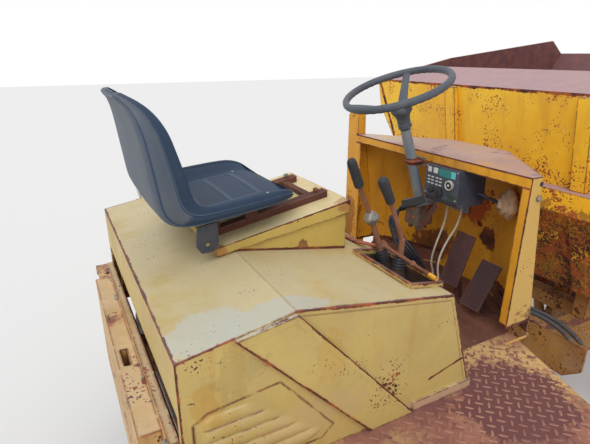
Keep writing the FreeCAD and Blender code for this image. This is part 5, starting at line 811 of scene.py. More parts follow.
@dataclass
class Shell:
    """Points and faces that grow surface by surface and become one mesh."""

    points: list[np.ndarray] = field(default_factory=list)
    faces: list[np.ndarray] = field(default_factory=list)
    marks: list[np.ndarray] = field(default_factory=list)
    count: int = 0

    def add(self, points: np.ndarray, faces: Iterable[np.ndarray], marks: np.ndarray | None = None) -> None:
        """Take in a closed or open surface.

        Args:
            points: Its points, one row each.
            faces: Arrays of corner numbers, each array with one face a row.
            marks: For each of the first points 1 on a welt, -1 on an outer casing, 0 elsewhere.
        """
        level = np.zeros(len(points))
        if marks is not None:
            level[:marks.size] = marks.ravel()
        self.marks.append(level)
        for block in faces:
            self.faces.append(np.asarray(block, dtype=np.int64) + self.count)
        self.points.append(np.asarray(points, dtype=float))
        self.count += len(points)

    def grid(self, surface: np.ndarray, ring: bool = True, loop: bool = False, capped: bool = True,
             marks: np.ndarray | None = None) -> None:
        """Take in a surface given as rows of points; the second index runs round a ring.

        A ring joins its last column to its first, a loop its last row to its first, and a cap closes each end
        with a point in the middle of that end's row. Faces are turned outwards by the volume they enclose.

        Args:
            surface: Array of rows, columns and three coordinates.
            ring: Whether each row is closed.
            loop: Whether the rows are closed as well.
            capped: Whether the ends are closed.
            marks: For each point of the surface 1 on a welt, -1 on an outer casing, 0 elsewhere.
        """
        rows, columns, _ = surface.shape
        points = surface.reshape(-1, 3)
        row = np.arange(rows if loop else rows - 1)[:, None]
        column = np.arange(columns if ring else columns - 1)[None, :]
        after_row = (row + 1) % rows
        after_column = (column + 1) % columns
        quads = np.stack([row * columns + column, row * columns + after_column,
                          after_row * columns + after_column, after_row * columns + column], axis=-1).reshape(-1, 4)
        blocks = [quads]
        if ring and capped and not loop:
            middles = surface[[0, -1]].mean(axis=1)
            points = np.vstack([points, middles])
            near = np.arange(columns)
            far = (near + 1) % columns
            last = (rows - 1) * columns
            blocks.append(np.stack([np.full(columns, rows * columns), far, near], axis=-1))
            blocks.append(np.stack([np.full(columns, rows * columns + 1), last + near, last + far], axis=-1))
        if enclosed(points, blocks) < 0:
            blocks = [block[:, ::-1] for block in blocks]
        self.add(points, blocks, marks)

    def lathe(self, profile: Sequence[tuple[float, float]], sides: int, middle: Sequence[float],
              axis: Sequence[float], loop: bool = False) -> None:
        """Take in a profile of (radius, height) turned about an axis through a middle point."""
        self.grid(placed(turned(profile, sides), middle, axis), loop=loop)

    def build(self, name: str, finish: Finish, body: Body | str, slot: Slot,
              crease: float = 32.0) -> bpy.types.Object:
        """Make the mesh, dress it and let it ride.

        Args:
            name: The piece's name.
            finish: What it is dressed in.
            body: The body that it rides on, or a road wheel's name.
            slot: The record's slot; not used.
            crease: Angle in degrees above which an edge stays sharp.

        Returns:
            The finished object.
        """
        mesh = bpy.data.meshes.new(name)
        points = np.vstack(self.points)
        sizes = np.concatenate([np.full(len(block), block.shape[1]) for block in self.faces])
        corners = np.concatenate([block.ravel() for block in self.faces])
        mesh.vertices.add(len(points))
        mesh.vertices.foreach_set("co", points.astype(np.float32).ravel())
        mesh.loops.add(len(corners))
        mesh.loops.foreach_set("vertex_index", corners.astype(np.int32))
        mesh.polygons.add(len(sizes))
        starts = np.concatenate([[0], np.cumsum(sizes)[:-1]])
        mesh.polygons.foreach_set("loop_start", starts.astype(np.int32))
        mesh.update(calc_edges=True)
        mesh.polygons.foreach_set("use_smooth", np.ones(len(sizes), dtype=bool))
        mesh.set_sharp_from_angle(angle=math.radians(crease))
        mesh.validate()
        welts = np.concatenate(self.marks)
        if welts.any():
            mesh.attributes.new("welt", "FLOAT", "POINT").data.foreach_set("value", welts.astype(np.float32))
        piece = bpy.data.objects.new(name, mesh)
        bpy.context.scene.collection.objects.link(piece)
        finish.dress(piece)
        rides = body.value if isinstance(body, Body) else body
        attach(piece, rides)
        LOG.info("piece %s on %s, %d triangles", name, rides, int((sizes - 2).sum()))
        return piece


def enclosed(points: np.ndarray, blocks: Iterable[np.ndarray]) -> float:
    """Volume inside a surface, by tetrahedra from its middle; it is negative where the faces point inwards."""
    middle = points.mean(axis=0)
    total = 0.0
    for block in blocks:
        first = points[block[:, 0]] - middle
        for index in range(1, block.shape[1] - 1):
            second = points[block[:, index]] - middle
            third = points[block[:, index + 1]] - middle
            total += float(np.einsum("ij,ij->i", first, np.cross(second, third)).sum())
    return total


def circle(count: int) -> np.ndarray:
    """So many angles, evenly round a full turn."""
    return np.linspace(0.0, math.tau, count, endpoint=False)


def travelled(line: np.ndarray) -> np.ndarray:
    """The length of a broken line up to each of its points."""
    return np.concatenate([[0.0], np.cumsum(np.linalg.norm(np.diff(line, axis=0), axis=1))])


def unit(vectors: np.ndarray) -> np.ndarray:
    """The same directions with length 1."""
    return vectors / np.maximum(np.linalg.norm(vectors, axis=-1, keepdims=True), 1e-12)


def frames(axes: np.ndarray) -> np.ndarray:
    """A turned set of three directions for each axis, the axis last.

    Args:
        axes: Directions, one row each.

    Returns:
        For each axis a matrix whose rows are two directions across it and the axis.
    """
    axes = unit(np.asarray(axes, dtype=float))
    helper = np.where(np.abs(axes[:, 2:3]) > 0.9, [[1.0, 0.0, 0.0]], [[0.0, 0.0, 1.0]])
    across = unit(np.cross(helper, axes))
    return np.stack([across, np.cross(axes, across), axes], axis=1)


def smooth_steps(value: np.ndarray, low: float, high: float) -> np.ndarray:
    """Rise from 0 at low to 1 at high along a smooth S."""
    share = np.clip((value - low) / (high - low), 0.0, 1.0)
    return share * share * (3.0 - 2.0 * share)


def turned(profile: Sequence[tuple[float, float]], sides: int = 32) -> np.ndarray:
    """A profile of (radius, height) turned about the Z axis, as rows of rings."""
    radius, height = np.array(profile, dtype=float).T
    angle = circle(sides)
    return np.stack([radius[:, None] * np.cos(angle), radius[:, None] * np.sin(angle),
                     np.broadcast_to(height[:, None], (len(radius), sides))], axis=-1)


def placed(surface: np.ndarray, middle: Sequence[float], axis: Sequence[float]) -> np.ndarray:
    """Carry a surface made about Z at the origin to a middle point and another axis."""
    turn = frames(np.array([axis]))[0]
    return surface @ turn + np.array(middle, dtype=float)


def tube(path: np.ndarray, radius: np.ndarray | float, sides: int = 12) -> np.ndarray:
    """A round tube along points: at each, a ring square to the way through its neighbours."""
    ways = unit(np.gradient(path, axis=0))
    turns = frames(ways)
    angle = circle(sides)
    rings = np.stack([np.cos(angle), np.sin(angle)], axis=-1)
    across = np.einsum("sk,nkj->nsj", rings, turns[:, :2])
    return path[:, None, :] + across * np.broadcast_to(np.atleast_1d(radius)[:, None, None], (len(path), 1, 1))


def rounded_block(low: Sequence[float], high: Sequence[float], radius: float, sides: int = 4) -> np.ndarray:
    """A block with rounded upright corners and softened ends, as rings from its lower to its upper end.

    Args:
        low, high: Its opposite corners.
        radius: Radius of its corners, and of the softening at both ends.
        sides: Steps in each corner.

    Returns:
        Rows of rings for Shell.grid.
    """
    low, high = np.array(low, float), np.array(high, float)
    middle, half = (low + high) / 2, (high - low) / 2
    soft = min(radius * 0.5, half[2] * 0.5)
    quarter = np.linspace(0.0, math.pi / 2, sides)
    angles = np.concatenate([quarter + turn * math.pi / 2 for turn in range(4)])
    signs = np.repeat(np.array([[1, 1], [-1, 1], [-1, -1], [1, -1]]), sides, axis=0)
    levels = [(-half[2], soft), (-half[2] + soft, 0.0), (half[2] - soft, 0.0), (half[2], soft)]
    rings = []
    for height, pull in levels:
        corner = np.array([half[0] - radius, half[1] - radius])
        flat = signs * corner + (radius - pull) * np.stack([np.cos(angles), np.sin(angles)], axis=-1)
        rings.append(np.column_stack([flat, np.full(len(flat), height)]) + middle)
    return np.array(rings)


def eased(points: Sequence[Sequence[float]], count: int, rounds: int = 12) -> np.ndarray:
    """Points spaced evenly along a broken line, its corners eased by repeated averaging."""
    line = np.array(points, float)
    length = travelled(line)
    places = np.linspace(0.0, length[-1], count)
    path = np.stack([np.interp(places, length, axis) for axis in line.T], axis=-1)
    for _ in range(rounds):
        path[1:-1] = (path[:-2] + 2.0 * path[1:-1] + path[2:]) / 4.0
    return path


def strip(path: np.ndarray, width: float, thickness: float, flat: Sequence[float]) -> np.ndarray:
    """A flat bar along points: at each a chamfered oblong, its broad side towards a given direction."""
    ways = unit(np.gradient(path, axis=0))
    across = unit(np.cross(ways, np.array(flat, float)))
    normal = np.cross(across, ways)
    wide, thick = width / 2, thickness / 2
    cut = min(wide, thick) * 0.4
    outline = np.array([(wide - cut, -thick), (wide, -thick + cut), (wide, thick - cut), (wide - cut, thick),
                        (-wide + cut, thick), (-wide, thick - cut), (-wide, -thick + cut), (-wide + cut, -thick)])
    return path[:, None, :] + outline[:, :1] * across[:, None, :] + outline[:, 1:] * normal[:, None, :]


def plate(low: Sequence[float], high: Sequence[float], radius: float) -> np.ndarray:
    """A thin block that faces along X, with rounded corners."""
    low, high = np.array(low, float), np.array(high, float)
    return np.roll(rounded_block(low[[1, 2, 0]], high[[1, 2, 0]], radius), 1, axis=-1)


def lump(middle: Sequence[float], radius: float) -> np.ndarray:
    """A lumpy ball: a sphere whose radius waves with both of its angles."""
    down = np.linspace(0.06, math.pi - 0.06, 22)[:, None]
    way = circle(32)[None, :]
    reach = radius * (1.0 + 0.06 * np.sin(3.0 * way + 2.0 * down) + 0.05 * np.cos(5.0 * down + way)
                      + 0.03 * np.sin(7.0 * way) * np.sin(down))
    return np.stack([reach * np.sin(down) * np.cos(way), reach * np.sin(down) * np.sin(way),
                     reach * np.cos(down)], axis=-1) + np.array(middle, float)


def repeated(shell: Shell, template: np.ndarray, blocks: Sequence[np.ndarray], middles: np.ndarray,
             turns: np.ndarray) -> None:
    """Put copies of one small shape at many places in one go.

    Args:
        shell: Where the copies go.
        template: The shape's points about the origin.
        blocks: Its faces.
        middles: The place of each copy.
        turns: For each copy a matrix whose rows are its three directions.
    """
    copies = np.einsum("pk,nkj->npj", template, turns) + middles[:, None, :]
    offsets = (np.arange(len(middles)) * len(template))[:, None, None]
    shell.add(copies.reshape(-1, 3), [(block[None] + offsets).reshape(-1, block.shape[1]) for block in blocks])


@dataclass
class Bolts:
    """Hexagon bolt heads on washers, all those of one body in one mesh."""

    across: float = 0.019
    head: float = 0.008
    washer: float = 0.002

    def template(self) -> tuple[np.ndarray, list[np.ndarray]]:
        """Rings of six for the head over rings of twelve for the washer."""
        shell = Shell()
        wide = self.across * 0.62
        shell.grid(turned([(wide, 0.0), (wide, self.washer)], 12))
        reach = self.across / math.sqrt(3.0)
        top = self.washer + self.head
        shell.grid(turned([(reach, self.washer * 0.5), (reach, top - 0.0015), (reach * 0.88, top)], 6))
        return np.vstack(shell.points), shell.faces

    def build(self, name: str, middles: Sequence[Sequence[float]], axes: Sequence[Sequence[float]], body: Body,
              finish: Finish) -> bpy.types.Object:
        """Place a head at each middle, pointing along its axis."""
        shell = Shell()
        points, blocks = self.template()
        repeated(shell, points, blocks, np.array(middles, float), frames(np.array(axes, float)))
        return shell.build(name, finish, body, Slot.STEEL, 40.0)


@dataclass
class Welds:
    """Rippled weld beads along straight seams."""

    radius: float = 0.0042
    ripple: float = 0.009

    def build(self, name: str, seams: Sequence[tuple[Sequence[float], Sequence[float]]], body: Body,
              finish: Finish, slot: Slot) -> bpy.types.Object:
        """Run a bead along each seam: a tube whose radius swells once in every ripple."""
        shell = Shell()
        for start, end in seams:
            start, end = np.array(start, float), np.array(end, float)
            length = float(np.linalg.norm(end - start))
            count = max(int(length / self.ripple) * 3, 6)
            share = np.linspace(0.0, 1.0, count)
            path = start + share[:, None] * (end - start)
            swell = 1.0 + 0.22 * np.abs(np.sin(share * length / self.ripple * math.pi))
            swell *= 1.0 + 0.12 * np.sin(share * length * 37.0)
            shell.grid(tube(path, self.radius * swell, 8))
        return shell.build(name, finish, body, slot, 60.0)


# Sub-assemblies


@dataclass
class Tyre:
    """A pneumatic tyre with slanted tractor lugs, worked out as one ring of profiles."""

    outer: float = 0.380
    lug_height: float = 0.020
    lug_thickness: float = 0.036
    lug_pairs: int = 14
    half_width: float = 0.132
    bead_radius: float = 0.195
    bead_half: float = 0.108
    steps_round: int = 504

    def surface(self) -> np.ndarray:
        """Radius over the distance across and the angle: carcass, shoulder, sidewall ribs and lugs.

        A lug is the band where the angle, less the sweep that grows with the distance from the middle, is near a
        whole number of pitches; the two rows are half a pitch apart.
        """
        crown = self.outer - self.lug_height
        across = np.concatenate([
            np.linspace(-self.bead_half, -self.half_width, 12)[:-1],
            np.linspace(-self.half_width, self.half_width, 45),
            np.linspace(self.half_width, self.bead_half, 12)[1:],
        ])
        wall = np.concatenate([
            np.linspace(self.bead_radius, self.bead_radius + (crown - self.bead_radius) * 0.5, 12)[:-1],
            np.full(45, 0.0),
            np.linspace(self.bead_radius + (crown - self.bead_radius) * 0.5, self.bead_radius, 12)[1:],
        ])
        tread = wall == 0.0
        reach = np.abs(across) / self.half_width
        bulge = self.bead_radius + (crown - self.bead_radius) * 0.5
        round_over = np.sqrt(np.clip(1.0 - np.clip((reach - 0.80) / 0.20, 0.0, 1.0) ** 2.6, 0.0, 1.0))
        radius = np.where(tread, bulge + (crown - bulge) * round_over - 0.010 * reach ** 2, wall)
        rib = 0.0016 * np.exp(-((radius - 0.235) / 0.004) ** 2) + 0.0016 * np.exp(-((radius - 0.215) / 0.003) ** 2)
        width = across + np.sign(across) * np.where(tread, 0.0, rib)
        angle = circle(self.steps_round)
        pitch = math.tau / self.lug_pairs
        sweep = 0.052 * (reach - 0.45) / crown
        phase = np.where(across > 0, 0.0, 0.5)
        turn = (angle[:, None] + sweep[None, :]) / pitch + phase[None, :]
        away = np.abs(turn - np.round(turn)) * pitch * crown
        band = 1.0 - smooth_steps(away, self.lug_thickness * 0.5 - 0.001, self.lug_thickness * 0.5 + 0.006)
        inner_end = smooth_steps(np.abs(across), 0.004, 0.010)
        outer_end = 1.0 - smooth_steps(reach, 0.965, 1.0)
        lug = band * (inner_end * outer_end * tread)[None, :]
        top = self.outer - 0.012 * reach ** 4
        final = radius[None, :] + lug * np.maximum(top - radius, 0.0)[None, :]
        wide = np.broadcast_to(width, final.shape)
        return np.stack([final * np.cos(angle[:, None]), wide, final * np.sin(angle[:, None])], axis=-1)

    def build(self) -> None:
        """Put one tyre at each wheel, in place of its plain solid."""
        base = self.surface()
        radius = self.bead_radius - 0.004
        angle = circle(self.steps_round)
        inner = np.stack([
            np.stack([radius * np.cos(angle), np.full_like(angle, self.bead_half - 0.002), radius * np.sin(angle)],
                     -1),
            np.stack([radius * np.cos(angle), np.full_like(angle, -self.bead_half + 0.002), radius * np.sin(angle)],
                     -1),
        ], axis=1)
        ring = np.concatenate([base, inner], axis=1)
        for end in ("rear", "front"):
            for side in Side:
                node = f"tyre_{end}_{side.name.lower()}"
                low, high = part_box(node)
                middle = (np.array(low) + np.array(high)) / 2
                shell = Shell()
                facing = ring if side is Side.LEFT else ring * np.array([-1.0, -1.0, 1.0])
                shell.grid(facing + middle, ring=True, loop=True)
                label = f"{end}_{side.name.lower()}"
                piece = shell.build(f"tread_{label}", Finishes.tyre, f"road_wheel_{label}", Slot.TYRE, 28.0)
                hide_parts(node)


@dataclass
class WheelFittings:
    """Stud nuts and valves on the four wheels."""

    stud_circle: float = 0.054
    studs: int = 5

    def build(self) -> None:
        """Five nuts round the hub and a valve on the rim, on each wheel."""
        nuts = Bolts(across=0.022, head=0.012, washer=0.003)
        for end in ("rear", "front"):
            for side in Side:
                label = f"{end}_{side.name.lower()}"
                low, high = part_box(f"wheel_{label}")
                middle = (np.array(low) + np.array(high)) / 2
                face = middle[1] + side.value * 0.034
                angle = np.radians(72.0 * np.arange(self.studs) + 90.0)
                spots = np.stack([middle[0] + self.stud_circle * np.cos(angle), np.full(self.studs, face),
                                  middle[2] + self.stud_circle * np.sin(angle)], axis=-1)
                axes = np.tile([0.0, float(side.value), 0.0], (self.studs, 1))
                shell = Shell()
                points, blocks = nuts.template()
                repeated(shell, points, blocks, spots, frames(axes))
                valve = [(0.005, 0.0), (0.005, 0.022), (0.0035, 0.024), (0.0035, 0.034), (0.002, 0.036)]
                shell.lathe(valve, 10, (middle[0] + 0.155, middle[1] + side.value * 0.012, middle[2]), (0.0,
                                                                                                        side.value, 0.0))
                shell.build(f"wheel_nuts_{label}", Finishes.steel, f"road_wheel_{label}", Slot.STEEL)


@dataclass
class SeatBucket:
    """The moulded bucket seat: one closed U section carried along the pan and up the backrest."""

    front_x: float = -1.098
    middle_y: float = 0.012
    half: float = 0.238
    wall: float = 0.012
    bead: float = 0.0030
    corner: float = 0.036
    rows: int = 150
    # behind the front edge, height of the surface, narrower by, then where the rim lies, in millimetres
    stations: tuple[tuple[float, float, float, float, float], ...] = (
        (0, 1360, 34, 2, 1366), (14, 1362, 18, 15, 1374), (50, 1358, 5, 50, 1379), (110, 1349, 1, 108, 1376),
        (182, 1341, 0, 178, 1370), (240, 1334, 0, 228, 1366), (290, 1328, 0, 258, 1366), (326, 1326, 1, 276, 1370),
        (352, 1333, 2, 288, 1378), (370, 1350, 2, 298, 1392), (380, 1374, 2, 304, 1412), (386, 1430, 2, 312, 1452),
        (393, 1490, 3, 328, 1504), (400, 1550, 8, 344, 1560), (408, 1596, 20, 366, 1600), (418, 1624, 42, 388, 1626),
        (430, 1642, 74, 410, 1642), (440, 1650, 108, 432, 1651))

    def spine(self) -> tuple[np.ndarray, np.ndarray, np.ndarray, np.ndarray]:
        """The middle line, its upward side, the half width, and the way from the line to the rim at each row."""
        table = np.array(self.stations, float) * MM
        line = np.column_stack([self.front_x - table[:, 0], table[:, 1]])
        rim = np.column_stack([self.front_x - table[:, 3], table[:, 4]])
        length = travelled(line)
        fine = np.linspace(0.0, length[-1], self.rows)
        columns = np.column_stack([line, table[:, 2], rim - line])
        values = np.stack([np.interp(fine, length, column) for column in columns.T], axis=-1)
        soft = values.copy()
        for _ in range(26):
            soft[1:-1] = (soft[:-2] + 2.0 * soft[1:-1] + soft[2:]) / 4.0
        way = unit(np.gradient(soft[:, :2], axis=0))
        upward = np.column_stack([-way[:, 1], way[:, 0]]) * -1.0
        return soft[:, :2], upward, self.half - soft[:, 2], soft[:, 3:]

    def welts(self, along: np.ndarray, across: np.ndarray) -> np.ndarray:
        """Moulded welts, 1 on their crest: two along the pan and the back, and bars across between them."""
        lanes = np.exp(-((np.abs(across) - 0.132) / 0.0055) ** 2)
        crest = lanes * smooth_steps(along, 0.05, 0.09) * (1.0 - smooth_steps(along, 0.66, 0.70))
        inside = 1.0 - smooth_steps(np.abs(across), 0.120, 0.136)
        for place in (0.075, 0.165, 0.255, 0.330, 0.445, 0.530, 0.615, 0.690):
            crest = np.maximum(crest, inside * np.exp(-((along - place) / 0.0055) ** 2))
        return crest

    def surface(self) -> tuple[np.ndarray, np.ndarray]:
        """Rings of the section, from the front edge to the top of the back, and the marks on their points.

        Each ring runs along the underside, up the right side, over the rim with its two beads, across the
        moulded inside and back over the other rim.
        """
        line, upward, half, climbs = self.spine()
        along = travelled(line)[:, None]
        half = half[:, None]
        side = np.linalg.norm(climbs, axis=1)[:, None]
        under = np.linspace(-1.0, 1.0, 21)[None, :]
        y_under = under * (half - self.corner)
        n_under = -self.wall - 0.004 * (1.0 - under ** 2) + 0.0 * half
        turn = np.linspace(0.0, 1.0, 10)[None, :]
        y_turn = half - self.corner + self.corner * np.sin(turn * math.pi / 2)
        n_turn = -self.wall + (side * 0.30 + self.wall) * (1.0 - np.cos(turn * math.pi / 2))
        climb = np.linspace(0.0, 1.0, 12)[None, 1:]
        y_climb = half - 0.004 * climb
        n_climb = side * 0.30 + (side * 0.62) * climb
        roll = np.linspace(0.0, 1.0, 9)[None, 1:]
        rim = 0.016
        y_roll = half - 0.004 - rim * (1.0 - np.cos(roll * math.pi)) / 2
        n_roll = side * 0.92 + 0.007 * np.sin(roll * math.pi)
        fall = np.linspace(0.0, 1.0, 16)[None, 1:]
        y_fall = half - 0.004 - rim - (0.050) * fall
        n_fall = side * 0.92 * (1.0 - fall * fall * (3.0 - 2.0 * fall)) ** 1.15
        right_y = np.concatenate([y_turn, y_climb, y_roll, y_fall], axis=1)
        right_n = np.concatenate([n_turn, n_climb, n_roll, n_fall], axis=1)
        on_back = smooth_steps(along, 0.30, 0.37)
        marks = np.zeros_like(right_y)
        marks[:, :14] = -on_back
        for index in (5, 14):
            right_y[:, index:index + 1] += self.bead
            right_n[:, index:index + 1] -= self.bead * (0.8 if index < 9 else 0.0)
            marks[:, index] = 1.0
        pan = np.linspace(1.0, -1.0, 66)[None, 1:-1]
        foot = half - 0.070
        y_pan = pan * foot
        crest = self.welts(along, y_pan)
        n_pan = 0.004 * np.cos(pan * math.pi / 2) + 0.0034 * crest
        y_all = np.concatenate([y_under, right_y[:, 1:], y_pan, -right_y[:, :0:-1]], axis=1)
        n_all = np.concatenate([n_under, right_n[:, 1:], n_pan, right_n[:, :0:-1]], axis=1)
        below, above = np.minimum(n_all, 0.0), np.maximum(n_all, 0.0) / np.maximum(side, 1e-6)
        x = line[:, :1] + below * upward[:, :1] + above * climbs[:, :1]
        z = line[:, 1:] + below * upward[:, 1:] + above * climbs[:, 1:]
        casing = -on_back + 0.0 * y_under
        level = np.concatenate([casing, marks[:, 1:], crest, marks[:, :0:-1]], axis=1)
        return np.stack([x, self.middle_y + y_all, z], axis=-1), level

    def build(self) -> None:
        """Make the seat in place of its plain solid, with its rivets and the cap on its back."""
        shell = Shell()
        surface, marks = self.surface()
        shell.grid(surface, marks=marks)
        piece = shell.build("seat_bucket", Finishes.seat, Body.LID, Slot.SEAT, 50.0)
        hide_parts("seat_shell")
        rivets = Shell()
        columns = surface.shape[1]
        # rows and columns of the section where the rivets sit: front corners of the pan, shoulders of the back
        for row, column in ((12, 66), (12, columns - 46), (140, 47), (140, columns - 27)):
            along = surface[row + 1, column] - surface[row - 1, column]
            across = surface[row, column + 1] - surface[row, column - 1]
            outward = unit(np.cross(across, along))
            dome = [(0.0038, -0.001), (0.0036, 0.0006), (0.0028, 0.0014), (0.0012, 0.0018)]
            rivets.lathe(dome, 14, surface[row, column], outward)
        low_row = int(np.argmin(np.abs(surface[:, 10, 2] - 1.352) + (surface[:, 10, 0] > -1.45)))
        cap = [(0.017, -0.001), (0.017, 0.003), (0.0155, 0.0045), (0.006, 0.0050)]
        rivets.lathe(cap, 28, surface[low_row, 12], (-0.98, 0.0, -0.2))
        rivets.build("seat_rivets", Finishes.pale_plastic, Body.LID, Slot.GREY_PLASTIC)


@dataclass
class HandWheel:
    """The steering wheel: an oval rim, three dished spokes, a flared neck and a cap."""

    radius: float = 0.191
    rim: float = 0.0135
    tilt: float = 20.0
    turn: float = 38.0
    sink: float = 0.064
    column_foot: tuple[float, float, float] = (-0.389, 0.040, 1.177)
    column_length: float = 0.315
    rise: float = 0.158

    def to_frame(self, surface: np.ndarray) -> np.ndarray:
        """Lean the wheel from its own axis to the column's, and carry it to its middle."""
        angle = math.radians(self.tilt)
        axis = np.array([-math.sin(angle), 0.0, math.cos(angle)])
        middle = np.array(self.column_foot) + axis * (self.column_length + self.rise)
        lean = np.array([[math.cos(angle), 0.0, math.sin(angle)], [0.0, 1.0, 0.0],
                         [-math.sin(angle), 0.0, math.cos(angle)]])
        return surface @ lean + middle

    def spoke(self, degrees: float) -> np.ndarray:
        """A flat bar from the sunken hub up to the rim, wide at the hub, with a rib along its upper side."""
        share = np.linspace(0.0, 1.0, 22)
        reach = 0.018 + share * (self.radius - 0.020)
        half = 0.021 - 0.008 * np.sqrt(share) + 0.004 * smooth_steps(share, 0.85, 1.0)
        sink = -(self.sink + 0.010) * (1.0 - share) ** 1.15 - 0.002
        thick = 0.0060 - 0.0015 * share
        angle = circle(20)
        wide = np.sign(np.cos(angle)) * np.abs(np.cos(angle)) ** 0.55
        tall = np.sign(np.sin(angle)) * np.abs(np.sin(angle)) ** 0.8
        rib = 0.0025 * np.exp(-(wide / 0.35) ** 2) * (tall > 0)
        x = np.broadcast_to(reach[:, None], (22, 20))
        y = half[:, None] * wide
        z = sink[:, None] + thick[:, None] * tall + rib
        turn = math.radians(degrees)
        return np.stack([x * math.cos(turn) - y * math.sin(turn), x * math.sin(turn) + y * math.cos(turn), z], -1)

    def build(self) -> None:
        """Make the wheel in place of its plain solid."""
        shell = Shell()
        round_way = circle(160)[:, None]
        section = circle(28)[None, :]
        grips = 0.0007 * np.cos(round_way * 44.0) * np.clip(-np.sin(section) + 0.2, 0.0, 1.0)
        seam = -0.0006 * np.exp(-(np.sin(section / 2.0) / 0.05) ** 2)
        thick = self.rim + grips + seam
        away = self.radius + thick * 0.92 * np.cos(section)
        shell.grid(self.to_frame(np.stack([away * np.cos(round_way), away * np.sin(round_way),
                                           thick * np.sin(section) + 0.0 * round_way], axis=-1)), loop=True)
        for index in range(3):
            shell.grid(self.to_frame(self.spoke(120.0 * index + self.turn)))
        top = -self.sink
        hub = [(0.0225, -0.1530), (0.0250, -0.1510), (0.0250, -0.1350), (0.0235, -0.1340), (0.0235, -0.1300),
               (0.0248, -0.1290), (0.0242, top - 0.056), (0.0262, top - 0.044), (0.0320, top - 0.032),
               (0.0395, top - 0.022), (0.0400, top - 0.010), (0.0372, top - 0.004), (0.0335, top - 0.0030),
               (0.0325, top - 0.0042), (0.0300, top), (0.0200, top + 0.0022), (0.0080, top + 0.0028)]
        shell.grid(self.to_frame(turned(hub, 48)))
        shaft = [(0.0109, -0.218), (0.0109, -0.150)]
        shell.grid(self.to_frame(turned(shaft, 20)))
        piece = shell.build("hand_wheel_moulded", Finishes.hand_wheel, Body.HAND_WHEEL, Slot.GREY_PLASTIC, 38.0)
        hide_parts("steering_wheel")


@dataclass
class TreadPlate:
    """The raised lozenges of the checker plate on both decks."""

    pitch: float = 0.0272
    length: float = 0.025
    width: float = 0.0078
    height: float = 0.0018
    top: float = 0.790
    margin: float = 0.016
    # the cover's foot and front edge, and the two ends of the deck's slanted front edge as (x, y)
    cover_y: float = -0.561
    cover_x: float = -0.683
    inner_y: float = -0.416
    outer_front: tuple[float, float] = (-0.474, -0.886)
    inner_front_x: float = -0.330

    def template(self) -> tuple[np.ndarray, list[np.ndarray]]:
        """A pointed oval: a foot ring, a shoulder ring and a flat top."""
        angle = circle(12)
        pointed = 1.0 - 0.25 * np.abs(np.cos(angle)) ** 4
        rings = []
        for share, level in ((1.0, -0.0006), (0.94, self.height * 0.55), (0.62, self.height)):
            x = np.cos(angle) * self.length / 2 * (share + (1 - share) * 0.4)
            y = np.sin(angle) * self.width / 2 * share * pointed
            rings.append(np.stack([x, y, np.full(12, level)], axis=-1))
        shell = Shell()
        shell.grid(np.array(rings))
        return np.vstack(shell.points), shell.faces

    def middles(self, side: Side) -> tuple[np.ndarray, np.ndarray]:
        """Places on a square lattice turned by 45 degrees, kept where the deck is open."""
        count = 90
        first, second = np.meshgrid(np.arange(-count, count), np.arange(-count, count), indexing="ij")
        step = self.pitch / math.sqrt(2.0)
        x = -0.95 + (first + second) * step
        y = -0.70 + (first - second) * step
        odd = (first + second) % 2 == 1
        low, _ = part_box("deck_right")
        margin, (outer_x, outer_y) = self.margin, self.outer_front
        front = outer_x + (y - outer_y) / (self.inner_y - outer_y) * (self.inner_front_x - outer_x)
        keep = (x > low[0] + margin) & (y > low[1] + margin) & (x < front - margin) & (y < self.inner_y - margin)
        keep &= (y < self.cover_y - margin) | (x > self.cover_x + margin * 0.9)
        spots = np.stack([x[keep], y[keep] * -side.value, np.full(int(keep.sum()), self.top)], axis=-1)
        return spots, odd[keep]

    def build(self) -> None:
        """One mesh of lozenges for each deck."""
        for side in Side:
            spots, odd = self.middles(side)
            angle = np.where(odd, math.pi / 4, -math.pi / 4)
            zero, one = np.zeros_like(angle), np.ones_like(angle)
            turns = np.stack([np.stack([np.cos(angle), np.sin(angle), zero], -1),
                              np.stack([-np.sin(angle), np.cos(angle), zero], -1),
                              np.stack([zero, zero, one], -1)], axis=1)
            shell = Shell()
            points, blocks = self.template()
            repeated(shell, points, blocks, spots, turns)
            shell.build(f"tread_lozenges_{side.name.lower()}", Finishes.lozenges, Body.REAR, Slot.PLATE, 50.0)


@dataclass
class Cord:
    """A cable or hose along given points, as one smooth spline."""

    name: str
    node: str
    body: Body
    diameter: float
    points: tuple[tuple[float, float, float], ...]
    finish: Finish
    slot: Slot
    length: float
    far_end: str = "object"
    stiffness: str = "medium"
    lay: str = "loose"
    with_pieces: tuple[str, ...] = ()

    def build(self) -> None:
        curve = bpy.data.curves.new(self.name, "CURVE")
        curve.dimensions = "3D"
        curve.bevel_depth = self.diameter / 2
        curve.bevel_resolution = 5
        curve.resolution_u = 16
        curve.use_fill_caps = True
        spline = curve.splines.new("NURBS")
        spline.points.add(len(self.points) - 1)
        for place, spot in zip(self.points, spline.points):
            spot.co = (*place, 1.0)
        spline.order_u = 3
        spline.use_endpoint_u = True
        piece = bpy.data.objects.new(self.name, curve)
        bpy.context.scene.collection.objects.link(piece)
        self.finish.dress(piece)
        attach(piece, self.body.value)
        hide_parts(self.node)
        LOG.info("cord %s on %s", self.name, self.body.value)


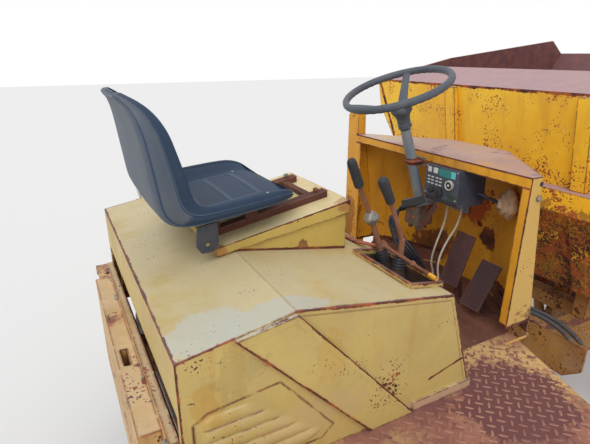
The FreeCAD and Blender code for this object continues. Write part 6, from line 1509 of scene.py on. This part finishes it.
class Cords:
    """The four free cords: two cables under the instrument box and two hoses on the cross plate."""

    @staticmethod
    def routes() -> dict[str, tuple[tuple[float, float, float], ...]]:
        """The points of each route."""
        return {
            "cable_left": ((-0.344, -0.070, 1.198), (-0.344, -0.070, 1.118), (-0.374, -0.060, 1.018),
                           (-0.370, -0.036, 0.923), (-0.334, -0.028, 0.858), (-0.334, -0.028, 0.790)),
            "cable_right": ((-0.344, -0.140, 1.198), (-0.344, -0.140, 1.128), (-0.368, -0.106, 1.038),
                            (-0.394, -0.096, 0.948), (-0.376, -0.100, 0.863), (-0.376, -0.100, 0.790)),
            "front_hose_inner": ((0.176, -0.086, 0.615), (0.176, -0.150, 0.615), (0.192, -0.220, 0.615),
                                 (0.184, -0.300, 0.615), (0.158, -0.370, 0.615), (0.124, -0.432, 0.615)),
            "front_hose_outer": ((0.140, -0.086, 0.615), (0.140, -0.150, 0.615), (0.158, -0.222, 0.615),
                                 (0.148, -0.300, 0.615), (0.126, -0.360, 0.615), (0.104, -0.400, 0.615)),
        }

    def build(self) -> None:
        """Make all four."""
        routes = self.routes()
        lengths = {"cable_left": 0.415, "cable_right": 0.415, "front_hose_inner": 0.354, "front_hose_outer": 0.322}
        for name in ("cable_left", "cable_right"):
            Cord(f"{name}_sheath", name, Body.REAR, 0.008, routes[name], Finishes.wire, Slot.HOSE,
                 lengths[name]).build()
        for name in ("front_hose_inner", "front_hose_outer"):
            end = self.fitting(f"{name}_end", routes[name])
            Cord(f"{name}_rubber", name, Body.FRONT, 0.018, routes[name], Finishes.hose, Slot.HOSE,
                 lengths[name], far_end="fitting", stiffness="stiff", with_pieces=(end,)).build()

    @staticmethod
    def fitting(name: str, route: Sequence[Sequence[float]]) -> str:
        """A crimped ferrule with its nut and open nipple on the free end of a hose; returns its name."""
        before, end = np.array(route[-2], float), np.array(route[-1], float)
        rings = [(0.0091, -0.018), (0.0098, -0.017), (0.0092, -0.014), (0.0098, -0.011), (0.0092, -0.008),
                 (0.0098, -0.005), (0.0094, -0.002), (0.0080, 0.0), (0.0080, 0.003)]
        nut = [(0.0080, 0.002), (0.0098, 0.003), (0.0098, 0.012), (0.0084, 0.013)]
        nipple = [(0.0066, 0.012), (0.0066, 0.023), (0.0058, 0.024), (0.0040, 0.0238), (0.0038, 0.016)]
        shell = Shell()
        for profile, sides in ((rings, 20), (nut, 6), (nipple, 20)):
            shell.lathe(profile, sides, end, end - before)
        shell.build(name, Finishes.steel, Body.FRONT, Slot.STEEL, 30.0)
        return name


@dataclass
class LeverFittings:
    """Grips, lumpy balls and cuffs on the two levers, and the loose rod and bar that lie over their opening."""

    drive_grip: tuple[float, float, float] = (-0.9085, -0.2503, 1.372)
    drive_way: tuple[float, float, float] = (-0.381, 0.003, 0.924)
    tipping_grip: tuple[float, float, float] = (-0.858, -0.330, 1.348)
    tipping_way: tuple[float, float, float] = (-0.447, 0.0, 0.894)

    def grips(self) -> None:
        """A ribbed sleeve on the drive lever and a pear-shaped grip on the tipping lever."""
        height = np.linspace(0.004, 0.078, 46)
        ribbed = 0.0143 + 0.0007 * np.abs(np.sin(height / 0.0075 * math.pi))
        sleeve = [(0.0100, 0.0), (0.0130, 0.001), *zip(ribbed, height), (0.0142, 0.083), (0.0122, 0.0895),
                  (0.0080, 0.0935), (0.0030, 0.0950)]
        pear = [(0.0095, -0.014), (0.0125, -0.012), (0.0140, -0.006), (0.0143, 0.010), (0.0150, 0.028),
                (0.0160, 0.044), (0.0166, 0.056), (0.0160, 0.064), (0.0138, 0.0700), (0.0090, 0.0740),
                (0.0030, 0.0755)]
        for name, profile, middle, way in (("drive_grip", sleeve, self.drive_grip, self.drive_way),
                                           ("tipping_grip", pear, self.tipping_grip, self.tipping_way)):
            shell = Shell()
            shell.lathe(profile, 36, middle, way)
            shell.build(name, Finishes.grip, Body.REAR, Slot.DARK_PLASTIC, 30.0)

    def joints(self) -> None:
        """The grey lumpy balls and the cuffs where the levers leave their boots."""
        shell = Shell()
        shell.grid(lump((-0.862, -0.254, 1.268), 0.0225))
        shell.grid(lump((-0.812, -0.252, 1.166), 0.0175))
        shell.build("lever_balls", Finishes.steel, Body.REAR, Slot.STEEL, 60.0)
        cuffs = Shell()
        height = np.linspace(0.030, 0.066, 40)
        for foot, way in (((-0.797, -0.262, 1.093), (-0.348, 0.043, 0.936)),
                          ((-0.812, -0.338, 1.093), (0.092, 0.033, 0.995))):
            folds = 0.0215 - 0.17 * (height - 0.030) + 0.0016 * np.abs(np.sin(height / 0.009 * math.pi))
            cuffs.lathe(list(zip(folds, height)), 28, foot, way)
        cuffs.build("lever_cuffs", Finishes.grip, Body.REAR, Slot.DARK_PLASTIC, 40.0)

    def loose_parts(self) -> None:
        """The rusty rod over the opening with its yellow end, and the flat bar beside the seat box."""
        rod = eased([(-0.812, -0.262, 1.170), (-0.812, -0.380, 1.163), (-0.812, -0.478, 1.1565)], 24)
        shell = Shell()
        shell.grid(tube(rod, 0.0058 + 0.0004 * np.sin(np.linspace(0.0, 23.0, 24)), 14))
        shell.grid(lump((-0.812, -0.398, 1.162), 0.0095))
        shell.build("loose_rod", Finishes.levers, Body.REAR, Slot.PLATE, 40.0)
        tip = Shell()
        tip.grid(tube(eased([(-0.812, -0.468, 1.1572), (-0.812, -0.497, 1.1552)], 8, 0), 0.0068, 14))
        tip.build("loose_rod_end", Finishes.yellow_tip, Body.REAR, Slot.COVER, 40.0)
        bar = Shell()
        bar.grid(strip(eased([(-0.838, 0.020, 1.139), (-0.826, -0.130, 1.139), (-0.816, -0.225, 1.156),
                              (-0.812, -0.250, 1.162)], 40, 6), 0.021, 0.005, (0.0, 0.0, 1.0)))
        bar.build("loose_bar", Finishes.orange_bar, Body.REAR, Slot.PLATE, 40.0)

    def build(self) -> None:
        """Make them all."""
        self.grips()
        self.joints()
        self.loose_parts()


@dataclass
class PanelFace:
    """Switches, displays, knobs, the key ring and screws on the instrument box's face."""

    face: float = -0.440
    proud: float = 0.0016

    def tiles(self, name: str, finish: Finish, tiles: Sequence[tuple[float, float, float, float]],
              radius: float = 0.002) -> None:
        """Flat rounded tiles, each from its right side, left side, lower edge and upper edge."""
        shell = Shell()
        for right, left, low, high in tiles:
            shell.grid(plate((self.face - self.proud, right, low), (self.face + 0.001, left, high), radius))
        shell.build(name, finish, Body.REAR, Slot.GREY_PLASTIC, 40.0)

    def knob(self, radius: float, height: float, ribs: int) -> np.ndarray:
        """A knob whose radius waves round its side and falls away to a flat top."""
        way = circle(ribs * 6)
        share = np.array([0.0, 0.08, 0.55, 0.85, 0.96, 1.0])
        reach = np.array([1.0, 1.04, 1.02, 0.96, 0.88, 0.70]) * radius
        ring = reach[:, None] + 0.0007 * np.cos(ribs * way)[None, :] * (share < 0.9)[:, None]
        return np.stack([ring * np.cos(way), ring * np.sin(way), np.broadcast_to((share * height)[:, None],
                                                                                 ring.shape)],
                        axis=-1)

    def build(self) -> None:
        """Make the tiles, the knobs, the ring and the screws."""
        self.tiles("panel_windows", Finishes.pale_plastic,
                   [(-0.0615, -0.0430, 1.3215, 1.3415), (-0.0935, -0.0715, 1.3215, 1.3425)])
        marks = [(-y - 0.0125, -y, z, z + 0.0045) for z in (1.3030, 1.2905, 1.2780) for y in
                 (0.0450, 0.0640, 0.0860, 0.1040)]
        self.tiles("panel_marks", Finishes.pale_plastic, marks, 0.001)
        self.tiles("panel_display", Finishes.teal, [(-0.1580, -0.1010, 1.3165, 1.3440)])
        self.tiles("panel_display_edge", Finishes.cyan, [(-0.1800, -0.1590, 1.3185, 1.3430)])
        self.tiles("panel_switch", Finishes.green, [(-0.1880, -0.1500, 1.2380, 1.2620), (-0.1400, -0.1290, 1.3010,
                                                                                         1.3090)])
        ring = Shell()
        profile = [(0.0135, 0.0), (0.0185, 0.0), (0.0190, 0.0030), (0.0180, 0.0085), (0.0150, 0.0095),
                   (0.0132, 0.0080)]
        ring.lathe(profile, 40, (self.face, -0.158, 1.292), (-1.0, 0.0, 0.0), loop=True)
        ring.lathe([(0.0050, 0.004), (0.0050, 0.0095), (0.0035, 0.0105)], 20, (self.face, -0.158, 1.292), (-1.0, 0.0,
                                                                                                           0.0))
        for y, z in ((-0.039, 1.343), (-0.189, 1.343), (-0.189, 1.241), (-0.039, 1.241)):
            ring.lathe([(0.0030, 0.0), (0.0028, 0.0014), (0.0016, 0.0022)], 12, (self.face, y, z), (-1.0, 0.0, 0.0))
        ring.build("panel_ring", Finishes.bright_ring, Body.REAR, Slot.STEEL, 40.0)
        knobs = Shell()
        knobs.grid(placed(self.knob(0.0178, 0.0115, 22), (self.face, -0.110, 1.254), (-1.0, 0.0, 0.0)))
        knobs.grid(placed(self.knob(0.0118, 0.0145, 14), (self.face, -0.072, 1.258), (-1.0, 0.0, 0.0)))
        knobs.lathe([(0.0125, 0.001), (0.0125, 0.0080), (0.0120, 0.0082)], 32, (self.face, -0.158, 1.292), (-1.0, 0.0,
                                                                                                            0.0))
        knobs.build("panel_knobs", Finishes.grip, Body.REAR, Slot.DARK_PLASTIC, 34.0)


@dataclass
class DashFittings:
    """The lumpy horn with its conduit, the pipes, bracket and strap at the column, and the side plate's bolt."""

    horn_seat: tuple[float, float, float] = (-0.2494, -0.3052, 1.233)
    horn_way: tuple[float, float, float] = (-0.824, 0.566, 0.0)

    def horn(self) -> None:
        """The horn in place of its plain solid: a turned body whose radius waves round it, with its screws."""
        profile = np.array([
            (0.022, 0.0006), (0.024, 0.012), (0.036, 0.0135), (0.052, 0.019), (0.0565, 0.028), (0.055, 0.038),
            (0.048, 0.044), (0.043, 0.0455), (0.0415, 0.056), (0.032, 0.0615), (0.021, 0.0625), (0.019, 0.071),
            (0.010, 0.0735), (0.004, 0.0738)])
        way = circle(72)
        height = profile[:, 1:2]
        reach = profile[:, :1] * (1.0 + 0.045 * np.cos(7.0 * way + 60.0 * height) + 0.03 * np.cos(3.0 * way + 1.0))
        body = np.stack([reach * np.cos(way), reach * np.sin(way), np.broadcast_to(height, reach.shape)], axis=-1)
        shell = Shell()
        shell.grid(placed(body, self.horn_seat, self.horn_way))
        turn = frames(np.array([self.horn_way]))[0]
        angle = np.radians(60.0 * np.arange(6) + 20.0)
        rim = np.stack([0.046 * np.cos(angle), 0.046 * np.sin(angle), np.full(6, 0.0445)], axis=-1)
        points, blocks = Bolts(across=0.0085, head=0.0035, washer=0.0012).template()
        repeated(shell, points, blocks, rim @ turn + np.array(self.horn_seat), np.tile(turn, (6, 1, 1)))
        piece = shell.build("horn_body", Finishes.horn, Body.REAR, Slot.TAN, 42.0)
        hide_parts("horn")

    def pipes(self) -> None:
        """The steering unit's four stiff pipes, side by side, and the horn's stiff conduit."""
        route = np.array([(-0.400, 0.075, 1.125), (-0.440, 0.111, 1.132), (-0.452, 0.131, 1.069),
                          (-0.432, 0.093, 0.986), (-0.420, 0.044, 0.950), (-0.360, 0.022, 0.870),
                          (-0.350, 0.026, 0.791)])
        shell = Shell()
        for index in range(4):
            step = index - 1.5
            beside = np.array([[0.0, -0.006 * step, 0.004], [0.005, -0.004 * step, 0.010 * step],
                               [0.006 * step, -0.010 * step, 0.0], [0.010 * step, -0.009 * step, 0.004 * step],
                               [0.008 * step, -0.012 * step, 0.006 * step], [0.004 * step, -0.014 * step, 0.0],
                               [0.0, -0.014 * step, 0.0]])
            shell.grid(tube(eased(route + beside, 60, 14), 0.0056, 12))
        shell.build("steering_pipes", Finishes.pipe, Body.REAR, Slot.HOSE, 40.0)
        conduit = Shell()
        line = eased([(-0.352, -0.192, 1.262), (-0.350, -0.222, 1.263), (-0.334, -0.250, 1.252),
                      (-0.306, -0.270, 1.238), (-0.290, -0.277, 1.235)], 50, 10)
        conduit.grid(tube(line, 0.0062 + 0.0005 * np.sin(np.linspace(0.0, 110.0, 50)), 14))
        conduit.build("horn_conduit", Finishes.pipe, Body.REAR, Slot.HOSE, 40.0)

    def plates(self) -> None:
        """The dark bracket across the column's foot, the rusty strap below it and the side plate's bolt and hole."""
        bracket = Shell()
        bracket.grid(strip(eased([(-0.437, 0.092, 1.150), (-0.437, 0.030, 1.176), (-0.440, -0.036, 1.206)], 20, 4),
                           0.030, 0.004, (-1.0, 0.0, 0.15)))
        bracket.build("column_bracket", Finishes.grip, Body.REAR, Slot.DARK_PLASTIC, 40.0)
        strap = Shell()
        strap.grid(strip(eased([(-0.432, -0.099, 1.202), (-0.440, -0.060, 1.134), (-0.443, -0.025, 1.074)], 20, 4),
                         0.022, 0.004, (-1.0, 0.0, 0.1)))
        strap.build("column_strap", Finishes.rails, Body.REAR, Slot.PLATE, 40.0)
        Bolts(across=0.017, head=0.007).build("side_plate_bolt", [(-0.376, -0.4602, 1.316)], [(0.0, -1.0, 0.0)],
                                              Body.REAR, Finishes.steel)
        hole = Shell()
        hole.lathe([(0.0085, -0.001), (0.0085, 0.0004), (0.0080, 0.0006)], 24, (-0.372, -0.460, 1.362), (0.0, -1.0,
                                                                                                         0.0))
        hole.build("side_plate_hole", Finishes.grip, Body.REAR, Slot.DARK_PLASTIC, 40.0)

    def build(self) -> None:
        """Make them all."""
        self.horn()
        self.pipes()
        self.plates()


@dataclass
class Louvres:
    """The pressed side vents: broad rounded ridges that fade out before the panel's slanted outline."""

    pitch: float = 0.036
    first: float = 0.836
    rise: float = 0.0075
    face: float = 0.5484
    back: float = 0.5430

    def surface(self) -> np.ndarray:
        """One ring for each height: along the front from the rear edge to the front edge, and back behind it.

        The relief over the height is the 0.55th power of a rectified sine; it falls to nothing towards the
        outline along a smooth S.
        """
        z = np.linspace(0.8275, 1.0395, 108)
        left = np.interp(z, [0.826, 1.004, 1.024, 1.041], [-1.5235, -1.5235, -1.4920, -1.3230])
        right = np.interp(z, [0.826, 0.856, 1.041], [-1.2055, -1.1718, -1.3190])
        share = np.linspace(0.0, 1.0, 70)
        x = left[:, None] + share[None, :] * (right - left)[:, None]
        level = z[:, None]
        ridge = np.abs(np.sin((level - self.first) / self.pitch * math.pi)) ** 0.55
        shorter = np.interp(z, [0.836, 1.016], [0.045, 0.105])[:, None]
        inside = smooth_steps(x - left[:, None], 0.012, 0.034) * smooth_steps(right[:, None] - x, shorter - 0.02,
                                                                               shorter + 0.02)
        inside = inside * smooth_steps(level, self.first - 0.002, self.first + 0.004)
        inside = inside * (1.0 - smooth_steps(level, 1.014, 1.018))
        front = np.stack([x, self.face + self.rise * ridge * inside, np.broadcast_to(level, x.shape)], axis=-1)
        behind = np.stack([x[:, ::-1], np.full_like(x, self.back), np.broadcast_to(level, x.shape)], axis=-1)
        return np.concatenate([front, behind], axis=1)

    def build(self) -> None:
        """Both panels in place of their plain solids."""
        shell = Shell()
        for side in Side:
            shell.grid(self.surface() * np.array([1.0, float(side.value), 1.0]))
        piece = shell.build("vent_pressings", Finishes.cover, Body.REAR, Slot.COVER, 50.0)
        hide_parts("vent_panels")


@dataclass
class PlateFittings:
    """Bolts, weld beads and the strips that close the dash's foot."""

    def bolts(self) -> None:
        """Bolts of the guard and the seat rails; the bumper has none, because its face ends the machine."""
        guard = [(-1.5725, side * y, z) for side in (-1, 1) for y in (0.490, 0.250) for z in (0.622, 0.928)]
        Bolts().build("rear_plate_bolts", guard, [(-1.0, 0.0, 0.0)] * len(guard), Body.REAR, Finishes.steel)
        rails = [(-0.966, 0.012 + side * 0.105, 1.3285) for side in (-1, 1)]
        Bolts(across=0.014, head=0.006).build("seat_rail_bolts", rails, [(-0.17, 0.0, 0.985)] * 2, Body.LID,
                                              Finishes.steel)

    def welds(self) -> None:
        """Beads round the dash's foot."""
        seams = []
        for side in (-1, 1):
            seams.append(((-0.415, side * 0.463, 0.7915), (-0.300, side * 0.463, 0.7915)))
            seams.append(((-0.290, side * 0.463, 0.7915), (-0.136, side * 0.150, 0.7915)))
        Welds().build("dash_foot_welds", seams, Body.REAR, Finishes.dash, Slot.DASH)

    def strips(self) -> None:
        """Flat upright strips from the slanted wings' foot down to the floor plate, one on each side."""
        shell = Shell()
        share = np.linspace(0.0, 1.0, 12)[:, None]
        for side in (-1, 1):
            start, end = np.array([-0.290, side * 0.455, 0.826]), np.array([-0.134, side * 0.143, 0.826])
            shell.grid(strip(start + share * (end - start), 0.062, 0.003, (-0.894, -side * 0.447, 0.0)))
        shell.build("dash_foot_strips", Finishes.floor, Body.REAR, Slot.PLATE, 40.0)

    def build(self) -> None:
        """Make them all."""
        self.bolts()
        self.welds()
        self.strips()


@dataclass
class Dresser:
    """Gives every CAD node that stays in view its finish."""

    plan: dict[str, Finish] = field(default_factory=lambda: {
        "rear_chassis": Finishes.chassis, "engine_block": Finishes.cast, "engine_cover": Finishes.cover,
        "vent_panels": Finishes.cover, "cover_straps": Finishes.cover, "radiator_guard": Finishes.rear_plates,
        "rear_bumper": Finishes.rear_plates, "deck_right": Finishes.deck, "deck_left": Finishes.deck,
        "footwell_floor": Finishes.floor, "dash_shell": Finishes.dash, "instrument_box": Finishes.panel,
        "horn": Finishes.horn, "steering_column": Finishes.column, "steering_unit": Finishes.cast,
        "drive_lever": Finishes.levers, "tipping_lever": Finishes.levers, "lever_boots": Finishes.tray,
        "pedals": Finishes.pedals, "seat_box": Finishes.seat_box, "seat_lid": Finishes.seat_box,
        "seat_rails": Finishes.rails, "seat_brackets": Finishes.bracket, "front_chassis": Finishes.chassis,
        "hose_block": Finishes.steel, "skip_shell": Finishes.skip, "skip_stiffeners": Finishes.skip_ribs,
        "tip_barrel": Finishes.chassis, "tip_rod": Finishes.bright, "steer_barrel": Finishes.chassis,
        "steer_rod": Finishes.bright, "rear_axle": Finishes.cast, "front_axle": Finishes.cast,
    })

    def build(self) -> None:
        """Dress the named nodes, and the wheels."""
        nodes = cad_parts
        for name, finish in self.plan.items():
            finish.dress(nodes[name])
        for name, node in nodes.items():
            if name.startswith("wheel_"):
                Finishes.rims.dress(node)
            elif name not in self.plan:
                Finishes.tyre.dress(node)
        LOG.info("dressed %d nodes", len(nodes))


@dataclass
class Studio:
    """Camera at the photograph's viewing angle, a pale floor and soft light."""

    camera_place: tuple[float, float, float] = (-1.690, -1.3205, 1.740)
    camera_turn: tuple[float, float, float] = (69.94, 0.0, -27.87)
    lens: float = 28.07
    sensor: float = 36.0
    floor_half: float = 30.0
    sky: float = 0.79
    sun: float = 1.20

    def camera(self) -> None:
        """Place the camera."""
        data = bpy.data.cameras.new("view")
        data.lens = self.lens
        data.sensor_width = self.sensor
        data.clip_end = 100.0
        camera = bpy.data.objects.new("view", data)
        camera.location = self.camera_place
        camera.rotation_euler = [math.radians(angle) for angle in self.camera_turn]
        bpy.context.scene.collection.objects.link(camera)
        bpy.context.scene.camera = camera

    def light(self) -> None:
        """A pale sky that shows white to the camera, and one broad soft sun."""
        world = bpy.data.worlds.new("studio")
        world.use_nodes = True
        bench = Bench(world.node_tree)
        world.node_tree.nodes.clear()
        path = bench.place("LightPath")
        seen = bench.highest([path.outputs["Is Camera Ray"], path.outputs["Is Glossy Ray"],
                              path.outputs["Is Transmission Ray"]])
        strength = bench.between(seen, self.sky, 1.0)
        shader = bench.place("Background", {"Color": (1.0, 1.0, 1.0, 1.0), "Strength": strength})
        bench.place("OutputWorld", {"Surface": shader.outputs[0]})
        bpy.context.scene.world = world
        data = bpy.data.lights.new("soft_sun", "SUN")
        data.energy = self.sun
        data.angle = math.radians(35.0)
        sun = bpy.data.objects.new("soft_sun", data)
        sun.rotation_euler = (math.radians(42.0), math.radians(-12.0), math.radians(-33.0))
        bpy.context.scene.collection.objects.link(sun)

    def floor(self) -> None:
        """A pale floor under the wheels."""
        mesh = bpy.data.meshes.new("studio_floor")
        half = self.floor_half
        mesh.from_pydata([(-half, -half, 0.0), (half, -half, 0.0), (half, half, 0.0), (-half, half, 0.0)], [],
                         [(0, 1, 2, 3)])
        floor = bpy.data.objects.new("studio_floor", mesh)
        material = bpy.data.materials.new("studio_floor_pale")
        material.use_nodes = True
        bench = Bench(material.node_tree)
        material.node_tree.nodes.clear()
        shader = bench.place("BsdfDiffuse", {"Color": (0.80, 0.80, 0.80, 1.0)})
        bench.place("OutputMaterial", {"Surface": shader.outputs[0]})
        mesh.materials.append(material)
        bpy.context.scene.collection.objects.link(floor)

    def build(self) -> None:
        """Camera, light and floor."""
        bpy.context.scene.view_settings.view_transform = "Standard"
        self.camera()
        self.light()
        self.floor()


def main() -> None:
    """Build the studio, dress the frame and make every piece in order."""
    for maker in (Studio(), Cords(), Dresser(), Tyre(), WheelFittings(), SeatBucket(), HandWheel(), TreadPlate(),
                  LeverFittings(), PanelFace(), DashFittings(), Louvres(), PlateFittings()):
        maker.build()
        LOG.info("made %s", type(maker).__name__)


if __name__ == "__main__":
    main()
